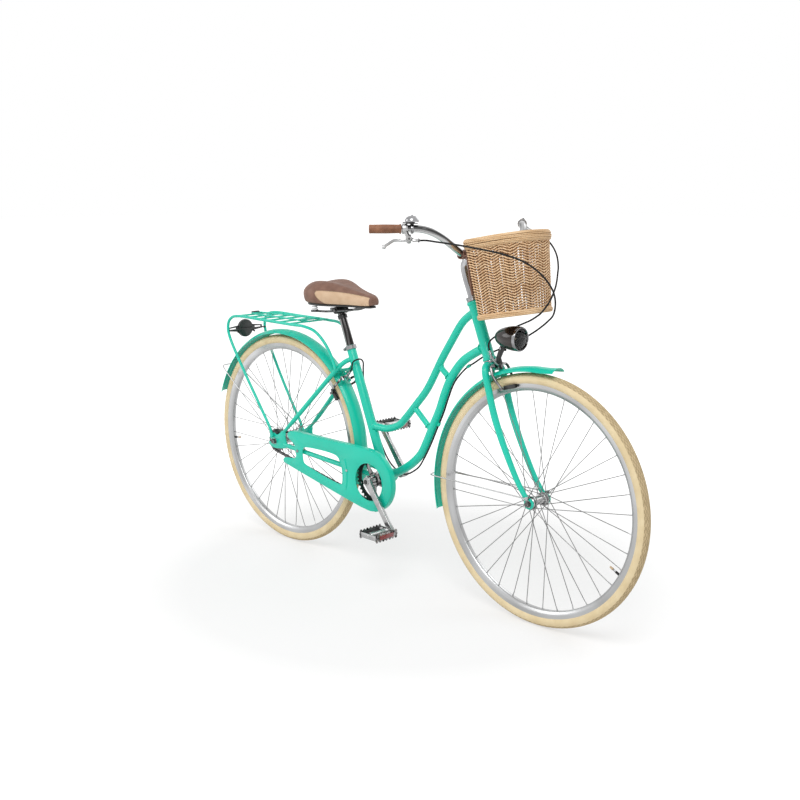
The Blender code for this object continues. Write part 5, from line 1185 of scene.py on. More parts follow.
# %% [markdown]
# A sprung bail of enamelled wire lies on the carrier and holds a parcel down. It is hinged on
# the front cross wire, and small coils at the hinge press it shut.

# %% Carrier clip
HINGE_Z = 0.7612
bail = [Vector(p) for p in ((-0.41, -0.04, HINGE_Z), (-0.46, -0.034, HINGE_Z),
    (-0.64, -0.024, HINGE_Z - 0.001), (-0.685, -0.02, HINGE_Z - 0.0012))]
bail_route = rounded(bail + [mirrored(p) for p in reversed(bail)], 0.006, 6)
parts = [dressed(pipe(bail_route, 0.0022, 12), enamel),
    dressed(rod((-0.41, -0.044, HINGE_Z), (-0.41, 0.044, HINGE_Z), 0.0022, 14), enamel)]
for side in (-1, 1):
    coil = [Vector((-0.41 + 0.003 * cos(a), side * (0.04 - 0.0012 * a), HINGE_Z + 0.003 * sin(a)))
        for a in [k * pi / 6 for k in range(37)]]
    parts.append(dressed(pipe(coil, 0.0007, 8), enamel))
parts.append(dressed(block((-0.6885, 0.0, HINGE_Z + 0.0009), (0.01, 0.03, 0.007), ease=0.002), plastic))
done(parts, "carrier_clip_wire", "clip", "carrier_clip", 45)

# %% [markdown]
# The chain guard is one pressed plate with a long slot, a round opening at the crank and
# a rim turned in towards the wheel. The outline is filled, pulled thick and eased, and
# two raised ribs are laid on its face where the steel is beaded.

# %% Chain guard
GUARD_FACE_Y, GUARD_RIM_DEPTH = -0.067, 0.0185
GUARD_SHIFT = (0.0055, 0.002)


def shifted(points):
    return [(x + GUARD_SHIFT[0], z + GUARD_SHIFT[1]) for x, z in points]


def smooth_flat(points, spacing=0.006):
    return [(p.x, p.z) for p in smooth_route([(x, 0.0, z) for x, z in points], spacing)]


upper_prong = smooth_flat(mm((-430, 398.5), (-444, 395.5), (-452.5, 389), (-455.5, 382), (-451, 374),
    (-442, 368), (-428, 360), (-420.8, 354), (-419.5, 338), (-413.5, 326), (-413.8, 316.5), (-420.5, 310.5),
    (-440, 308), (-462, 306), (-474, 302), (-479, 294), (-474, 287)), 0.004)
under = mm((-440, 279), (-300, 250), (-200, 230), (-110, 212.7))
front_edge = arc((-0.067, 0.3005), 0.0925, radians(258), radians(420), 40)
over = mm((-32, 388.5), (-55, 395), (-85, 398.5))
guard_edge = shifted(upper_prong + under + front_edge + over)
slot = shifted(smooth_flat(mm((-375.5, 352), (-370, 356), (-222, 357.5), (-207, 350), (-199, 337),
    (-190.5, 315), (-189, 278), (-192.5, 268), (-205, 265.5), (-365, 298.5), (-375.5, 305), (-380, 325),
    (-380, 344))))
opening = ring_points((-0.066, 0.3), 0.0594, 64)
face = plate(guard_edge, side_plane(GUARD_FACE_Y), 0.0015, (opening, slot), 0.0005)
rim_path = [Vector((x, 0.0, z)) for x, z in guard_edge[len(upper_prong) + len(under) + 6:] + guard_edge[:1]]
inner_path = []
for k, point in enumerate(rim_path):
    along = (rim_path[min(k + 1, len(rim_path) - 1)] - rim_path[max(k - 1, 0)]).normalized()
    inner_path.append(point - 0.0015 * along.cross(LEFT))
rim_loop = [(p.x, p.z) for p in rim_path] + [(p.x, p.z) for p in reversed(inner_path)]
rim_band = plate(rim_loop, side_plane(GUARD_FACE_Y + GUARD_RIM_DEPTH / 2), GUARD_RIM_DEPTH, (), 0.0004)
guard_face = [dressed(face, enamel), dressed(rim_band, enamel)]


def bead(points, radius, lift=0.0009):
    """A half-round bead pressed into the plate's face."""
    route = [Vector((x, GUARD_FACE_Y - lift + 0.0006, z)) for x, z in points]
    return dressed(pipe(route, radius, 12), enamel)


rib = shifted(smooth_flat(mm((-180, 350), (-173.5, 330), (-170, 305), (-170, 280), (-174.5, 256))))
guard_face += [bead(rib, 0.003), bead(slot + slot[:1], 0.0012), bead(opening + opening[:1], 0.0014)]
for x, z, far in ((-0.4, 0.3385, -0.0619), (-0.165, 0.318, -0.0462)):
    guard_face.append(dressed(rod((x, GUARD_FACE_Y, z), (x, far, z), 0.005, 20), enamel))
    guard_face.append(dressed(spun(mm((0, 0), (5.2, 0), (4.6, 1.8), (2.2, 2.6), (0, 2.6)),
        frame_at(Vector((x, GUARD_FACE_Y - 0.0006, z)), -LEFT, FORWARD), 24, True), chrome))
done(guard_face, "chain_guard_painted", "frame", "chain_guard", 35)

# %% [markdown]
# The chain has wide outer links and narrow inner links in turn. One plate of each kind
# is modelled as a figure of eight, one roller as a short barrel, and all are copied round
# the path that the chainring and the sprocket give.

# %% Chain path
PITCH, RING_TEETH, SPROCKET_TEETH, CHAIN_LINE = 0.0127, 38, 18, -0.0475
RING_RADIUS = PITCH / 2 / sin(pi / RING_TEETH)
SPROCKET_RADIUS = PITCH / 2 / sin(pi / SPROCKET_TEETH)
drive_line = REAR_AXLE - BRACKET
BEARING = atan2(drive_line.z, drive_line.x)
SPREAD = acos((RING_RADIUS - SPROCKET_RADIUS) / drive_line.length)
RUN = sqrt(drive_line.length ** 2 - (RING_RADIUS - SPROCKET_RADIUS) ** 2)
BIG_WRAP = RING_RADIUS * (2 * pi - 2 * SPREAD)
SMALL_WRAP = SPROCKET_RADIUS * 2 * SPREAD
CHAIN_LENGTH = BIG_WRAP + SMALL_WRAP + 2 * RUN


def chain_point(travel):
    travel %= CHAIN_LENGTH
    lower, upper = BEARING - SPREAD, BEARING + SPREAD
    if travel < BIG_WRAP:
        return polar(BRACKET, RING_RADIUS, upper + travel / RING_RADIUS)
    travel -= BIG_WRAP
    if travel < RUN:
        return polar(BRACKET, RING_RADIUS, lower).lerp(polar(REAR_AXLE, SPROCKET_RADIUS, lower), travel / RUN)
    travel -= RUN
    if travel < SMALL_WRAP:
        return polar(REAR_AXLE, SPROCKET_RADIUS, lower + travel / SPROCKET_RADIUS)
    travel -= SMALL_WRAP
    return polar(REAR_AXLE, SPROCKET_RADIUS, upper).lerp(polar(BRACKET, RING_RADIUS, upper), travel / RUN)


# %% Chain
LINKS = 2 * round(CHAIN_LENGTH / PITCH / 2)


def link_plate(y):
    """A figure of eight, one pitch long, lying along X."""
    half = PITCH / 2
    outline = arc((half, 0), 0.0041, -1.15, 1.15, 6) + [(0.0, 0.003)]
    outline += arc((-half, 0), 0.0041, pi - 1.15, pi + 1.15, 6) + [(0.0, -0.003)]
    return plate(outline, side_plane(y), 0.0009)


def copy_to(source, place):
    copy = source.copy()
    copy.data = source.data.copy()
    bpy.context.scene.collection.objects.link(copy)
    copy.matrix_world = place
    return copy


outer_link = joined(link_plate(-0.0038), link_plate(0.0038),
    rod((PITCH / 2, -0.0046, 0), (PITCH / 2, 0.0046, 0), 0.0018, 8),
    rod((-PITCH / 2, -0.0046, 0), (-PITCH / 2, 0.0046, 0), 0.0018, 8))
inner_link = joined(link_plate(-0.0026), link_plate(0.0026),
    rod((PITCH / 2, -0.0022, 0), (PITCH / 2, 0.0022, 0), 0.0036, 10),
    rod((-PITCH / 2, -0.0022, 0), (-PITCH / 2, 0.0022, 0), 0.0036, 10))
links = []
for k in range(LINKS):
    start = chain_point(CHAIN_LENGTH * k / LINKS)
    end = chain_point(CHAIN_LENGTH * (k + 1) / LINKS)
    along = end - start
    middle = (start + end) / 2 + CHAIN_LINE * LEFT
    place = Matrix.Translation(middle) @ Matrix.Rotation(-atan2(along.z, along.x), 4, "Y")
    links.append(copy_to(outer_link if k % 2 else inner_link, place))
bpy.data.objects.remove(outer_link)
bpy.data.objects.remove(inner_link)
pick(*links)
settled()
done(links, "roller_chain", "frame", "chain", 35, dark_steel)
print("chain", LINKS, "links,", round(CHAIN_LENGTH, 4), "m")

# %% [markdown]
# The chainring and the sprocket are outlines with rounded teeth. Each tooth is a bump
# between two hollows that a roller rests in. Five bolts hold the ring to the spider.

# %% Chainring and sprocket


def toothed_outline(centre, teeth, pitch_radius):
    points = []
    tip = pitch_radius + 0.003
    root = pitch_radius - 0.004
    for k in range(teeth):
        for share, radius in ((-0.5, root), (-0.36, root + 0.0006), (-0.22, pitch_radius - 0.0008),
                (-0.09, tip), (0.09, tip), (0.22, pitch_radius - 0.0008), (0.36, root + 0.0006)):
            angle = 2 * pi * (k + 0.5 + share) / teeth
            points.append((centre.x + radius * cos(angle), centre.z + radius * sin(angle)))
    return points


centre_xz = (BRACKET.x, BRACKET.z)
ring_holes = [ring_points(centre_xz, 0.06, 60)]
ring = dressed(plate(toothed_outline(BRACKET, RING_TEETH, RING_RADIUS), side_plane(CHAIN_LINE), 0.0026,
    ring_holes, 0.0003), ring_black)
done(ring, "chainring_black", "cranks", "chainring", 30)

cog = [dressed(plate(toothed_outline(REAR_AXLE, SPROCKET_TEETH, SPROCKET_RADIUS), side_plane(CHAIN_LINE),
    0.0026, (ring_points((REAR_AXLE.x, REAR_AXLE.z), 0.016, 32),), 0.0003), dark_steel),
    dressed(spun(mm((5.3, -4.6), (15.8, -4.6), (16.6, -3.8), (16.6, 2.2), (15.8, 2.8), (12, 2.8),
    (11.5, 1.8), (5.3, 1.8)), frame_at(REAR_AXLE + CHAIN_LINE * LEFT, -LEFT, FORWARD), 40), dark_steel)]
done(cog, "sprocket_steel", "freewheel", "sprocket", 30)

# %% [markdown]
# Each crank is forged: thick at the eye, waisted along the arm, round at the pedal end.
# The outline is pulled thick and eased broadly, so that the long edges catch the light.
# The right one carries the five-armed spider.

# %% Cranks
CRANK_DIRECTION = Vector((0.6079, 0.0, -0.794)).normalized()
CRANK_LENGTH, CRANK_PLANE = 0.163, 0.079


def crank_arm(side, direction):
    turn = atan2(direction.z, direction.x)
    place = (Matrix.Translation((BRACKET.x, side * CRANK_PLANE, BRACKET.z)) @ Matrix.Rotation(-turn, 4, "Y")
        @ Matrix.Rotation(pi / 2, 4, "X"))
    eye = arc((0, 0), 0.015, radians(60), radians(300), 20)
    tip = arc((CRANK_LENGTH, 0), 0.0115, radians(-75), radians(75), 16)
    flank = mm((30, -11.2), (70, -9.8), (115, -9.4), (145, -10))
    outline = eye + flank + tip + [(x, -y) for x, y in reversed(flank)]
    arm = plate(outline, place, 0.012)
    eased(arm, 0.003, 4)
    out = side * LEFT
    tip_at = BRACKET + direction * CRANK_LENGTH + side * CRANK_PLANE * LEFT
    boss = spun(mm((0, 0), (10.8, 0), (11.2, 1), (10.5, 3), (8, 3.6), (0, 3.6)),
        frame_at(BRACKET + side * (CRANK_PLANE + 0.005) * LEFT, out, FORWARD), 40, True)
    cap = spun(mm((0, 0), (7.5, 0), (7.2, 1.2), (0, 2)),
        frame_at(BRACKET + side * (CRANK_PLANE + 0.0086) * LEFT, out, FORWARD), 32, True)
    eye_nut = eased(rod(*across(tip_at, -side * 0.0055, -side * 0.0085), 0.007, 6), 0.0005)
    return [dressed(arm, forged), dressed(boss, forged), dressed(cap, plastic), dressed(eye_nut, dark_steel)]


def spider():
    reach, waist = 0.0655, (0.02, 0.0095)
    arm = [(waist[0], -waist[1]), (0.036, -0.0072), (0.052, -0.0062), (reach - 0.005, -0.0068),
        (reach, -0.0042), (reach, 0.0042), (reach - 0.005, 0.0068), (0.052, 0.0062), (0.036, 0.0072), waist]
    first = atan2(CRANK_DIRECTION.z, CRANK_DIRECTION.x) + radians(36)
    outline, bolts = [], []
    for k in range(5):
        turn = Matrix.Rotation(first + 2 * pi * k / 5, 2)
        outline += [tuple(turn @ Vector(point)) for point in arm]
        bolt_at = turn @ Vector((0.0615, 0.0))
        at = BRACKET + Vector((bolt_at.x, -0.0522, bolt_at.y))
        bolts.append(dressed(spun(mm((0, 0), (4.2, 0), (4, 1.4), (2.4, 1.8), (0, 1.4)),
            frame_at(at, -LEFT, FORWARD), 20, True), chrome))
    place = side_plane(-0.0506) @ Matrix.Translation((BRACKET.x, BRACKET.z, 0.0))
    star = dressed(plate(outline, place, 0.003, (), 0.0009), dark_chrome_painted_reflection)
    neck = dressed(spun(mm((8.6, -73.6), (16.5, -73.6), (16.5, -64), (18.5, -56), (23, -52.2), (23, -50),
        (19, -48.8), (8.6, -48.8)), wheel_place(BRACKET), 48), dark_chrome_painted_reflection)
    return [star, neck, *bolts]


done(joined(*crank_arm(-1, CRANK_DIRECTION), *spider()), "right_crank_forged", "cranks", "right_crank", 35)
spindle = dressed(rod(*across(BRACKET, -0.0835, 0.08), 0.0085, 24), dark_steel)
left_boss = dressed(spun(mm((8.6, 58), (14, 58), (15, 60), (15, 74), (8.6, 74)), wheel_place(BRACKET), 40),
    forged)
done(joined(*crank_arm(1, -CRANK_DIRECTION), spindle, left_boss), "left_crank_forged", "cranks",
    "left_crank", 35)

# %% [markdown]
# A rat-trap pedal has two toothed steel plates that grip the sole. Between them are the
# barrel with its bearings, two end plates and a reflector block on each face.

# %% Pedals


def toothed_edge(half, base, tip, teeth):
    points, pitch = [], 2 * half / teeth
    for k in range(teeth):
        start = -half + k * pitch
        points += [(start + 0.1 * pitch, base), (start + 0.26 * pitch, tip - 0.0008),
            (start + 0.36 * pitch, tip), (start + 0.64 * pitch, tip), (start + 0.74 * pitch, tip - 0.0008),
            (start + 0.9 * pitch, base)]
    return points


def pedal(tag, side):
    eye = BRACKET - side * CRANK_LENGTH * CRANK_DIRECTION + side * (CRANK_PLANE + 0.006) * LEFT
    middle = eye + side * 0.0455 * LEFT
    out = frame_at(eye, side * LEFT, FORWARD)
    parts = [dressed(spun(mm((0, 0.4), (7, 0.4), (7, 3), (5.2, 3.6), (5.2, 11), (8.5, 11.5), (9.8, 14),
        (9.2, 26), (8, 33), (8, 58), (9.2, 65), (9.8, 78), (8.5, 80), (6.2, 80), (5.8, 88), (4, 89.5),
        (0, 89.5)), out, 32, True), forged)]
    outline = toothed_edge(0.045, 0.0092, 0.0134, 7)
    outline = outline + [(-x, -z) for x, z in outline]
    windows = [ring_points((y, 0.0), 0.0042, 16) for y in (-0.036, 0.036)]
    for way in (-1, 1):
        face = Matrix.Translation(middle + way * 0.034 * FORWARD)
        place = face @ FACING_ALONG
        parts.append(dressed(plate(outline, place, 0.0016, windows, 0.0003), dark_chrome_painted_reflection))
        parts.append(dressed(block(middle + way * 0.03 * FORWARD, (0.0076, 0.064, 0.015), ease=0.0016),
            plastic))
        parts.append(dressed(block(middle + way * 0.0357 * FORWARD, (0.0022, 0.054, 0.0125), ease=0.0008),
            red_prism))
        parts.append(dressed(block(middle + way * 0.041 * LEFT, (0.068, 0.0022, 0.0165), ease=0.0008),
            forged))
        for y in (-0.0425, 0.0425):
            screw = middle + way * 0.0348 * FORWARD + y * LEFT
            parts.append(dressed(ball(screw, 0.0022, 10, 6), dark_steel))
    return done(parts, tag + "_pedal_ratrap", tag + "_pedal", tag + "_pedal", 35)


pedal("right", -1)
pedal("left", 1)

# %% [markdown]
# The reflector is a round cup on a slotted strap between the carrier's legs. Its face is
# a domed prism plate, so it goes in as a separate disc with a dark rim round it.

# %% Rear reflector
REFLECTOR_X, REFLECTOR_Z = -0.748, 0.702
strap = mm((-71.5, -6), (-71.5, 6), (-30, 11), (30, 11), (71.5, 6), (71.5, -6), (30, -11), (-30, -11))
slots = [[(side * 0.066, -0.0025), (side * 0.066, 0.0025), (side * 0.04, 0.0045), (side * 0.04, -0.0045)]
    for side in (-1, 1)]
facing_back = (Matrix.Translation((REFLECTOR_X, 0, REFLECTOR_Z)) @ FACING_ALONG)
cup_place = frame_at(Vector((REFLECTOR_X, 0, REFLECTOR_Z)), -FORWARD)
reflector = [dressed(plate(strap, facing_back, 0.003, slots, 0.0005), plastic),
    dressed(spun(mm((0, -6), (26.5, -6), (30, -4), (30.5, 4), (29.8, 5.6), (28, 6), (27.5, 4), (0, 4)),
    cup_place, 56, True), plastic), dressed(spun(mm((0, 4.2), (27.3, 4.2), (26.8, 5.8), (20, 7.8), (9, 8.8),
    (0, 9)), cup_place, 56, True), red_prism)]
for side in (-1, 1):
    reflector.append(dressed(rod((REFLECTOR_X + 0.0005, side * 0.033, REFLECTOR_Z - 0.011),
        (-0.7381, side * 0.033, REFLECTOR_Z - 0.013), 0.0026, 12), plastic))
    reflector.append(dressed(ball((REFLECTOR_X - 0.0016, side * 0.033, REFLECTOR_Z), 0.0034, 16, 8), chrome))
done(reflector, "rear_reflector_cup", "frame", "rear_reflector", 35)

# %% [markdown]
# The seat post is a chromed tube with a dark collar and the cross head that the saddle
# tilts on. The saddle's base is moulded, its rails are bent wire, and the cheeks clamp
# them to the head with one bolt.

# %% Seat post and saddle frame
SADDLE_PIVOT = on_seat_tube(0.804)
post = [dressed(rod(on_seat_tube(0.525), on_seat_tube(0.797), 0.0126, 40), dark_chrome_painted_reflection),
    stud(on_seat_tube(0.778), on_seat_tube(0.7895), 0.015, 36, ring_black, 0.0008),
    stud(*across(SADDLE_PIVOT, -0.0125, 0.0125), 0.011, 32, ring_black, 0.0006),
    dressed(rod(*across(SADDLE_PIVOT, -0.0285, 0.0285), 0.0032, 20), dark_steel)]
for side in (-1, 1):
    post.append(stud(*across(SADDLE_PIVOT, side * 0.0246, side * 0.0284), 0.0062, 6, dark_steel, 0.0006))
done(post, "seat_post_chromed", "seat_post", "seat_post", 35)

base_half = mm((-356, 40), (-348, 58), (-325, 73), (-300, 78), (-272, 74), (-250, 66), (-225, 52),
    (-200, 36), (-160, 26), (-125, 20), (-112, 12))
base_outline = base_half + [(x, -y) for x, y in reversed(base_half)]
saddle_under = [dressed(plate(base_outline, Matrix.Translation((0, 0, 0.8235)), 0.006, (), 0.0016), plastic)]
for side in (-1, 1):
    rail = smooth_route([(-0.335, side * 0.04, 0.798), (-0.29, side * 0.029, 0.799),
        (-0.235, side * 0.019, 0.805), (-0.19, side * 0.0165, 0.8105), (-0.15, side * 0.013, 0.8225)], 0.006)
    saddle_under.append(dressed(pipe(rail, 0.0035, 16), dark_steel))
    cheek = rod(*across(SADDLE_PIVOT, side * 0.013, side * 0.024), 0.011, 32)
    saddle_under.append(dressed(eased(cheek, 0.001), ring_black))
    seat = rod((-0.335, side * 0.04, 0.795), (-0.335, side * 0.04, 0.8016), 0.0125, 32)
    saddle_under.append(dressed(eased(seat, 0.0008), dark_steel))
    cap = rod((-0.335, side * 0.04, 0.8203), (-0.335, side * 0.04, 0.8212), 0.0118, 32)
    saddle_under.append(dressed(cap, dark_steel))
done(saddle_under, "saddle_base_and_rails", "saddle", "saddle_frame", 35)

# %% [markdown]
# The two springs under the tail are close coils of bright wire. One wire is wound as a
# route with many points and is swept round.

# %% Saddle springs
for side, tag in SIDES:
    coil = []
    for k in range(3 * 32 + 1):
        turn = 2 * pi * k / 32
        coil.append(Vector((-0.335 + 0.009 * cos(turn), side * 0.04 + 0.009 * sin(turn),
            0.803 + 0.0161 * k / 96)))
    done(pipe(coil, 0.0011, 12), tag + "_coil_spring", "saddle", tag + "_saddle_spring", 60, chrome)

# %% [markdown]
# The saddle is foam under leather: a brown top and, below a stitched seam, a tan panel on
# each side. A cage of cross sections is skinned and subdivided, which gives full, even
# padding; the faces below the seam take the tan leather, and the seam is a thin cord.

# %% Saddle cover
# along X: half width, top, dip of the middle, widest height, underside
SADDLE = mm((-367, 40, 870, 0, 856, 840), (-358, 66, 881, 1, 859, 832), (-340, 83, 890.5, 4, 860, 827.5),
    (-318, 90, 895.5, 9.5, 860, 826.8), (-292, 92, 897.8, 11.5, 859.5, 826.8),
    (-265, 84, 895.5, 10, 857.5, 826.8), (-240, 71, 890, 7, 855, 826.8), (-212, 55, 882, 2, 852, 826.8),
    (-185, 42, 875, 1, 849, 826.8), (-155, 33, 867.5, 0.5, 845.5, 826.8), (-130, 28, 863.2, 0, 843, 827.2),
    (-112, 23, 859, 0, 841, 828.5), (-101, 15, 853, 0, 840, 832))


def saddle_section(half, top, dip, edge, under):
    """Half a section, from the middle of the top to the middle of the underside."""
    return [(0.0, top - dip), (0.28 * half, top - 0.35 * dip), (0.55 * half, top),
        (0.8 * half, edge + 0.68 * (top - edge)), (0.95 * half, edge + 0.34 * (top - edge)), (half, edge),
        (0.985 * half, edge - 0.4 * (edge - under)), (0.93 * half, under + 0.1 * (edge - under)),
        (0.84 * half, under), (0.4 * half, under), (0.0, under)]


rings = []
for x, *shape in SADDLE:
    half_ring = saddle_section(*shape)
    rings.append([(x, y, z) for y, z in half_ring] + [(x, -y, z) for y, z in reversed(half_ring[1:-1])])


def skinned(rings):
    """Rings with equal counts, bridged to a skin and filled at both ends."""
    loops = [loop(ring) for ring in rings]
    obj = joined(*loops)
    edit(obj)
    bpy.ops.mesh.bridge_edge_loops()
    bpy.ops.mesh.select_all(action="DESELECT")
    bpy.ops.mesh.select_mode(type="EDGE")
    bpy.ops.mesh.select_non_manifold()
    bpy.ops.mesh.edge_face_add()
    bpy.ops.mesh.select_mode(type="VERT")
    rest()
    return closed_up(obj)


cover = skinned(rings)
print("saddle cage", len(cover.data.polygons), "faces")
applied(cover, "SUBSURF", levels=4, render_levels=4)
cover.data.materials.clear()
for look in (brown_leather, tan_leather):
    cover.data.materials.append(look)


def along(value, pairs):
    """Straight-line steps through (value, result) pairs."""
    if value <= pairs[0][0]:
        return pairs[0][1]
    for (a, low), (b, high) in zip(pairs, pairs[1:]):
        if value <= b:
            return low + (high - low) * (value - a) / (b - a)
    return pairs[-1][1]


SEAM = mm((-280.7, 868), (-260, 868.2), (-239.3, 867.4), (-204.2, 864.8), (-173.3, 861.3), (-139.1, 857.3),
    (-113, 853.2))
PANEL_REAR = mm((827.5, -248), (834.8, -259.3), (849.4, -274.1), (860, -280), (868, -276))

for face in cover.data.polygons:
    x, y, z = face.center
    below = 0.8285 < z < along(x, SEAM) and along(z, PANEL_REAR) < x < -0.1105
    if below and abs(face.normal.y) > 0.16:
        face.material_index = 1

seams = []
for side in (-1, 1):
    seam = []
    for x, z in [(along(z, PANEL_REAR), z)
            for z in (0.83, 0.838, 0.847, 0.856, 0.862, 0.866)] + list(SEAM[1:]):
        hit, place, _, _ = cover.ray_cast((x, side * 0.2, z), (0.0, -side, 0.0))
        if hit:
            seam.append(place)
    seams.append(smooth_route(seam, 0.004))
piping = dressed(pipe(seams, 0.0009, 8), thread)
cover = joined(cover, piping)
done(cover, "saddle_leather", "saddle", "saddle_cover", 60)
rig.padded(cover, 0.95)

# %% [markdown]
# The fork is brazed from a steerer, a crown and two raked blades that taper to the axle.
# The blades are swept with a taper that starts below the brake; each ends in a forged
# ring round the axle, with the mudguard's eye beside it.

# %% Fork
STEERING_FRAME = frame_at(on_steering(0.7), LEAN_DIRECTION)
STAY_DIRECTION = Vector((0.694, 0.0, 0.72)).normalized()
FRONT_BRAKE = STEERING_FRAME @ Matrix.Translation((0.0186, 0.0, -0.0101))
REAR_BRAKE = frame_at(BRIDGE_CENTRE, STAY_DIRECTION) @ Matrix.Translation((0.028, 0.0, 0.0))


def in_frame(place, x, y, z):
    return place @ Vector((x, y, z))


def rod_in(place, start, end, radius, sides):
    """A rod between two points that are given in the place's own axes."""
    return rod(place @ Vector(start), place @ Vector(end), radius, sides)


def brake_bolt(place, start, head_at):
    bolt = rod_in(place, (start, 0, 0), (head_at + 0.001, 0, 0), 0.003, 20)
    head = rod_in(place, (head_at, 0, 0), (head_at + 0.0038, 0, 0), 0.0056, 6)
    return [dressed(bolt, dark_steel), dressed(eased(head, 0.0005), chrome)]


fork_parts = [dressed(rod(on_steering(0.692), on_steering(0.8845), 0.0127, 32), enamel),
    dressed(eased(rod(on_steering(0.687), on_steering(0.708), 0.0165, 48), 0.0012, 3), enamel),
    stud(on_steering(0.708), on_steering(0.7143), 0.0176, 48, chrome, 0.0006),
    stud(on_steering(0.8732), on_steering(0.8775), 0.0174, 40, chrome, 0.0006),
    stud(on_steering(0.8775), on_steering(0.8845), 0.0178, 8, chrome, 0.0008),
    *brake_bolt(FRONT_BRAKE, -0.01, 0.0143)]
for side in (-1, 1):
    route = smooth_route([(x, side * y, z) for x, y,
        z in mm((353.5, 4, 701), (355, 17, 705), (358.8, 30, 699), (366, 37, 680), (378, 37, 640),
        (389.5, 37, 600), (406, 37, 555), (431, 37, 500), (461, 37, 443), (486, 37, 401), (518, 37, 358.5))],
        0.008)
    blade = pipe(route, 0.0097, 32, taper=lambda part: 1.0 - 0.28 * max(0.0, part - 0.45) / 0.55)
    fork_parts.append(dressed(blade, enamel))
    end = plate(ring_points((FRONT_AXLE.x, FRONT_AXLE.z), 0.0155, 40), side_plane(side * 0.037), 0.005, (),
        0.0008)
    fork_parts.append(dressed(end, enamel))
    fork_parts.append(dressed(rod((0.5235, side * 0.037, 0.366), (0.5235, side * 0.0458, 0.366), 0.0032, 16),
        dark_steel))
done(fork_parts, "fork_painted", "steering", "fork", 40)

# %% [markdown]
# Stem and handlebar are chromed tubes bent over a mandrel, so both are swept along their
# routes. The stem ends in a clamp with a bolt below, and its neck bolt shows on top.

# %% Stem and handlebar
BAR_RADIUS, GRIP_LENGTH = 0.0098, 0.083
GRIP_START = Vector((0.253, -0.25, 1.077))
GRIP_DIRECTION = Vector((-0.6203, -0.7843, 0.0)).normalized()
clamp = Vector((0.318, 0.0, 0.995))
neck = smooth_route([on_steering(0.795), on_steering(0.88), on_steering(0.95),
    *mm((252, 0, 970), (264, 0, 986), (286, 0, 994.5), (310, 0, 995))], 0.006)
stem_parts = [pipe(neck, 0.0108, 32), eased(rod(*across(clamp, -0.019, 0.019), 0.0155, 48), 0.0016, 3),
    eased(rod(clamp + Vector((-0.006, 0, -0.0125)), clamp + Vector((-0.006, 0, -0.0185)), 0.0052, 6),
    0.0005), eased(rod((0.25, 0, 0.98), (0.25, 0, 0.992), 0.006, 6), 0.0006)]
done(stem_parts, "stem_chromed", "steering", "stem", 40, chrome)

bend = [*mm((318, 0, 995), (318, -24, 995), (320, -45, 997), (322, -85, 1006), (323, -115, 1022),
    (323, -145, 1040), (318, -170, 1056), (305, -190, 1068.5), (285, -210, 1076)), GRIP_START]
half_bar = smooth_route(bend, 0.007) + [GRIP_START + (GRIP_LENGTH - 0.003) * GRIP_DIRECTION]
bar_route = [mirrored(p) for p in reversed(half_bar[1:])] + half_bar
bar = pipe(bar_route, BAR_RADIUS, 32)
# Each point's height round the bar, from 0 below to 1 on top, sets the painted reflection bands of its chrome.
reflection_heights = []
for vertex in bar.data.vertices:
    near = min(range(len(bar_route)), key=lambda k: (bar_route[k] - vertex.co).length_squared)
    way = (bar_route[min(near + 1, len(bar_route) - 1)] - bar_route[max(near - 1, 0)]).normalized()
    top = (UP - UP.dot(way) * way).normalized()
    reflection_heights.append(0.5 + 0.5 * (vertex.co - bar_route[near]).dot(top) / BAR_RADIUS)
bar.data.attributes.new("band", "FLOAT", "POINT").data.foreach_set("value", reflection_heights)
done(bar, "handlebar_chromed", "steering", "handlebar", 40, bar_chrome_painted_reflection)


def hand_frame(side):
    """At a grip's inner end: X out along the grip, Y towards the lever, Z square to its plane."""
    outward = Vector((GRIP_DIRECTION.x, -side * GRIP_DIRECTION.y, 0.0)).normalized()
    ahead = Vector((abs(GRIP_DIRECTION.y), side * abs(GRIP_DIRECTION.x), 0.0))
    lower = radians(40.0)
    reach = (cos(lower) * ahead - sin(lower) * UP).normalized()
    turn = Matrix((outward, reach, outward.cross(reach))).transposed().to_4x4()
    return Matrix.Translation(Vector((GRIP_START.x, -side * GRIP_START.y, GRIP_START.z))) @ turn


# %% [markdown]
# The grips are leather stitched round the bar. The profile swells a little in the middle,
# closes over the bar's end, and a cord of stitches runs along the underside.

# %% Grips
for side, tag in SIDES:
    hand = hand_frame(side)
    axis = frame_at(in_frame(hand, 0.0003, 0, 0), hand.to_3x3().col[0], UP)
    sleeve = spun(mm((9.9, 0), (12.6, 0), (13, 1), (13, 2.2), (11.9, 3.4), (11.2, 5), (11.6, 25), (11.8, 42),
        (11.6, 60), (11.3, 77), (11.6, 79), (11.6, 81), (10.4, 82.6), (6, 83), (0, 83), (0, 80), (9.9, 80)),
        axis, 40, True)
    grip_parts = [dressed(sleeve, grip_leather)]
    for k in range(16):
        at = in_frame(hand, 0.008 + 0.0044 * k, -0.0045, -0.0108)
        grip_parts.append(dressed(rod(at - 0.0013 * hand.to_3x3().col[0], at + 0.0013 * hand.to_3x3().col[0],
            0.0005, 6), thread))
    done(grip_parts, tag + "_grip_leather", "steering", tag + "_grip", 45)

# %% [markdown]
# Each brake lever turns between two ears of its bracket. The bracket keeps its turned and
# cut CAD shape and gets eased edges; the lever is swept as a blade that swells to its ball.

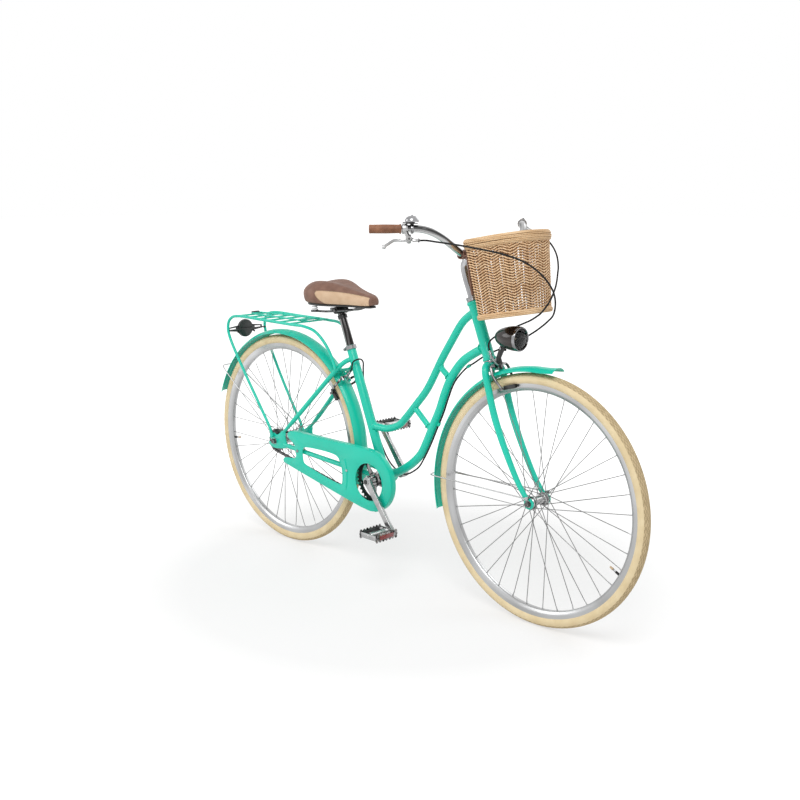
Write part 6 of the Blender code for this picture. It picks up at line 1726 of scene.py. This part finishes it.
# %% Brake levers
LEVER_PIVOT = (-0.0165, 0.0435)
for side, tag in SIDES:
    hand = hand_frame(side)
    x, y = LEVER_PIVOT
    body = dressed(cad_copy(tag + "_brake_bracket", 0.0004), forged)
    clamp_bolt = rod_in(hand, (-0.0098, -0.006, -0.01), (-0.0098, -0.006, -0.0146), 0.0034, 6)
    pivot_pin = rod_in(hand, (x, y, -0.0072), (x, y, 0.0072), 0.003, 16)
    cable_nut = rod_in(hand, (-0.0436, 0.044, 0), (-0.04, 0.044, 0), 0.0052, 20)
    bolts = [dressed(part, dark_steel)
             for part in (eased(clamp_bolt, 0.0004), pivot_pin, eased(cable_nut, 0.0004))]
    done(joined(body, *bolts), tag + "_lever_bracket", "steering", tag + "_brake_bracket", 40)
    path = [(x + 0.004, y), *mm((0, 45.2), (12, 42.8), (23, 44), (36, 54.5), (49, 66))]
    route = smooth_route([in_frame(hand, a, b, 0) for a, b in path], 0.003)
    blade = pipe(route, 0.0038, 24, taper=lambda part: 0.76 + 0.24 * min(1.0, max(0.0, part - 0.17) / 0.17))
    boss = eased(rod_in(hand, (x, y, -0.0029), (x, y, 0.0029), 0.0064, 32), 0.0005)
    finger_ball = ball(in_frame(hand, 0.0497, 0.0669, 0), 0.006, 28, 16)
    done(joined(blade, boss, finger_ball), tag + "_lever_blade", tag + "_lever", tag + "_brake_lever", 40,
        forged)

# %% [markdown]
# The bell is a chromed dome on a post that clamps round the bar. Its gears hide under the
# dome, on a base plate; the thumb lever comes out between the two.

# %% Bell
BELL_FOOT = Vector((0.2712, -0.2279, 1.0766))
along_bar = (GRIP_START - Vector((0.285, -0.21, 1.076))).normalized()
dome = spun(mm((0, 34.5), (3, 34.4), (8, 33.4), (12, 31.7), (15.2, 29), (17.4, 25.8), (18.6, 22.5),
    (19, 19.6), (18.8, 18.6), (18, 18.6), (17.6, 21.5), (16, 25.5), (11, 30), (5, 31.8), (5, 19), (0, 19)),
    Matrix.Translation(BELL_FOOT), 56, True)
knob = ball(BELL_FOOT + 0.0345 * UP, 0.0026, 20, 10)
base = spun(mm((0, 9), (5, 9), (5, 13.2), (15, 13.6), (16, 14.2), (16, 15), (5.2, 15.2), (5.2, 19.2),
    (0, 19.2)), Matrix.Translation(BELL_FOOT), 48, True)
band = eased(rod(BELL_FOOT - 0.0035 * along_bar, BELL_FOOT + 0.0035 * along_bar, 0.0124, 48), 0.0006)
done(joined(dressed(dome, chrome), dressed(knob, chrome), dressed(base, plastic), dressed(band, chrome)),
    "bell_dome_and_clamp", "steering", "bell", 40)
thumb = (arc((0, 0), 0.008, radians(60), radians(300), 24)
    + mm((10, -4.6), (17, -4), (22, -4.1), (24.8, -3.1), (26.2, 0), (24.8, 3.1), (22, 4.1), (17, 4),
    (10, 4.6)))
thumb_place = (Matrix.Translation((BELL_FOOT.x, BELL_FOOT.y, BELL_FOOT.z + 0.0164))
    @ Matrix.Rotation(radians(205), 4, "Z"))
done(dressed(plate(thumb, thumb_place, 0.0022, (ring_points((0, 0), 0.0056, 28),), 0.0004), plastic),
    "bell_thumb_lever", "bell_lever", "bell_lever", 35)

# %% [markdown]
# The lamp is a glossy black bullet with a chromed ring. Behind the smoky lens sits a dark
# bowl with a pale bulb, so the lens needs real depth and a hollow shell.

# %% Headlight
LAMP_CENTRE, LAMP_BOLT = Vector((0.4535, 0.0, 0.7841)), Vector((0.3913, 0.0, 0.7538))
lamp_place = frame_at(LAMP_CENTRE, FORWARD)
shell = spun(mm((29.8, -6), (30.6, 0.4), (33, 0.4), (33.7, -3), (34, -12), (33.8, -20), (32.8, -30),
    (31, -40), (28.4, -50), (25, -60), (20.7, -69), (15, -76.5), (8.5, -81.5), (0, -83.5), (0, -81.5),
    (19, -68), (27, -50), (30.5, -30), (31.2, -12)), lamp_place, 72, True)
ring = spun(mm((28.6, -3), (29, 1.8), (30, 3.4), (31.8, 3.6), (33.2, 2.2), (33.8, -1), (33.6, -6),
    (30.6, -6)), lamp_place, 72)
bowl = spun(mm((29.5, -3.5), (27, -11), (22.5, -19), (16, -26), (9, -30), (0, -31.5), (0, -33), (10, -31.2),
    (17.5, -27), (24, -19.5), (28.5, -11.2), (30.3, -4)), lamp_place, 64, True)
bulb = spun(mm((0, -15), (3, -16), (4.2, -18.5), (3.8, -21.5), (2.8, -24), (3, -31), (0, -31)), lamp_place,
    32, True)
lamp_parts = [dressed(shell, lamp_black), dressed(ring, chrome), dressed(bowl, rubber), dressed(bulb, cream)]
for side in (-1, 1):
    lug = block((LAMP_BOLT.x + 0.004, side * 0.0046, LAMP_BOLT.z + 0.003), (0.014, 0.003, 0.022), None,
        0.0006)
    lamp_parts.append(dressed(lug, plastic))
done(lamp_parts, "headlight_bullet", "headlight", "headlight_shell", 40)
lens = spun(mm((0, 5.2), (8, 5), (16, 4.1), (23, 2.6), (28.4, 0.4), (28.4, -1.6), (23, 0.4), (16, 1.9),
    (8, 2.8), (0, 3)), lamp_place, 64, True)
done(lens, "headlight_glass", "headlight", "headlight_lens", 50, lens_glass)
bracket = [dressed(cad_copy("headlight_bracket", 0.0004), plastic)]
for side in (-1, 1):
    bracket.append(stud(*across(LAMP_BOLT, side * 0.0064, side * 0.0096), 0.0045, 6, chrome, 0.0004))
done(bracket, "headlight_bracket_plate", "steering", "headlight_bracket", 35)

# %% [markdown]
# A side-pull brake has two forged arms on one bolt. Each arm is a bent bar, swept round
# the tyre, and carries its pad on a threaded pin with a nut. The left one reaches over
# the bolt to the cable's adjuster, and the right one holds the anchor screw.

# %% Rim brakes


def brake_arm(which, place, side, pad_reach, pad_drop, pad_turn):
    tag = "right" if side < 0 else "left"
    layer = 0.002 if side < 0 else 0.0086
    path = [(layer, side * 0.003, 0.001), (layer, side * 0.016, 0.0085),
        (layer + 0.002, side * 0.029, 0.004), (layer + 0.003, side * 0.035, -0.016),
        (pad_reach * 0.32, side * 0.0345, 0.66 * pad_drop), (pad_reach * 0.46, side * 0.0265, pad_drop)]
    route = smooth_route([in_frame(place, *p) for p in path], 0.004)
    pad_x, tilt = pad_reach * 0.46, place.to_3x3().to_4x4() @ Matrix.Rotation(radians(pad_turn), 4, "Y")
    shoe_at = in_frame(place, pad_reach, side * 0.0184, pad_drop - 0.0001)
    arm = pipe(route, 0.0038, 20, taper=lambda part: 1.05 - 0.12 * part)
    eye = rod_in(place, (layer - 0.0028, 0, 0), (layer + 0.0028, 0, 0), 0.0066, 32)
    pin = rod_in(place, (pad_x, side * 0.0335, pad_drop), (pad_x, side * 0.0174, pad_drop), 0.0026, 20)
    pad_nut = rod_in(place, (pad_x, side * 0.03, pad_drop), (pad_x, side * 0.0332, pad_drop), 0.005, 6)
    parts = [dressed(arm, dark_chrome_painted_reflection), dressed(eased(eye, 0.0005), forged), dressed(pin, dark_steel),
             dressed(eased(pad_nut, 0.0004), chrome),
             dressed(block(shoe_at, (0.042, 0.006, 0.01), tilt, 0.0012), rubber),
             dressed(block(shoe_at + side * 0.0036 * LEFT, (0.04, 0.003, 0.0116), tilt, 0.0008), plastic)]
    if side > 0:
        tip_x, tip_y, tip_z = 0.012, -0.026, 0.03
        lever_path = ((layer, 0.002, 0.0), (layer + 0.0003, -0.012, 0.011), (tip_x, tip_y, tip_z))
        lever = smooth_route([in_frame(place, *p) for p in lever_path], 0.004)
        parts.append(dressed(pipe(lever, 0.0036, 20), forged))
        for low, high, radius, sides in ((-0.0045, 0.0018, 0.005, 6), (0.0018, 0.013, 0.003, 20),
                (0.0072, 0.0104, 0.0048, 16), (0.013, 0.018, 0.0038, 24)):
            part = rod_in(place, (tip_x, tip_y, tip_z + low), (tip_x, tip_y, tip_z + high), radius, sides)
            parts.append(dressed(eased(part, 0.0003), chrome))
    else:
        anchor = rod_in(place, (layer - 0.004, side * 0.027, 0.005), (layer + 0.011, side * 0.027, 0.005),
                        0.0042, 6)
        parts.append(dressed(eased(anchor, 0.0004), chrome))
    return done(parts, "%s_%s_caliper_arm" % (which, tag), "%s_%s_arm" % (which, tag),
        "%s_brake_%s_arm" % (which, tag), 40)


for side in (-1, 1):
    brake_arm("front", FRONT_BRAKE, side, 0.041, -0.062, 6.0)
    brake_arm("rear", REAR_BRAKE, side, 0.012, -0.0686, 9.7)
bridge_piece = [dressed(cad_copy("stay_bridge", 0.0004), enamel)]
done(bridge_piece, "stay_bridge_painted", "frame", "stay_bridge", 40)

# %% [markdown]
# The basket is woven from cane: every row passes outside one stake and inside the next,
# and the row above does the opposite, so each strand shows slanted strokes. The slant
# changes from block to block, which draws the chevrons. Each strand is swept along its
# own closed wave round the basket.

# %% Basket outline
BASKET_BOTTOM, BASKET_TOP = Vector((0.378, 0.0, 0.842)), Vector((0.338, 0.0, 1.046))
BASKET_TILT = radians(10.3)
BASKET_UP = (BASKET_TOP - BASKET_BOTTOM).normalized()
BASKET_AHEAD = Vector((cos(BASKET_TILT), 0.0, sin(BASKET_TILT)))
SQUARENESS, CORNER = 2.0 / 2.7, 0.013


def basket_size(level, inset):
    return 0.152 + 0.021 * level - inset, 0.0915 + 0.0155 * level - inset


def basket_slice(level, inset, count):
    """Evenly spaced points round the basket: flat at the back, round in front."""
    depth, half = basket_size(level, inset)
    bend = CORNER - min(inset, 0.008)
    left = [(inset, y) for y in (0.0, 0.5 * half)]
    left += [(inset + bend - bend * cos(a), half - bend + bend * sin(a))
        for a in (pi / 2 * k / 8 for k in range(9))]
    for k in range(1, 60):
        a = pi / 2 * (1 - k / 60)
        x = inset + (depth - inset) * cos(a) ** SQUARENESS
        if x > inset + bend:
            left.append((x, half * sin(a) ** SQUARENESS))
    flat = left + [(depth, 0.0)] + [(x, -y) for x, y in reversed(left)]
    back = BASKET_BOTTOM.lerp(BASKET_TOP, level)
    dense = [back + x * BASKET_AHEAD + y * LEFT for x, y in flat]
    total = sum((b - a).length for a, b in zip(dense, dense[1:]))
    return even_route(dense, total / count)[:count]


def outwards(ring, k):
    along = ring[(k + 1) % len(ring)] - ring[k - 1]
    return along.cross(BASKET_UP).normalized() * -1.0


# %% Basket weave
STAKES, STEPS, ROWS = 50, 7, 50
STRAND_RADIUS, RIM_CANE_RADIUS = 0.00172, 0.0021
LOW_RIM, HIGH_RIM = 0.028, 0.88
WAVE, TWIST, ZIGZAG = 0.0023, 0.0019, 0.0015
strand_count = STAKES * STEPS
slow = [(random.uniform(1, 9), random.uniform(0, 6.3), random.uniform(0, 6.3)) for _ in range(6)]


def drift(share, level):
    """A slow wander of the rows, so that gaps open here and there."""
    return sum(sin(2 * pi * round(n) * share + p + 7.0 * level + 2 * sin(q + 4.0 * level)) for n, p,
        q in slow) / 6


def strand(level, phase, height):
    """One strand's points and, for each, how near it is to the top of its wave, which sets its painted shade."""
    ring = basket_slice(level, 0.00275, strand_count)
    points, crests = [], []
    for k in range(strand_count):
        share = k / strand_count
        angle = pi * STAKES * share + phase
        block_share = (STAKES * share / 4.0) % 1.0
        slant = 1.0 if block_share < 0.5 else -1.0
        zigzag = ZIGZAG * (4 * abs(block_share - 0.5) - 1)
        lift = TWIST * slant * sin(angle) - zigzag + 0.0015 * drift(share, level) + height
        points.append(ring[k] + WAVE * cos(angle) * outwards(ring, k) + lift * BASKET_UP)
        crests.append((0.5 + 0.5 * cos(angle)) ** 0.8)
    return points, crests


def caned(strands, radius, sides, name, stands_for=None):
    """Closed canes swept at once, with each point's value for painted shade and tone kept on the mesh."""
    obj = pipe([points for points, _ in strands], radius, sides, True)
    crest = obj.data.attributes.new("crest", "FLOAT", "POINT")
    values = [value for _, crests in strands for value in crests for _ in range(sides)]
    assert len(values) == len(obj.data.vertices), (len(values), len(obj.data.vertices))
    crest.data.foreach_set("value", values)
    return done(obj, name, "steering", stands_for, 70, cane if "weave" in name else rim_cane)


halves = ([], [])
for row in range(ROWS):
    level = LOW_RIM + (HIGH_RIM - LOW_RIM) * (row + 0.5) / ROWS
    halves[row * 2 // ROWS].append(strand(level, pi * (row % 2), random.uniform(-0.0004, 0.0004)))
for tag, strands in zip(("lower", "upper"), halves):
    caned(strands, STRAND_RADIUS, 8, "basket_weave_" + tag, "basket" if tag == "lower" else None)

# %% Basket stakes and floor
stakes = []
low_ring, high_ring = (basket_slice(level, 0.00275, STAKES) for level in (-0.01, 0.95))
for k, (low_end, high_end) in enumerate(zip(low_ring, high_ring)):
    across = (high_ring[(k + 1) % STAKES] - high_ring[k - 1]).normalized()
    for n in (-0.9, 0.9):
        shift = n * 0.0021 * across
        stakes.append([low_end + shift, low_end.lerp(high_end, 0.5) + shift, high_end + shift])
floor_back = BASKET_BOTTOM.lerp(BASKET_TOP, 0.0)
floor_depth, floor_half = basket_size(0.0, 0.004)


def half_at(depth):
    share = min(1.0, max(0.0, depth / floor_depth))
    return floor_half * (1.0 - share ** 2.7) ** (1 / 2.7)


for k in range(1, 25):
    depth = 0.004 + (floor_depth - 0.006) * k / 25
    reach = half_at(depth) - 0.001
    ripple = [floor_back + depth * BASKET_AHEAD + y * LEFT + 0.0016 * cos(pi * y / 0.0135 + pi * k)
        * BASKET_UP for y in (reach * (2 * n / 48 - 1) for n in range(49))]
    stakes.append(ripple)
for y in (0.0135 * n for n in range(-6, 7)):
    share = (1 - (abs(y) / floor_half) ** 2.7) ** (1 / 2.7)
    stakes.append([floor_back + depth * BASKET_AHEAD + y * LEFT
        for depth in (0.005, 0.5 * floor_depth * share, (floor_depth - 0.002) * share)])
stakes = pipe(stakes, 0.0012, 8)
# The stakes and floor take one low value: painted shade, as they lie behind and below the weave.
crest = stakes.data.attributes.new("crest", "FLOAT", "POINT")
crest.data.foreach_set("value", [0.16] * len(stakes.data.vertices))
done(stakes, "basket_stakes_and_floor", "steering", None, 70, cane)

# %% [markdown]
# Each rim is a bundle of long canes wrapped round the ends of the stakes. The canes of
# the top rim lie round an oval section, and those of the bottom rim round a smaller one.

# %% Basket rims


def rim_canes(level, inset, half_deep, half_high, count, wander):
    ring = basket_slice(level, inset, 180)
    canes = []
    for n in range(count):
        start, offset = 2 * pi * n / count, random.uniform(0, 6.3)
        tone = random.uniform(0.68, 1.0)
        route = []
        for k in range(180):
            turn = start + wander * sin(2 * pi * 2 * k / 180 + offset)
            route.append(ring[k] + half_deep * cos(turn) * outwards(ring, k) + half_high * sin(turn)
                * BASKET_UP)
        canes.append((route, [tone] * len(route)))
    return canes


caned(rim_canes(0.9325, 0.0018, 0.0062, 0.0122, 16, 0.05), RIM_CANE_RADIUS, 10, "basket_top_rim")
caned(rim_canes(0.0, 0.0008, 0.0034, 0.0054, 8, 0.06), RIM_CANE_RADIUS, 10, "basket_bottom_rim")

# %% [markdown]
# Two leather straps hold the basket to the bar. Each goes round the bar, through the
# weave and down the outside of the rear wall, where a strip of leather keeps the cane
# from rubbing the stem.

# %% Basket straps
for side, tag in SIDES:
    centre = Vector((0.3222, side * 0.088, 1.007))
    strap_ring = ring_points((centre.x, centre.z), 0.0128, 48)
    strap_hole = ring_points((centre.x, centre.z), 0.0101, 48)
    strap = plate(strap_ring, side_plane(side * 0.088), 0.018, (strap_hole,), 0.0006)
    tongue = block((0.3405, side * 0.088, 1.005), (0.024, 0.018, 0.004), None, 0.001)
    low, high = 0.3, 0.86
    strip_low, strip_high = (BASKET_BOTTOM.lerp(BASKET_TOP, v) - 0.0042 * BASKET_AHEAD for v in (low, high))
    middle = (strip_low + strip_high) / 2 + side * 0.084 * LEFT
    upright = frame_at(Vector((0, 0, 0)), BASKET_UP)
    strip = block(middle, (0.003, 0.022, (strip_high - strip_low).length), upright, 0.001)
    done(joined(dressed(strap, brown_leather), dressed(tongue, brown_leather),
        dressed(strip, brown_leather)), tag + "_basket_strap", "steering", None, 40)

# %% [markdown]
# The three brake cables are stiff housings that spring into open bends. They are swept
# along routes that leave the levers straight, and the one to the rear brake is in two
# pieces, because the handlebar bends its front part when it turns.

# %% Brake cables
CABLE_RADIUS = 0.0024
HANDOVER = Vector((0.272, 0.019, 0.6945))


def route_length(route):
    return sum((b - a).length for a, b in zip(route, route[1:]))


def cable(name, points):
    route = smooth_route(points, 0.005)
    obj = pipe(route, CABLE_RADIUS, 16)
    print(name, "is", round(route_length(route), 4), "m long")
    return obj, route


def adjuster_top(place, clearance):
    return in_frame(place, 0.012, -0.026, 0.048 + clearance)


left_hand, right_hand = hand_frame(1), hand_frame(-1)
front_points = [in_frame(left_hand, -0.0446, 0.044, 0), in_frame(left_hand, -0.06, 0.045, 0),
    *mm((352, 203, 1050), (385, 186, 1044), (430.7, 165, 1019), (455.6, 150, 995.8), (471.7, 135, 970.4),
    (490.5, 108, 956), (513, 75, 940), (534, 40, 922.5), (542.5, 13, 899), (545, -8, 882), (539.5, -24, 864),
    (517, -20, 849.5), (492, -8, 838.5), (466, 12, 830.5), (423.5, 35, 816.3), (382.2, 44, 799.3),
    (361, 30, 789), (356, 9, 779), (358, -13, 769)), in_frame(FRONT_BRAKE, 0.012, -0.026, 0.059),
    adjuster_top(FRONT_BRAKE, 0.0014)]
obj, route = cable("front brake cable", front_points)
done(obj, "front_brake_cable", "steering", "front_cable", 60, rubber)
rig.cord(obj, route[0], route_length(route), 0.0048, "object", "stiff", "hanging", route)

loop_points = [in_frame(right_hand, -0.0446, 0.044, 0), in_frame(right_hand, -0.06, 0.044, 0),
    *mm((350, -219, 1046), (400, -213, 1042), (434.1, -205, 1038), (470.8, -190, 1031.8),
    (517.8, -162, 1021.2), (551.9, -125, 1003.8), (564.2, -100, 988.5), (573.1, -70, 966.5),
    (578.4, -45, 942.1), (576.4, -22, 917.2), (566, 0, 886.7), (549.1, 15, 856), (521.1, 28, 834.7),
    (483.7, 38, 810.3), (453.9, 42.5, 792.8), (402.2, 42.5, 764.3), (339.9, 38, 737.2), (329, 36.5, 732),
    (295.2, 30, 713)), HANDOVER + Vector((0.006, 0.001, 0.004)), HANDOVER]
obj, route = cable("rear brake cable, front part", loop_points)
obj.name = obj.data.name = "rear_brake_cable_loop"
dressed(obj, rubber)
pick(obj)
bpy.ops.object.shade_smooth_by_angle(angle=radians(60))
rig.blend(obj, "frame", "steering", HANDOVER, HANDOVER + Vector((0.1, 0.0, 0.1)))
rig.replaces(obj, "rear_cable_loop")
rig.slot(obj, "rear_cable_loop")
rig.cord(obj, route[0], route_length(route), 0.0048, "object", "stiff", "hanging", route)

# %% Rear brake cable on the frame
drop = 0.0127 + CABLE_RADIUS + 0.0014
under, directions = [], []
for before, point, after in zip(LOWER_ROUTE[2:], LOWER_ROUTE[3:9], LOWER_ROUTE[4:]):
    along = (Vector(after) - Vector(before)).normalized()
    out = LEFT.cross(along)
    out = -out if out.z > 0 else out
    under.append(Vector(point) + drop * out)
    directions.append(along)
tube_side = 0.0143 + CABLE_RADIUS + 0.0006
up_tube = [on_seat_tube(z) + tube_side * LEFT for z in (0.4, 0.45, 0.5, 0.55, 0.595)]
start = HANDOVER + (HANDOVER - Vector((0.2952, 0.03, 0.713))).normalized() * 0.0004
frame_points = [start, (0.256, 0.0125, 0.683), *under,
    *mm((58, 16.5, 350), (10, 18, 323), (-25, 23.5, 323), (-63, 22.5, 345)), *up_tube,
    *mm((-174, 15, 627), (-166, 7, 650), (-165.5, -4, 660), (-170, -15, 659), (-179, -23, 652)),
    in_frame(REAR_BRAKE, 0.012, -0.026, 0.056), adjuster_top(REAR_BRAKE, 0.0018)]
obj, route = cable("rear brake cable, rear part", frame_points)
guides = []
for x, z in ((0.26, 0.687), (0.152, 0.508)):
    near = min(range(1, len(route) - 1), key=lambda k: hypot(route[k].x - x, route[k].z - z))
    way = (route[near + 1] - route[near - 1]).normalized()
    guides.append(eased(rod(route[near] - 0.0055 * way, route[near] + 0.0055 * way, 0.0046, 20), 0.0006))
done(guides, "cable_guides_painted", "frame", None, 40, enamel)
done(obj, "rear_brake_cable", "frame", "rear_cable", 60, rubber)
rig.cord(obj, route[0], route_length(route), 0.0048, "object", "stiff", "taut", route)

# %% [markdown]
# The bicycle stands on a plain white floor in soft light from all round, with a large
# lamp above the camera's left and a weaker one to the right. The floor keeps a faint
# shadow: to the camera it gives part of its white by itself, and light gives the rest.

# %% Floor and light


def direct_view(tree):
    """One for rays from the camera, also by way of metal or glass, and nothing for the rest."""
    path = tree.nodes.new("ShaderNodeLightPath")
    total = path.outputs["Is Camera Ray"]
    for other in ("Is Glossy Ray", "Is Transmission Ray"):
        add = tree.nodes.new("ShaderNodeMath")
        add.operation = "MAXIMUM"
        tree.links.new(total, add.inputs[0])
        tree.links.new(path.outputs[other], add.inputs[1])
        total = add.outputs["Value"]
    return total


rest()
bpy.ops.mesh.primitive_plane_add(size=60.0, location=(0, 0, -0.0004))
floor = bpy.context.object
floor.name = "floor"
floor_look = new_look("white_floor", (0.8, 0.8, 0.8), 0.9, Specular_IOR_Level=0.0)
glow = node(floor_look, "ShaderNodeEmission", Color=(1.0, 1.0, 1.0, 1.0))
lit = node(floor_look, "ShaderNodeBsdfDiffuse", Color=(0.4, 0.4, 0.4, 1.0))
where = node(floor_look, "ShaderNodeTexCoord")
away = node(floor_look, "ShaderNodeVectorMath", operation="LENGTH")
# The floor's own glow rises with distance, from 0.56 near the bicycle to 1 beyond 1.6 m: painted light where the
# lamps' light falls off, so the floor stays white far off.
fade = node(floor_look, "ShaderNodeMapRange")
for socket, value in (("From Min", 0.65), ("From Max", 1.6), ("To Min", 0.56), ("To Max", 1.0)):
    fade.inputs[socket].default_value = value
wire(floor_look, where.outputs["Object"], away.inputs[0])
wire(floor_look, away.outputs["Value"], fade.inputs["Value"])
wire(floor_look, fade.outputs["Result"], glow.inputs["Strength"])
seen_floor = node(floor_look, "ShaderNodeAddShader")
either = node(floor_look, "ShaderNodeMixShader")
wire(floor_look, glow.outputs["Emission"], seen_floor.inputs[0])
wire(floor_look, lit.outputs["BSDF"], seen_floor.inputs[1])
wire(floor_look, direct_view(floor_look.node_tree), either.inputs["Fac"])
wire(floor_look, shader_of(floor_look).outputs["BSDF"], either.inputs[1])
wire(floor_look, seen_floor.outputs["Shader"], either.inputs[2])
wire(floor_look, either.outputs["Shader"], floor_look.node_tree.nodes["Material Output"].inputs["Surface"])
dressed(floor, floor_look)
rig.stage(floor)

world = bpy.context.scene.world or bpy.data.worlds.new("studio")
bpy.context.scene.world = world
world.use_nodes = True
sky = world.node_tree
sky.nodes["Background"].inputs["Color"].default_value = (1.0, 1.0, 1.0, 1.0)
direct = sky.nodes.new("ShaderNodeMath")
direct.operation = "MAXIMUM"
direct.inputs[1].default_value = 0.62
sky.links.new(direct_view(sky), direct.inputs[0])
sky.links.new(direct.outputs["Value"], sky.nodes["Background"].inputs["Strength"])


def soft_lamp(name, place, aim, size, power):
    rest()
    bpy.ops.object.light_add(type="AREA", location=place)
    lamp = bpy.context.object
    lamp.name = name
    lamp.data.shape, lamp.data.size, lamp.data.energy = "DISK", size, power
    lamp.rotation_euler = (Vector(aim) - Vector(place)).to_track_quat("-Z", "Y").to_euler()
    return lamp


soft_lamp("key_lamp", (1.6, -2.2, 3.4), (0.0, 0.0, 0.5), 2.2, 62.0)
soft_lamp("side_lamp", (-2.6, -2.4, 2.2), (0.0, 0.0, 0.6), 2.0, 26.0)
soft_lamp("back_lamp", (0.2, 3.0, 2.6), (0.0, 0.0, 0.6), 2.4, 20.0)

# %% Size
new_low, new_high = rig.bounds()
with open("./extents.json", "w") as out:
    json.dump({"cad": [list(map(float, cad_low)), list(map(float, cad_high))],
        "dressed": [list(map(float, new_low)), list(map(float, new_high))]}, out)
print("dressed size", [round(b - a, 4) for a, b in zip(new_low, new_high)])
